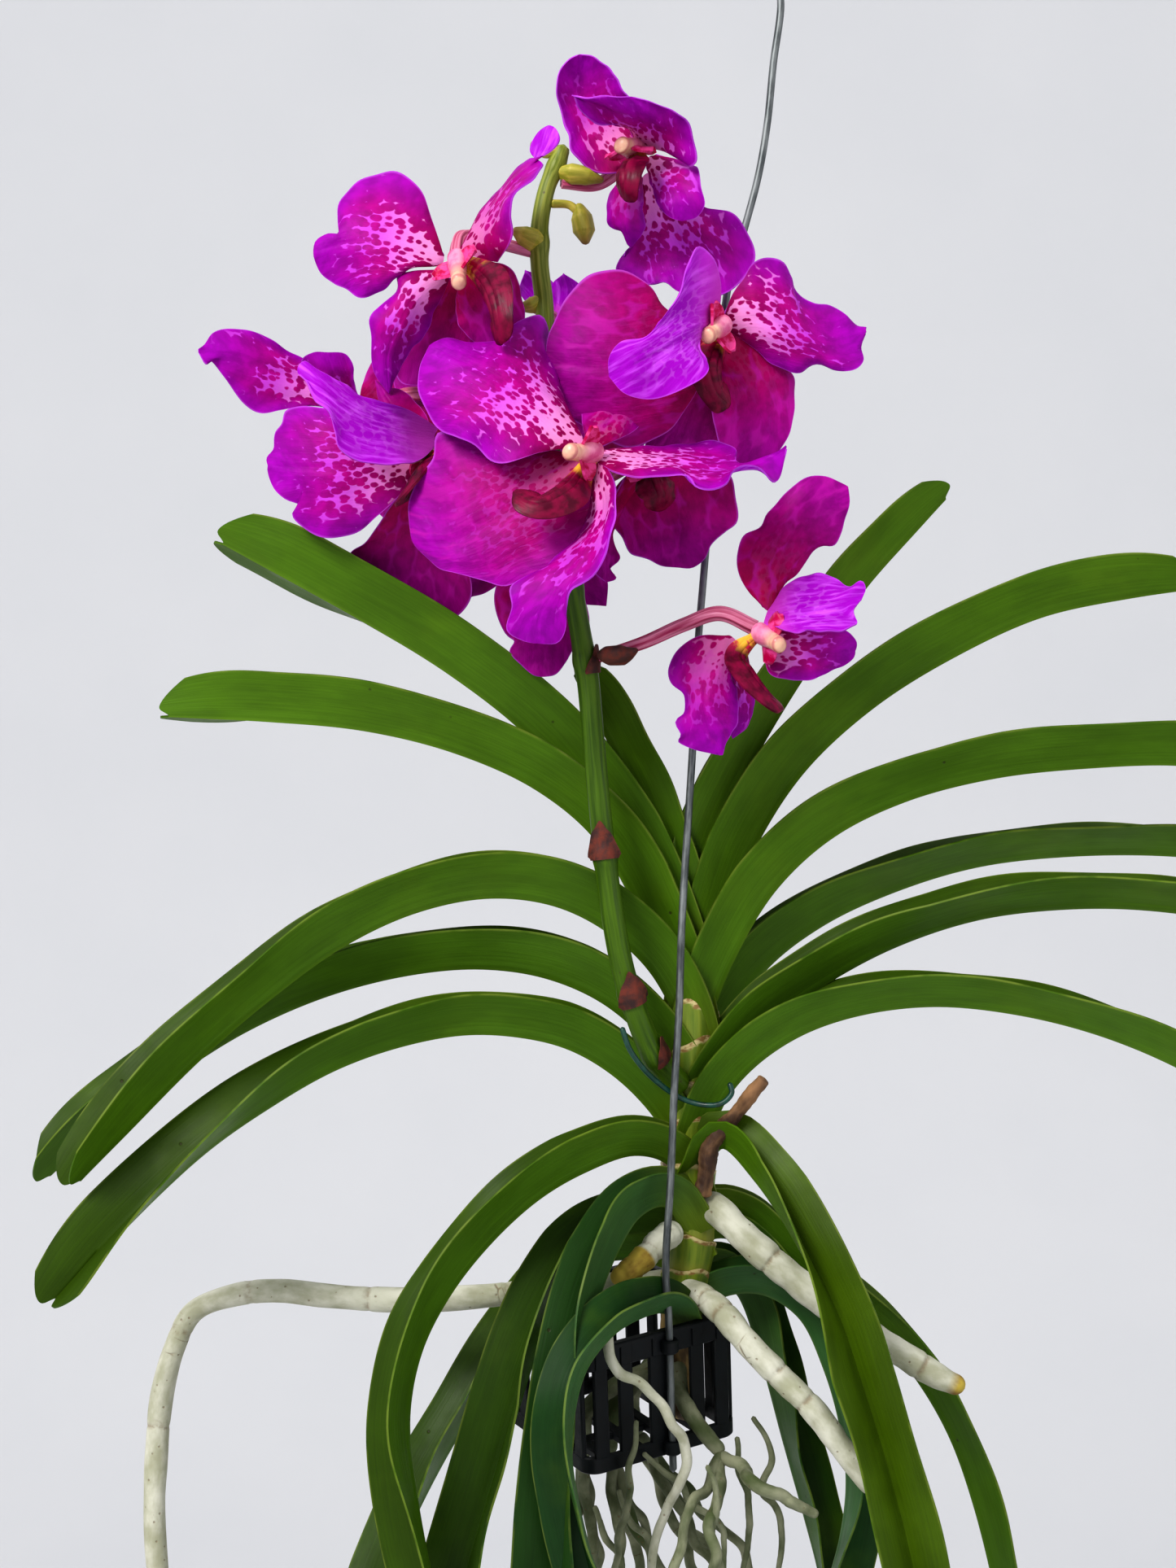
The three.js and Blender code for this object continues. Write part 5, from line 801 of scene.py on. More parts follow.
def tube(stock, line, radius, sides, lumps=None, seed=0):
    """Adds a closed round bar along an even line. lumps(u, turn) scales its radius."""
    along, out = carried(line, BAR_FACE)
    across = np.cross(along, out)
    u = np.linspace(0, 1, len(line))[:, None]
    turn = np.linspace(0, 2 * math.pi, sides, endpoint=False)[None, :]
    reach = np.asarray(radius).reshape(-1, 1) * (1 if lumps is None else lumps(u, turn))
    reach = np.broadcast_to(reach, (len(line), sides))[..., None]
    rings = line[:, None] + reach * (np.cos(turn)[..., None] * out[:, None]
                                     + np.sin(turn)[..., None] * across[:, None])
    n = len(line)
    verts = np.concatenate([rings.reshape(-1, 3), line[:1], line[-1:]])
    faces = []
    for i in range(n - 1):
        for k in range(sides):
            a, b = i * sides + k, i * sides + (k + 1) % sides
            faces.append((a, b, b + sides, a + sides))
    for k in range(sides):
        faces.append((n * sides, (k + 1) % sides, k))
        faces.append((n * sides + 1, (n - 1) * sides + k, (n - 1) * sides + (k + 1) % sides))
    run = np.r_[0, np.cumsum(np.linalg.norm(np.diff(line, axis=0), axis=1))]
    ring_run = np.repeat(run, sides)
    width = np.repeat(np.asarray(radius).reshape(-1) * np.ones(n), sides)
    level, height = np.tile(np.cos(turn[0]), n), np.tile(np.sin(turn[0]), n)
    grain = np.stack([ring_run, level * width, height * width], -1)
    grain = np.vstack([grain, [[run[0], 0, 0], [run[-1], 0, 0]]]) + [seed, 0, 0]
    share = np.r_[np.repeat(np.linspace(0, 1, n), sides), 0, 1]
    stock.add(verts, outward(verts, faces), grain=grain, share=share)


END_RADIUS = 0.12


def round_ends(radius, count, length, cap):
    """A list of radii whose ends close in a cap, cap radii long."""
    at = np.linspace(0, length, count)
    r = np.asarray(radius, float)
    for gap in (at, length - at):
        near = np.clip(gap / (r * cap), 0, 1)
        r = r * np.maximum(np.sqrt(1 - (1 - near) ** 2), END_RADIUS)
    return r

# Materials


def linear(hex_colour):
    """Linear colour of a six-figure display colour."""
    out = []
    for k in (0, 2, 4):
        c = int(hex_colour[k:k + 2], 16) / 255
        out.append(c / 12.92 if c <= 0.04045 else ((c + 0.055) / 1.055) ** 2.4)
    return (*out, 1.0)


class Paint:
    """Builds one node material, with short names for the nodes in use."""

    def __init__(self, name):
        self.material = bpy.data.materials.new(name)
        self.material.use_nodes = True
        self.tree = self.material.node_tree
        self.tree.nodes.clear()

    def node(self, kind, inputs=(), **settings):
        made = self.tree.nodes.new(kind)
        for key, value in settings.items():
            setattr(made, key, value)
        for key, value in dict(inputs).items():
            self.put(made.inputs[key], value)
        return made

    def put(self, socket, value):
        if isinstance(value, bpy.types.NodeSocket):
            self.tree.links.new(value, socket)
        elif isinstance(value, str):
            socket.default_value = linear(value)
        else:
            socket.default_value = value

    def mark(self, name, part="Vector"):
        return self.node("ShaderNodeAttribute", attribute_name=name).outputs[part]

    def parts(self, vector):
        return self.node("ShaderNodeSeparateXYZ", {"Vector": vector}).outputs

    def stretch(self, vector, scale):
        return self.node("ShaderNodeMapping", {"Vector": vector, "Scale": scale}).outputs[0]

    def math(self, operation, a, b=0.0, clamp=False):
        made = self.node("ShaderNodeMath", {0: a, 1: b}, operation=operation, use_clamp=clamp)
        return made.outputs[0]

    def times(self, a, b, clamp=False):
        return self.math("MULTIPLY", a, b, clamp)

    def plus(self, a, b):
        return self.math("ADD", a, b)

    def minus(self, a, b):
        return self.math("SUBTRACT", a, b)

    def most(self, a, b):
        return self.math("MAXIMUM", a, b)

    def step(self, x, low, high, to=(0.0, 1.0)):
        made = self.node("ShaderNodeMapRange", {"Value": x, "From Min": low, "From Max": high,
                                                "To Min": to[0], "To Max": to[1]},
                         interpolation_type="SMOOTHSTEP")
        return made.outputs[0]

    def mix(self, share, a, b):
        made = self.node("ShaderNodeMix", data_type="RGBA")
        self.put(made.inputs["Factor"], share)
        self.put(made.inputs[6], a)
        self.put(made.inputs[7], b)
        return made.outputs[2]

    def shade(self, colour, share):
        """The colour times a grey value."""
        made = self.node("ShaderNodeMix", data_type="RGBA", blend_type="MULTIPLY")
        made.inputs["Factor"].default_value = 1
        self.put(made.inputs[6], colour)
        grey = self.node("ShaderNodeCombineColor", {"Red": share, "Green": share, "Blue": share})
        self.put(made.inputs[7], grey.outputs[0])
        return made.outputs[2]

    def noise(self, vector, scale, detail=3.0, rough=0.55):
        return self.node("ShaderNodeTexNoise", {"Vector": vector, "Scale": scale, "Detail": detail,
                                                "Roughness": rough}).outputs[0]

    def cells(self, vector, scale, feature="F1", random=1.0):
        return self.node("ShaderNodeTexVoronoi", {"Vector": vector, "Scale": scale,
                                                  "Randomness": random}, feature=feature)

    def bump(self, height, distance, strength=1.0):
        return self.node("ShaderNodeBump", {"Height": height, "Distance": distance,
                                            "Strength": strength}).outputs[0]

    def finish(self, colour, roughness, normal=None, **sockets):
        shader = self.node("ShaderNodeBsdfPrincipled")
        self.put(shader.inputs["Base Color"], colour)
        self.put(shader.inputs["Roughness"], roughness)
        if normal is not None:
            self.put(shader.inputs["Normal"], normal)
        for key, value in sockets.items():
            self.put(shader.inputs[key.replace("_", " ")], value)
        out = self.node("ShaderNodeOutputMaterial")
        self.tree.links.new(shader.outputs[0], out.inputs["Surface"])
        return self.material


def leaf_paint():
    p = Paint("leaf")
    grain = p.mark("grain")
    along, across, face = p.parts(p.mark("zone"))
    tint = p.mark("tint", "Fac")
    side = p.math("ABSOLUTE", across)
    # Tint darkens a leaf toward dull blue-green, on its upper and lower faces: partly age, partly painted
    # shade for leaves that hang in shadow
    colour = p.mix(p.step(tint, 0.2, 0.5), "455c04", "304802")
    colour = p.mix(p.step(tint, 0.5, 1.0), colour, "173a14")
    under = p.mix(p.step(tint, 0.4, 1.0), "4a6e10", "3c6236")
    below = p.minus(1.0, face)
    colour = p.mix(p.times(below, 0.8), colour, under)
    colour = p.mix(p.times(p.step(along, 0.14, 0.0), 0.7), colour, "6a7a14")
    fibres = p.noise(p.stretch(grain, (30, 1500, 40)), 1.0, 4.0)
    colour = p.shade(colour, p.step(fibres, 0.3, 0.7, (0.92, 1.08)))
    patches = p.noise(grain, 20.0, 4.0)
    colour = p.mix(p.times(p.step(patches, 0.5, 0.75), 0.3), colour, "5c7812")
    dull = p.noise(p.stretch(grain, (1.0, 3.0, 1.0)), 34.0, 3.0)
    colour = p.shade(colour, p.step(dull, 0.35, 0.65, (0.86, 1.05)))
    # A pale, broken band along the margins: partly the leaf's own paler edge, partly a painted highlight
    margin_and_highlight = p.times(p.step(side, 0.955, 0.99), p.step(p.noise(grain, 70.0), 0.35, 0.6))
    colour = p.mix(p.times(margin_and_highlight, 0.32), colour, "8d9a44")
    keel = p.step(side, 0.045, 0.0)
    colour = p.mix(p.times(keel, 0.3), colour, "6c8a2c")
    specks = p.cells(grain, 110.0)
    dots = p.step(specks.outputs["Distance"], 0.09, 0.03)
    rare = p.step(p.parts(specks.outputs["Color"])[0], 0.78, 0.82)
    dots = p.times(dots, rare)
    colour = p.mix(p.times(dots, 0.75), colour, "2b2510")
    scars = p.cells(p.stretch(grain, (1.0, 0.6, 1.0)), 24.0)
    scar = p.step(scars.outputs["Distance"], 0.12, 0.05)
    scar = p.times(scar, p.step(p.parts(scars.outputs["Color"])[1], 0.93, 0.95))
    colour = p.mix(p.times(scar, 0.7), colour, "8f8f6a")
    rough = p.step(p.noise(grain, 60.0), 0.3, 0.7, (0.4, 0.54))
    height = p.plus(p.times(fibres, 0.6), p.times(dots, -1.0))
    return p.finish(colour, rough, p.bump(height, 0.00018, 0.7), Specular_IOR_Level=0.14)


def petal_paint():
    p = Paint("petal")
    grain = p.mark("grain")
    along, across, face = p.parts(p.mark("zone"))
    pattern = p.mark("pattern", "Fac")
    side = p.math("ABSOLUTE", across)
    warp = p.node("ShaderNodeTexNoise", {"Vector": grain, "Scale": 240.0, "Detail": 2.0}).outputs[1]
    bent = p.node("ShaderNodeVectorMath", {0: warp, 1: (0.0012, 0.0012, 0.0012)}, operation="MULTIPLY")
    bent = p.node("ShaderNodeVectorMath", {0: grain, 1: bent.outputs[0]}, operation="ADD").outputs[0]
    cell = p.cells(p.stretch(bent, (0.6, 1.0, 1.0)), 520.0, random=0.85).outputs["Distance"]
    # from 0 at the heart to 1 at the rim and tip: spots grow and run together into a plain rim
    rim = p.most(p.times(side, 0.92), along)
    cloud = p.noise(grain, 95.0, 3.0)
    size = p.step(rim, 0.03, 0.92, (0.27, 0.84))
    size = p.plus(size, p.times(p.minus(cloud, 0.5), 0.75))
    ground = p.step(p.minus(cell, size), -0.03, 0.09)
    ground = p.times(ground, p.step(rim, 0.99, 0.7))
    ground = p.times(ground, p.step(pattern, 0.12, 0.75), clamp=True)
    violet = p.mix(p.step(rim, 0.35, 0.95), "9e0070", "92009c")
    violet = p.mix(p.step(along, 0.4, 0.05), violet, "8c0050")
    plain = p.mix(p.step(along, 0.1, 0.9), "9c0048", "8e007c")
    violet = p.mix(p.step(pattern, 0.4, 0.15), violet, plain)
    violet = p.shade(violet, p.step(p.noise(grain, 240.0, 2.0), 0.3, 0.7, (0.82, 1.15)))
    pale = p.mix(p.step(along, 0.6, 0.05), "c03ccc", "e890cc")
    pale = p.shade(pale, p.step(cloud, 0.3, 0.7, (0.9, 1.06)))
    colour = p.mix(ground, violet, pale)
    faint = p.cells(p.stretch(bent, (0.5, 1.0, 1.0)), 260.0).outputs["Distance"]
    faint = p.times(p.step(faint, 0.58, 0.8), p.step(pattern, 0.6, 0.2))
    colour = p.mix(p.times(faint, 0.5), colour, "b4189c")
    streaks = p.noise(p.stretch(grain, (70, 520, 90)), 1.0, 3.0)
    back = p.mix(p.step(streaks, 0.45, 0.7), "9a04b4", "c046de")
    dashes = p.times(p.step(cell, 0.5, 0.66), p.step(rim, 0.95, 0.5))
    back = p.mix(p.times(dashes, p.times(pattern, 0.6)), back, "d878ea")
    back = p.mix(p.step(along, 0.45, 0.05), back, "c03cb8")
    colour = p.mix(p.minus(1.0, face), colour, back)
    # Painted highlight: a pale band along every petal's rim, on both faces
    edge = p.step(side, 0.965, 0.995)
    colour = p.mix(p.times(edge, 0.45), colour, "c05adc")
    veins = p.noise(p.stretch(grain, (110, 950, 120)), 1.0, 3.0)
    crisp = p.noise(grain, 1600.0, 2.0)
    height = p.plus(veins, p.times(crisp, 0.25))
    return p.finish(colour, 0.5, p.bump(height, 0.0003, 0.7), Specular_IOR_Level=0.07)


def lip_paint():
    """Deep maroon tongue, crimson ears with a pale and yellow throat."""
    p = Paint("lip")
    grain = p.mark("grain")
    along, across, _ = p.parts(p.mark("zone"))
    blotch = p.noise(grain, 260.0, 3.0)
    colour = p.mix(p.step(blotch, 0.35, 0.65), "4e0022", "7c0238")
    throat = p.mix(p.step(blotch, 0.42, 0.58), "e8b23c", "c01848")
    colour = p.mix(p.step(along, 0.3, 0.16), colour, throat)
    colour = p.mix(p.step(along, 0.06, 0.0), colour, p.mix(p.step(blotch, 0.4, 0.6), "b00048", "dc4890"))
    grooves = p.noise(p.stretch(grain, (120, 900, 90)), 1.0, 3.0)
    rough = p.step(blotch, 0.3, 0.7, (0.34, 0.5))
    return p.finish(colour, rough, p.bump(grooves, 0.0003, 0.7), Specular_IOR_Level=0.16)


def column_paint():
    """Pink foot and a cream cap."""
    p = Paint("column")
    grain, share = p.mark("grain"), p.mark("share", "Fac")
    blotch = p.noise(grain, 220.0, 3.0)
    foot = p.mix(p.step(blotch, 0.35, 0.65), "d05a8c", "ec92b4")
    cap = p.mix(p.step(blotch, 0.35, 0.65), "dc9c8c", "e8bc9c")
    colour = p.mix(p.step(share, 0.35, 0.8), foot, cap)
    mouth = p.times(p.step(share, 0.86, 0.9), p.step(share, 0.97, 0.93))
    colour = p.mix(p.times(mouth, 0.6), colour, "b04a5c")
    return p.finish(colour, 0.36, p.bump(blotch, 0.0003, 0.6))


def plain_paint(name, low, high, scale, rough, distance=0.0002, stretch=(1, 1, 1), **sockets):
    """A mottled material between two colours, in the piece's own grain."""
    p = Paint(name)
    grain = p.stretch(p.mark("grain"), stretch)
    spots = p.noise(grain, scale, 5.0)
    colour = p.mix(p.step(spots, 0.3, 0.7), low, high)
    return p.finish(colour, p.step(spots, 0.3, 0.7, rough), p.bump(spots, distance, 0.7), **sockets)


def velamen_paint(name, low, high, patch, cover):
    """Dry root skin: pale, with darker specks, cross cracks and patches where the green shows."""
    p = Paint(name)
    grain = p.mark("grain")
    tip, crease = p.mark("pattern", "Fac"), p.mark("tint", "Fac")
    soft = p.noise(p.stretch(grain, (0.6, 1.0, 1.0)), 130.0, 4.0)
    colour = p.mix(p.step(soft, 0.3, 0.7), low, high)
    big = p.noise(grain, 22.0, 4.0)
    colour = p.mix(p.times(p.step(big, 0.5, 0.68), cover), colour, patch)
    cracks = p.cells(p.stretch(grain, (1.0, 0.35, 0.35)), 120.0, "DISTANCE_TO_EDGE").outputs["Distance"]
    lines = p.times(p.step(cracks, 0.03, 0.0), p.step(p.noise(grain, 40.0), 0.6, 0.68))
    specks = p.cells(grain, 420.0)
    dots = p.times(p.step(specks.outputs["Distance"], 0.22, 0.1),
                  p.step(p.parts(specks.outputs["Color"])[0], 0.7, 0.75))
    worn = p.most(p.times(lines, 0.7), p.times(dots, 0.55))
    ragged = p.step(p.noise(grain, 300.0), 0.4, 0.62, (0.05, 0.6))
    worn = p.most(worn, p.times(crease, ragged))
    colour = p.mix(worn, colour, "6f5638")
    amber = p.mix(p.step(soft, 0.35, 0.6), "7a5a1e", "b09a3c")
    colour = p.mix(tip, colour, amber)
    height = p.minus(soft, p.times(worn, 0.8))
    return p.finish(colour, 0.8, p.bump(height, 0.0006, 0.8))


def stem_paint():
    p = Paint("stem")
    grain, share = p.mark("grain"), p.mark("share", "Fac")
    soft = p.noise(p.stretch(grain, (0.5, 1.6, 1.6)), 110.0, 4.0)
    dry = p.mix(p.step(soft, 0.35, 0.65), "4a3418", "a98e58")
    green = p.mix(p.step(soft, 0.3, 0.7), "5c6c10", "8a902c")
    wet = p.noise(grain, 60.0, 3.0)
    level = p.plus(share, p.times(p.minus(wet, 0.5), 0.5))
    colour = p.mix(p.step(level, 0.36, 0.5), dry, green)
    return p.finish(colour, p.step(soft, 0.3, 0.7, (0.5, 0.75)), p.bump(soft, 0.0008, 0.8))


def sheath_paint():
    """Olive green sheaths whose free edges are dry and dotted."""
    p = Paint("sheath")
    grain, share = p.mark("grain"), p.mark("share", "Fac")
    fibres = p.noise(p.stretch(grain, (40, 900, 60)), 1.0, 4.0)
    colour = p.mix(p.step(fibres, 0.3, 0.7), "56700e", "7a8a20")
    colour = p.mix(p.step(share, 0.5, 0.0), colour, "868a2c")
    ragged = p.noise(grain, 500.0, 3.0)
    torn = p.times(p.minus(ragged, 0.5), 0.22)
    dry = p.step(p.plus(share, torn), 0.86, 0.93)
    beige = p.mix(p.step(ragged, 0.45, 0.6), "c9b884", "8a6a3a")
    colour = p.mix(dry, colour, beige)
    return p.finish(colour, 0.5, p.bump(fibres, 0.0003, 0.7))


def scape_paint():
    p = Paint("scape")
    grain, share = p.mark("grain"), p.mark("share", "Fac")
    streaks = p.noise(p.stretch(grain, (30, 700, 700)), 1.0, 4.0)
    colour = p.mix(p.step(streaks, 0.3, 0.7), "2c4604", "466408")
    high = p.mix(p.step(streaks, 0.35, 0.65), "5c6a14", "8c9440")
    colour = p.mix(p.step(share, 0.62, 0.9), colour, high)
    specks = p.cells(grain, 260.0)
    dots = p.times(p.step(specks.outputs["Distance"], 0.16, 0.06),
                  p.step(p.parts(specks.outputs["Color"])[0], 0.8, 0.84))
    colour = p.mix(p.times(dots, 0.7), colour, "3c2a14")
    return p.finish(colour, p.step(streaks, 0.3, 0.7, (0.36, 0.5)), p.bump(streaks, 0.0003, 0.7),
                    Specular_IOR_Level=0.25)


def bud_paint():
    p = Paint("bud")
    grain, share = p.mark("grain"), p.mark("share", "Fac")
    streaks = p.noise(p.stretch(grain, (90, 600, 600)), 1.0, 4.0)
    colour = p.mix(p.step(streaks, 0.3, 0.7), "8d8f24", "bcae46")
    colour = p.mix(p.times(p.step(share, 0.72, 1.0), 0.7), colour, "7c5a2a")
    return p.finish(colour, 0.5, p.bump(streaks, 0.0004, 0.7))


# Pieces


def settle(piece, slot, *nodes):
    """Rides a piece and stands it for its nodes; the slot is not used."""
    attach(piece, "root")
    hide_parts(*nodes)
    return piece


LEAF_ROWS = 110
LEAF_PLACES = np.linspace(-1, 1, 27)
LEAF_PLACES = np.sign(LEAF_PLACES) * np.abs(LEAF_PLACES) ** 1.15


def add_leaf(name, leaf, material, seed):
    side = -1 if "left" in name else 1
    line, length = smooth_line(place(leaf["keel"]), 200)
    along = tangents(line)
    level = squared(np.tile([0.0, 1.0, 0.0], (200, 1)), along)
    rise = side * np.cross(along, level)
    share = np.linspace(0, 1, 200)
    roll = np.radians(ramp(leaf["roll"], share))[:, None]
    up = np.cos(roll) * rise + np.sin(roll) * level
    over = np.cos(roll) * level - np.sin(roll) * rise
    chance = np.random.RandomState(seed)
    notch, lobe, skew = 4 * MM / length, 9 * MM / length, chance.uniform(-4, 4) * MM / length
    v = LEAF_PLACES
    end = 1 - notch * np.exp(-(v / 0.16) ** 2) - lobe * np.abs(v) ** 3 + skew * v
    s = np.linspace(0, 1, LEAF_ROWS)[:, None] * end[None, :] / max(end.max(), 1)
    half = leaf["half"] * MM * np.minimum(1, 0.72 + 1.12 * s)
    half = half * (1 - 0.42 * np.clip((s - 0.86) / 0.14, 0, 1) ** 2.2)
    fold = np.radians(ramp(leaf["fold"], s))
    w = np.abs(v)[None, :]
    bend = fold * (1.06 - 0.22 * w)
    mean = fold * (1.06 - 0.11 * w)
    beat = chance.uniform(0, 2 * math.pi, 2)
    wave = 0.7 * MM * w ** 2 * np.where(v > 0, np.sin(9 * s * math.pi + beat[0]),
                                        np.sin(8 * s * math.pi + beat[1])) * eased(s, 0.15, 0.4)
    sign = np.sign(v)[None, :, None]
    ups, overs = sample(up, s), sample(over, s)
    reach = (half * w)[..., None]
    middle = sample(line, s) + reach * (np.cos(mean)[..., None] * overs * sign
                                        + np.sin(mean)[..., None] * ups)
    normal = unit(np.cos(bend)[..., None] * ups - sign * np.sin(bend)[..., None] * overs)
    middle = middle + wave[..., None] * normal
    thick = MM * (1.7 - 1.0 * w ** 2.5) * (1 - 0.5 * eased(s, 0.9, 1.0))
    thick = thick + 0.9 * MM * np.exp(-(w / 0.06) ** 2) * (1 - eased(s, 0.8, 1.0))
    zone = np.stack([s, np.broadcast_to(v, s.shape), np.zeros_like(s)], -1)
    grain = np.stack([s * length + seed * 0.37, np.broadcast_to(v, s.shape) * leaf["half"] * MM,
                      np.full_like(s, seed * 0.11)], -1)
    stock = Stock()
    blade(stock, middle, normal, thick, zone=zone, grain=grain, tint=np.full_like(s, leaf["tint"]))
    face_marks(stock)
    settle(stock.build(name + "_blade", material), "leaf_green", name)


PETAL_ROWS, PETAL_COLS = 60, 29
PETAL_THICK, RIM_THICK = 1.5, 0.55
# Waves of a petal's rim: height in millimetres, waves along it, and how close they keep to the rim
PETAL_WAVES = [(1.2, 7.5, 3), (0.7, 17, 4), (0.3, 41, 6)]


def add_petal(stock, petal, seed):
    """A closed blade spanned by the petal's left edge, midrib and right edge."""
    mid, length = smooth_line(place(petal["mid"]), PETAL_ROWS)
    left = smooth_line(place(petal["left"]), PETAL_ROWS)[0]
    right = smooth_line(place(petal["right"]), PETAL_ROWS)[0]
    u = np.linspace(0, 1, PETAL_ROWS)[:, None]
    v = np.linspace(-1, 1, PETAL_COLS)[None, :]
    rim = np.abs(v)
    half = np.linalg.norm(right - left, axis=1)[:, None] / 2
    middle = (mid[:, None] + v[..., None] * (right - left)[:, None] / 2
              + (v ** 2)[..., None] * ((right + left) / 2 - mid)[:, None])
    normal = unit(np.cross(np.gradient(middle, axis=1), np.gradient(middle, axis=0)))
    chance = np.random.RandomState(seed)
    beat = chance.uniform(0, 2 * math.pi, 8)
    ease = eased(u, 0.05, 0.35) * (1 - 0.7 * eased(u, 0.9, 1))
    broad = np.minimum(half / (14 * MM), 1)
    lift = 0
    for k, (height, waves, reach) in enumerate(PETAL_WAVES):
        phase = np.where(v > 0, beat[2 * k], beat[2 * k + 1])
        lift = lift + height * np.sin(waves * u + phase) * rim ** reach
    lift = lift + 0.25 * np.sin(9 * v + 5 * u + beat[6])
    lift = lift - 0.55 * np.exp(-(v / 0.05) ** 2) * eased(u, 0, 0.2)
    middle = middle + (MM * lift * ease * broad)[..., None] * normal
    thick = MM * (RIM_THICK + (PETAL_THICK - RIM_THICK) * (1 - eased(u, 0, 0.4)) * (1 - rim ** 4))
    thick = np.minimum(thick, 0.35 * half + 0.25 * MM)
    grid_u, grid_v = np.broadcast_to(u, thick.shape), np.broadcast_to(v, thick.shape)
    grain = np.stack([grid_u * length, grid_v * half, np.full(thick.shape, seed * 0.21)], -1)
    zone = np.stack([grid_u, grid_v, np.zeros(thick.shape)], -1)
    blade(stock, middle, normal, thick, zone=zone, grain=grain,
          pattern=np.full(thick.shape, petal["pattern"]))


def face_marks(stock):
    """Copies each vertex's face, 1 above and 0 below, into its zone."""
    for zones, faces in zip(stock.marks["zone"], stock.marks["face"]):
        zones[:, 2] = faces


def add_bloom(name, bloom, paints, seed):
    facing = unit(np.asarray(bloom["facing"], float))
    petals = Stock()
    for k, petal in enumerate(bloom["petals"]):
        add_petal(petals, petal, seed + k)
    face_marks(petals)
    settle(petals.build(name + "_petals", paints["petal"], PETAL_EDGE), "petal_violet", name)
    lip = Stock()
    column_line, _ = smooth_line(place(bloom["column"]), 24)
    add_lip(lip, smooth_line(np.vstack([column_line[:1], place(bloom["lip"])]), 40), facing, seed)
    add_ears(lip, column_line, facing, seed)
    face_marks(lip)
    settle(lip.build(name + "_lip", paints["lip"], PETAL_EDGE), "petal_violet", name)
    column = Stock()
    u = np.linspace(0, 1, 24)
    girth = (3.7 - 0.9 * eased(u, 0.1, 0.7)) * np.sqrt(np.clip((1.03 - u) * 9, 0, 1))
    tube(column, column_line, MM * girth, 28, seed=seed,
         lumps=lambda u, turn: 1 + 0.08 * np.cos(2 * turn) - 0.14 * np.exp(-((u - 0.72) / 0.03) ** 2))
    settle(column.build(name + "_column", paints["column"], PETAL_EDGE), "petal_violet", name)
    pedicel = Stock()
    line, _ = smooth_line(place(bloom["pedicel"]), 60)
    u = np.linspace(0, 1, 60)
    tube(pedicel, line, MM * (1.8 + 0.7 * u), 36, seed=seed,
         lumps=lambda u, turn: 1 + 0.12 * np.cos(6 * turn + 3 * u))
    settle(pedicel.build(name + "_pedicel", paints["pedicel"], PETAL_EDGE), "petal_violet", name)


def add_lip(stock, path, facing, seed):
    """The tongue of the lip: three ridges, sides turned down and a blunt tip."""
    line, length = path
    along, front = carried(line, facing)
    flank = np.cross(along, front)
    u = np.linspace(0, 1, len(line))[:, None]
    v = np.linspace(-1, 1, 25)[None, :]
    half = MM * (2.4 + 4.4 * np.sin(math.pi * np.clip((u - 0.08) / 0.92, 0, 1)) ** 1.2
                 + 1.6 * np.exp(-((u - 0.88) / 0.08) ** 2))
    half = half * np.sqrt(np.clip((1.01 - u) * 14, 0, 1))
    ridges = np.exp(-(v / 0.12) ** 2) + 0.8 * np.exp(-((np.abs(v) - 0.38) / 0.1) ** 2)
    drop = -3.4 * v ** 2 * np.sin(math.pi * u) + 1.2 * ridges * np.sin(math.pi * np.clip(u * 1.1, 0, 1))
    middle = (line[:, None] + (half * v)[..., None] * flank[:, None]
              + (MM * drop)[..., None] * front[:, None])
    normal = unit(np.cross(np.gradient(middle, axis=1), np.gradient(middle, axis=0)))
    thick = np.minimum(MM * 1.8 * (1 - 0.5 * np.abs(v) ** 3) + 0 * u, 0.6 * half + 0.2 * MM)
    zone = np.stack([u + 0 * v, v + 0 * u, 0 * u * v], -1)
    grain = np.stack([u * length + 0 * v, half * v, np.full(thick.shape, seed * 0.3)], -1)
    blade(stock, middle, normal, thick, zone=zone, grain=grain)


def add_ears(stock, column, facing, seed):
    """Two rounded side lobes that stand up beside the column."""
    along, front = carried(column, facing)
    flank = np.cross(along, front)
    u = np.linspace(0, 1, 16)[:, None]
    v = np.linspace(-1, 1, 13)[None, :]
    for turn in (-1, 1):
        foot = column[8] - 1.5 * MM * front[8]
        out = unit(turn * flank[8] + 0.5 * front[8])
        wide = MM * 4.6 * np.sqrt(np.clip(1 - (u * 0.96) ** 2.4, 0, 1))
        middle = (foot + (MM * (2.6 + 7.0 * u))[..., None] * out + (wide * v)[..., None] * along[8]
                  + (MM * 1.6 * (v ** 2 - u ** 2))[..., None] * front[8])
        normal = unit(np.cross(np.gradient(middle, axis=1), np.gradient(middle, axis=0)))
        zone = np.stack([0 * u * v, v + 0 * u, 0 * u * v], -1)
        grain = np.stack([u * MM * 8 + 0 * v, wide * v, np.full((16, 13), seed * 0.3 + turn)], -1)
        blade(stock, middle, normal, np.full((16, 13), 0.9 * MM), zone=zone, grain=grain)


basket_pose = (Matrix.Translation(Vector(BASKET["top"]))
               @ Matrix.Rotation(math.radians(BASKET["lean"]), 4, "Y")
               @ Matrix.Rotation(math.radians(BASKET["tip"]), 4, "X")
               @ Matrix.Rotation(math.radians(BASKET["yaw"]), 4, "Z"))


def in_basket(points):
    """Positions in metres of points in the basket's axes."""
    return np.array([basket_pose @ Vector(p) for p in points]) * MM


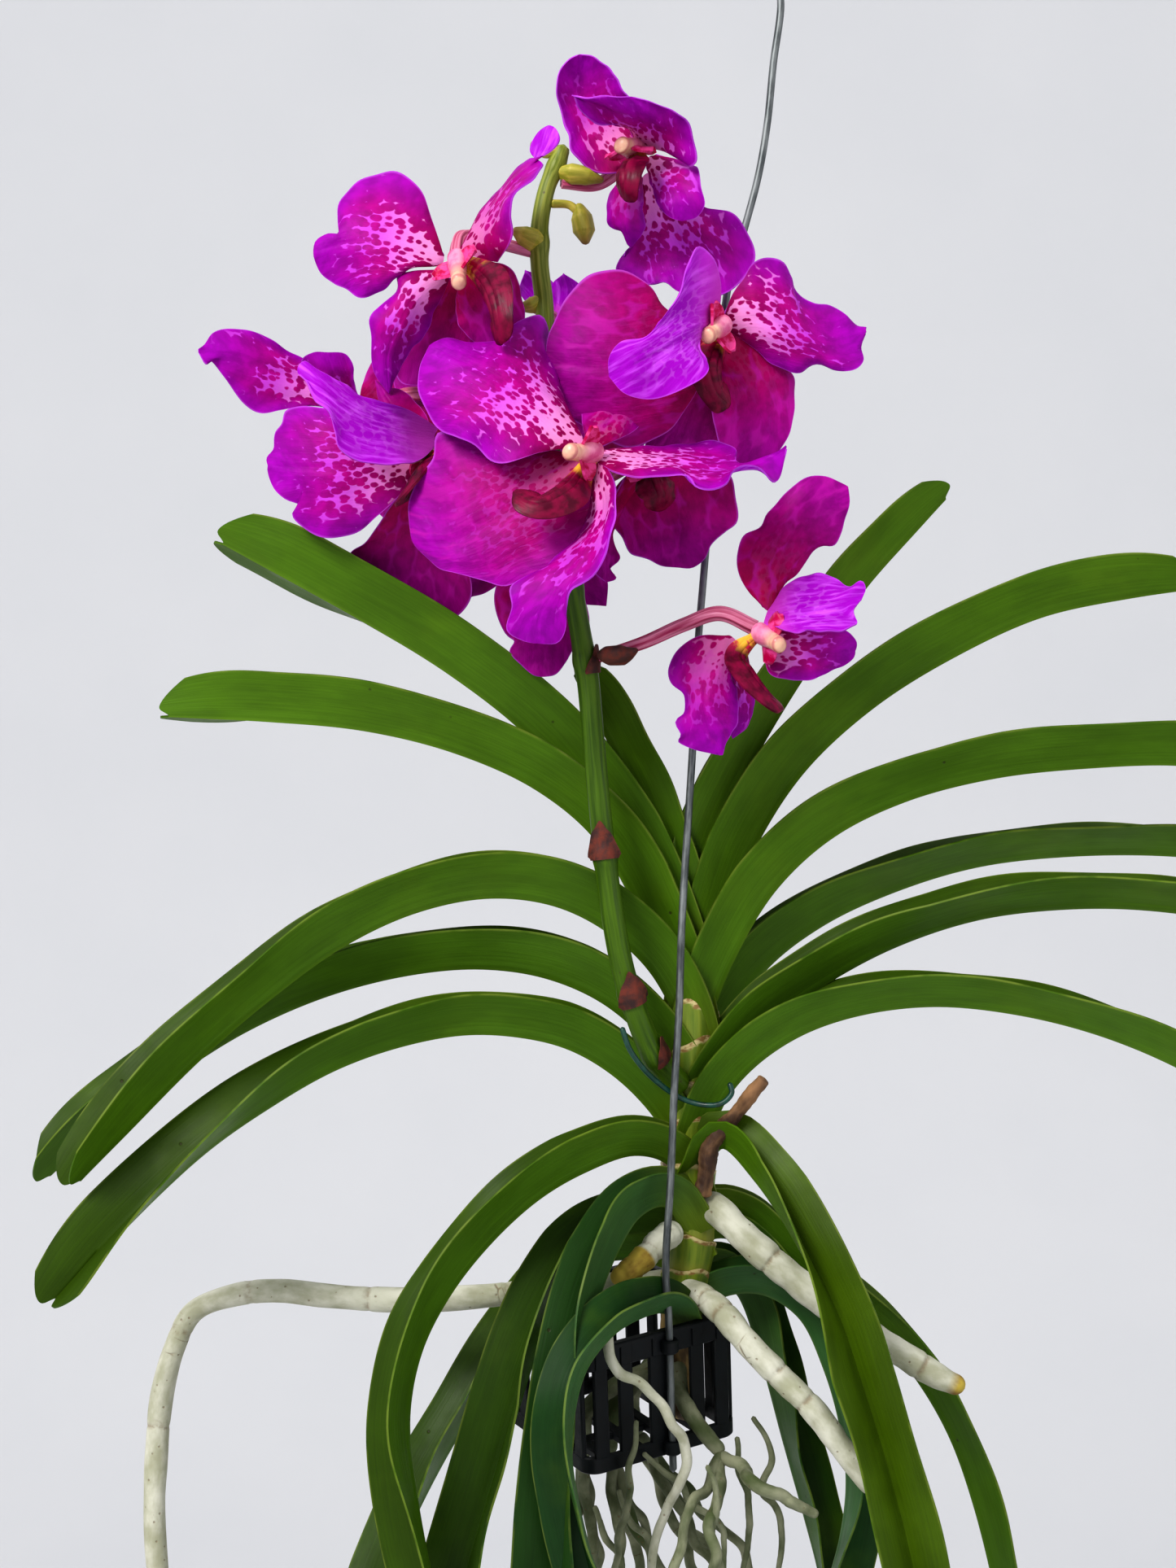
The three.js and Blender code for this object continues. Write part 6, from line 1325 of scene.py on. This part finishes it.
def knobbly(seed, strength):
    """Uneven girth of a bar: strength is the share by which its radius varies."""
    chance = np.random.RandomState(seed)
    phase = chance.uniform(0, 2 * math.pi, 6)

    def lumps(u, turn):
        wide = np.sin(23 * u + phase[0]) + 0.6 * np.sin(61 * u + phase[1] + turn)
        fine = 0.5 * np.sin(111 * u + 2 * turn + phase[2])
        fine = fine + 0.4 * np.sin(3 * turn + 37 * u + phase[3])
        return 1 + strength * (wide + fine) / 2
    return lumps


def add_bar(stock, line, radii, sides, lumps=None, seed=0, cap=1.0):
    """A round bar with rounded ends, its radii in millimetres."""
    count = len(line)
    length = np.sum(np.linalg.norm(np.diff(line, axis=0), axis=1))
    reach = round_ends(ramp(radii, np.linspace(0, 1, count)) * MM, count, length, cap)
    tube(stock, line, reach, sides, lumps=lumps, seed=seed)


def add_sleeve(stock, line, girth, foot, length, side, spread, flare, point, thick, seed):
    """A sheath that clasps a bar from its foot upward. side turns its middle away from the viewer's
    line of sight, spread is its half turn, and point is how much its free edge rises to a tip."""
    nearest = int(np.argmin(np.linalg.norm(line - place(foot), axis=1)))
    gap = np.linalg.norm(line[1] - line[0])
    along, out = carried(line, (0, -1, 0.0))
    across = np.cross(along, out)
    rows, cols = 18, 31
    h = np.linspace(0, 1, rows)[:, None]
    t = np.linspace(-1, 1, cols)[None, :]
    rise = h * (1 - point * np.abs(t) ** 1.5)
    rise = rise * (1 + 0.04 * np.sin(11 * t + seed) * h)
    at = nearest + rise * length * MM / gap
    at = np.clip(at, 0, len(line) - 1) / (len(line) - 1)
    turn = np.radians(side + spread * t) + 0 * h
    spot, o, a = sample(line, at), sample(out, at), sample(across, at)
    reach = sample(girth[:, None], at)[..., 0] + MM * (thick * 0.6 + flare * h ** 2)
    ray = np.cos(turn)[..., None] * o + np.sin(turn)[..., None] * a
    middle = spot + reach[..., None] * ray
    body = np.full((rows, cols), thick * MM) * (1 - 0.5 * h)
    grain = np.stack([rise * length * MM, turn * 5 * MM, np.full((rows, cols), seed * 0.2)], -1)
    blade(stock, middle, ray, body, grain=grain, share=np.broadcast_to(h, (rows, cols)))


def oriented(verts, faces):
    """Faces of a convex body, all turned outward."""
    v = np.asarray(verts, float)
    centre = v.mean(0)
    out = []
    for face in faces:
        a, b, c = v[face[0]], v[face[1]], v[face[2]]
        turned = np.dot(np.cross(b - a, c - a), v[list(face)].mean(0) - centre) < 0
        out.append(tuple(face[::-1]) if turned else tuple(face))
    return out


def slab(stock, centre, size, turn=0.0, bevel=0.45):
    """A box with bevelled edges, in the basket's axes, turned about the basket's middle."""
    half = np.array(size) / 2
    verts, index = [], {}
    for corner in itertools.product((-1, 1), repeat=3):
        for axis in range(3):
            spot = np.array(corner) * (half - bevel)
            spot[axis] = corner[axis] * half[axis]
            index[corner, axis] = len(verts)
            verts.append(spot + centre)
    faces = []
    for axis in range(3):
        p, q = [k for k in range(3) if k != axis]
        for sign in (-1, 1):
            ring = []
            for sp, sq in ((-1, -1), (1, -1), (1, 1), (-1, 1)):
                corner = [0, 0, 0]
                corner[axis], corner[p], corner[q] = sign, sp, sq
                ring.append(index[tuple(corner), axis])
            faces.append(ring)
        for sp, sq in itertools.product((-1, 1), repeat=2):
            ends = []
            for sign in (-1, 1):
                corner = [0, 0, 0]
                corner[axis], corner[p], corner[q] = sign, sp, sq
                ends.append(tuple(corner))
            faces.append([index[ends[0], p], index[ends[1], p], index[ends[1], q], index[ends[0], q]])
    for corner in itertools.product((-1, 1), repeat=3):
        faces.append([index[corner, axis] for axis in range(3)])
    angle = math.radians(turn)
    verts = np.array(verts)
    x = verts[:, 0] * math.cos(angle) - verts[:, 1] * math.sin(angle)
    y = verts[:, 0] * math.sin(angle) + verts[:, 1] * math.cos(angle)
    verts = np.stack([x, y, verts[:, 2]], -1)
    stock.add(in_basket(verts), oriented(verts, faces), grain=verts * MM)


def band(stock, low, high, wall, swell=0.0):
    """A rounded square ring between two levels; swell thickens its upper edge outward."""
    half, corner = BASKET["width"] / 2, BASKET["corner"]
    outline = []
    for k in range(4):
        for t in np.linspace(0, math.pi / 2, 9):
            angle = k * math.pi / 2 + t
            turn = k * math.pi / 2
            cx = (half - corner) * (math.cos(turn) - math.sin(turn))
            cy = (half - corner) * (math.sin(turn) + math.cos(turn))
            outline.append((cx, cy, math.cos(angle), math.sin(angle)))
    outline = np.array(outline)
    bevel = 0.5
    section = [(0, low + bevel), (0, high - 2.2), (swell, high - 1.8), (swell, high - bevel),
               (swell - bevel, high), (bevel - wall, high), (-wall, high - bevel), (-wall, low + bevel),
               (bevel - wall, low), (-bevel, low)]
    verts = []
    for cx, cy, nx, ny in outline:
        for out, level in section:
            verts.append((cx + nx * (corner + out), cy + ny * (corner + out), level))
    n, m = len(outline), len(section)
    faces = [(i * m + j, (i + 1) % n * m + j, (i + 1) % n * m + (j + 1) % m, i * m + (j + 1) % m)
             for i in range(n) for j in range(m)]
    stock.add(in_basket(verts), outward(in_basket(verts), faces), grain=np.array(verts) * MM)


def add_basket(material):
    stock = Stock()
    width, height, wall = BASKET["width"], BASKET["height"], BASKET["wall"]
    rim, base = BASKET["rim"], BASKET["base"]
    band(stock, -rim, 0, wall, 0.9)
    band(stock, -height, base - height, wall)
    inset = (width - wall) / 2
    tall = height - rim - base + 2
    for side in range(4):
        for x, w in BASKET["slats"]:
            slab(stock, (x, -inset, -(height + rim - base) / 2), (w, wall - 0.3, tall), 90 * side)
            slab(stock, (x, -inset - wall / 2 - 0.2, -rim / 2), (w * 0.8, 0.8, rim - 1), 90 * side, 0.2)
        for level in (-rim * 0.6, base * 0.6 - height):
            slab(stock, (WIRE_SEAT["along"], -inset - 1.6, level), (3.0, 3.2, 4.5), 90 * side)
            add_lug(stock, 90 * side, level)
    floor_level = 1.6 - height
    for x in BASKET["bars"]:
        slab(stock, (x, 0, floor_level), (4.4, width - wall, 3))
    slab(stock, (0, BASKET["cross_bar"], floor_level), (width - wall, 4.4, 2.6))
    settle(stock.build("basket_tray", material, HARD_EDGE), "basket_plastic", "basket")


def add_lug(stock, turn, level):
    """The short collar that holds the wire against a wall."""
    inner, outer, tall, sides = WIRE_RADIUS + 0.35, 3.1, 4.8, 24
    x, y = WIRE_SEAT["along"], WIRE_SEAT["out"]
    bevel = 0.5
    section = [(inner, -tall / 2), (outer - bevel, -tall / 2), (outer, bevel - tall / 2),
               (outer, tall / 2 - bevel), (outer - bevel, tall / 2), (inner, tall / 2)]
    angle = math.radians(turn)
    verts = []
    for t in np.linspace(0, 2 * math.pi, sides, endpoint=False):
        for reach, rise in section:
            px, py = x + reach * math.cos(t), y + reach * math.sin(t)
            verts.append((px * math.cos(angle) - py * math.sin(angle),
                          px * math.sin(angle) + py * math.cos(angle), level + rise))
    m = len(section)
    faces = [(i * m + j, (i + 1) % sides * m + j, (i + 1) % sides * m + (j + 1) % m, i * m + (j + 1) % m)
             for i in range(sides) for j in range(m)]
    stock.add(in_basket(verts), outward(in_basket(verts), faces), grain=np.array(verts) * MM)


def wire_line():
    """The wire from its lowest end up to the end of the hook, in metres."""
    seat = in_basket([(WIRE_SEAT["along"], WIRE_SEAT["out"], z) for z in WIRE_SEAT["levels"]])
    points = [*seat, *place(WIRE), *(np.array(HOOK["approach"]) * MM)]
    radius = HOOK["radius"]
    for turn in range(HOOK["start"], HOOK["stop"] - 1, -HOOK_STEP):
        angle = math.radians(turn)
        spot = (radius * math.cos(angle), 0, radius * math.sin(angle) - radius + WIRE_RADIUS)
        points.append(np.array(spot) * MM)
    return smooth_line(points, 420)[0]


def add_stem():
    line, _ = smooth_line(place(STEM["path"]), 160)
    u = np.linspace(0, 1, 160)
    girth = ramp(STEM["radii"], u) * MM
    core = Stock()
    add_bar(core, line, STEM["radii"], 32, knobbly(3, 0.04))
    settle(core.build("stem_core", stem_paint()), "stem_bark", "stem")
    sheaths = Stock()
    for k, (foot, length, side) in enumerate(SHEATHS):
        add_sleeve(sheaths, line, girth, foot, length, side, 150, 1.2, 0.45, 1.0, k)
    settle(sheaths.build("stem_sheaths", sheath_paint()), "stem_bark", "stem")


def add_spike():
    line, length = smooth_line(place(SPIKE["path"]), 300)
    u = np.linspace(0, 1, 300)
    radii = ramp(SPIKE["radii"], u)
    for spot in SPIKE["nodes"]:
        at = np.argmin(np.linalg.norm(line - place(spot), axis=1)) / 299
        radii = radii + 0.7 * np.exp(-((u - at) * length / (3.5 * MM)) ** 2)
    scape = Stock()
    add_bar(scape, line, radii, 28, lambda s, t: 1 + 0.02 * np.cos(5 * t + 9 * s), cap=0.8)
    settle(scape.build("spike_scape", scape_paint()), "spike_green", "flower_spike")
    dry = Stock()
    for k, (foot, tall, side) in enumerate(BRACTS):
        add_sleeve(dry, line, radii * MM, foot, tall, side, 80, 0.9, 0.9, 0.6, k + 20)
    settle(dry.build("spike_bracts", paints["dry"]), "spike_green", "flower_spike")
    clasp = Stock()
    path, _ = smooth_line(place(PEDICEL_BRACT["path"]), 40)
    add_bar(clasp, path, PEDICEL_BRACT["radii"], 24, lambda s, t: 1 + 0.12 * np.cos(2 * t), 33, cap=0.5)
    settle(clasp.build("spike_clasp", paints["dry"]), "spike_green", "flower_spike")
    buds = Stock()
    for k, bud in enumerate(BUDS):
        path, _ = smooth_line(place(bud["path"]), 40)
        add_bar(buds, path, bud["radii"], 24, lambda s, t: 1 + 0.09 * np.cos(3 * t), k + 40, cap=0.6)
    settle(buds.build("spike_buds", bud_paint()), "spike_green", "flower_spike")


def add_root(name, root, material, seed):
    line, length = smooth_line(place(root["path"]), 260)
    u = np.linspace(0, 1, 260)
    radii = ramp(root["radii"], u) * (1 + 0.035 * np.sin(31 * u + seed) + 0.02 * np.sin(77 * u))
    for at in root["creases"]:
        radii = radii * (1 - 0.07 * np.exp(-((u - at) * length / (0.9 * MM)) ** 2))
    stock = Stock()
    add_bar(stock, line, radii, 28, knobbly(seed, 0.025), seed)
    tip = np.clip((stock.marks["share"][0] - root["tip"]) * 30, 0, 1)
    crease = np.max([np.exp(-((stock.marks["share"][0] - at) * length / (0.9 * MM)) ** 2)
                     for at in root["creases"]], axis=0)
    stock.marks["pattern"] = [tip]
    stock.marks["tint"] = [crease]
    settle(stock.build(name + "_bark", material), "root_velamen", name)


def wavy(points, count, sway, seed):
    """A smooth line through the points, with small bends of its own."""
    line, length = smooth_line(points, count)
    along, out = carried(line, (0, -1, 0.3))
    chance = np.random.RandomState(seed)
    phase = chance.uniform(0, 2 * math.pi, 4)
    u = np.linspace(0, 1, count)
    ease = np.sin(math.pi * np.clip(u * 1.3, 0, 1)) ** 0.5
    beats = length / (28 * MM) * 2 * math.pi
    a = np.sin(beats * u + phase[0]) + 0.4 * np.sin(2.3 * beats * u + phase[1])
    b = np.sin(1.1 * beats * u + phase[2]) + 0.4 * np.sin(1.9 * beats * u + phase[3])
    reach = (sway * MM * ease)[:, None]
    return line + reach * a[:, None] * out + reach * b[:, None] * np.cross(along, out)


def add_bunch(name, bunch, material, seed):
    stock = Stock()
    trunk, _ = smooth_line(in_basket(bunch["trunk"]), 60)
    add_bar(stock, trunk, [3, 3, 2.6], 20, knobbly(seed, 0.05), seed)
    fork = trunk[-1]
    for k, (first, last, radius) in enumerate(bunch["strands"]):
        first, last = place(first), place(last)
        line = wavy([fork, (fork + first) / 2, first, last], 140, 1.1, seed + k)
        add_bar(stock, line, [2.2, radius, radius, radius * 0.7], 16, knobbly(seed + k, 0.06), seed + k)
    for k, path in enumerate(bunch["fine"]):
        line = wavy(place(path), 120, 0.8, seed + 20 + k)
        add_bar(stock, line, [0.9, 1.3, 1.2, 0.8], 14, knobbly(seed + k, 0.07), seed + 20 + k)
    settle(stock.build(name + "_strands", material), "root_green", name)


BLOOM_SEED, ROOT_SEED, BUNCH_SEED = 100, 200, 300

leaf_material = leaf_paint()
for k, (name, leaf) in enumerate(LEAVES.items()):
    add_leaf(name, leaf, leaf_material, k + 1)

paints = {
    "petal": petal_paint(),
    "lip": lip_paint(),
    "column": column_paint(),
    "pedicel": plain_paint("pedicel", "dc86a6", "a0124e", 1.0, (0.4, 0.5), stretch=(40, 900, 900)),
    "dry": plain_paint("dry_bract", "2c0d0a", "682a1c", 260.0, (0.6, 0.85), 0.0006),
}
for k, (name, bloom) in enumerate(BLOOMS.items()):
    add_bloom(name, bloom, paints, BLOOM_SEED + 10 * k)

root_material = velamen_paint("velamen", "9c9c84", "cac9ba", "868c64", 0.35)
green_root_material = velamen_paint("green_root", "50583a", "8e9076", "364612", 0.95)
for k, (name, root) in enumerate(ROOTS.items()):
    add_root(name, root, root_material, ROOT_SEED + k)
thin = Stock()
add_bar(thin, wavy(place(THIN_ROOT), 260, 0.7, 7), [1.7, 1.8, 1.8, 1.7, 1.2], 18, knobbly(9, 0.07), 9)
settle(thin.build("root_thin_front_bark", root_material), "root_velamen", "root_thin_front")
for k, (name, bunch) in enumerate(BUNCHES.items()):
    add_bunch(name, bunch, green_root_material, BUNCH_SEED + 40 * k)
add_stem()
add_spike()
dead = Stock()
dead_line, _ = smooth_line(place(DEAD_SPIKE["path"]), 120)
add_bar(dead, dead_line, DEAD_SPIKE["radii"], 24, knobbly(5, 0.09), 5, 0.4)
dead_material = plain_paint("dead_spike", "3a2216", "96704c", 160.0, (0.7, 0.9), 0.0008, (0.4, 1.0, 1.0))
settle(dead.build("dead_spike_bark", dead_material), "dry_spike", "dead_spike")
wire = Stock()
add_bar(wire, wire_line(), [WIRE_RADIUS], 20, knobbly(6, 0.012), 6)
wire_material = plain_paint("wire", "4c5052", "85898a", 420.0, (0.42, 0.6), 0.0001, (0.2, 1, 1),
                            Metallic=0.8)
settle(wire.build("hanger_wire_rod", wire_material), "wire_steel", "hanger_wire")
clip = Stock()
add_bar(clip, smooth_line(place(CLIP), 160)[0], [0.95], 16, None, 4)
clip_material = plain_paint("clip", "03261e", "084436", 260.0, (0.34, 0.48))
settle(clip.build("spike_clip_loop", clip_material), "clip_plastic", "spike_clip")
add_basket(plain_paint("basket", "06090c", "0d1216", 240.0, (0.4, 0.58), 0.0001,
                       Specular_IOR_Level=0.25))

# Stage and light

# The floor runs back from FLOOR_FRONT, sweeps up in a quarter round and goes on as a wall
FLOOR_LEVEL, FLOOR_FRONT, WALL_DEPTH, WALL_TOP = -1.3, -6.0, 3.0, 6.0
HALF_WIDTH, SWEEP, SWEEP_STEPS = 8.0, 1.0, 12
profile = [(FLOOR_FRONT, FLOOR_LEVEL), (WALL_DEPTH - SWEEP, FLOOR_LEVEL)]
for k in range(1, SWEEP_STEPS + 1):
    turn = k / SWEEP_STEPS * math.pi / 2
    profile.append((WALL_DEPTH - SWEEP + SWEEP * math.sin(turn),
                    FLOOR_LEVEL + SWEEP - SWEEP * math.cos(turn)))
profile.append((WALL_DEPTH, WALL_TOP))
stage_verts = [(x, y, z) for y, z in profile for x in (-HALF_WIDTH, HALF_WIDTH)]
stage_faces = [(2 * i, 2 * i + 1, 2 * i + 3, 2 * i + 2) for i in range(len(profile) - 1)]
paper = Paint("paper")
grain = paper.node("ShaderNodeTexCoord").outputs["Object"]
paper_material = paper.finish(paper.mix(paper.noise(grain, 3.0), "dcdde0", "e4e4e6"), 0.95)
floor = mesh_object("floor", stage_verts, stage_faces, paper_material)


PLANT_MIDDLE = (-0.07, 0, -0.3)


def lamp(name, spot, aim, size, power, colour=(1, 1, 1)):
    """A square soft lamp, in metres and watts, turned to a point."""
    light = bpy.data.lights.new(name, "AREA")
    light.shape, light.size, light.energy, light.color = "SQUARE", size, power, colour
    made = bpy.data.objects.new(name, light)
    made.location = spot
    made.rotation_euler = (Vector(aim) - Vector(spot)).to_track_quat("-Z", "Y").to_euler()
    bpy.context.scene.collection.objects.link(made)


lamp("key", (-1.1, -1.5, 0.9), PLANT_MIDDLE, 0.7, 40, (1.0, 0.98, 0.95))
lamp("fill", (1.6, -1.2, 0.0), (-0.07, 0, -0.35), 1.5, 5)

world = bpy.data.worlds.new("world")
world.use_nodes = True
sky = world.node_tree.nodes["Background"].inputs
sky["Color"].default_value = (0.9, 0.91, 0.93, 1)
sky["Strength"].default_value = 0.78
bpy.context.scene.world = world
bpy.context.scene.view_settings.view_transform = "Standard"
bpy.context.scene.view_settings.look = "Medium High Contrast"
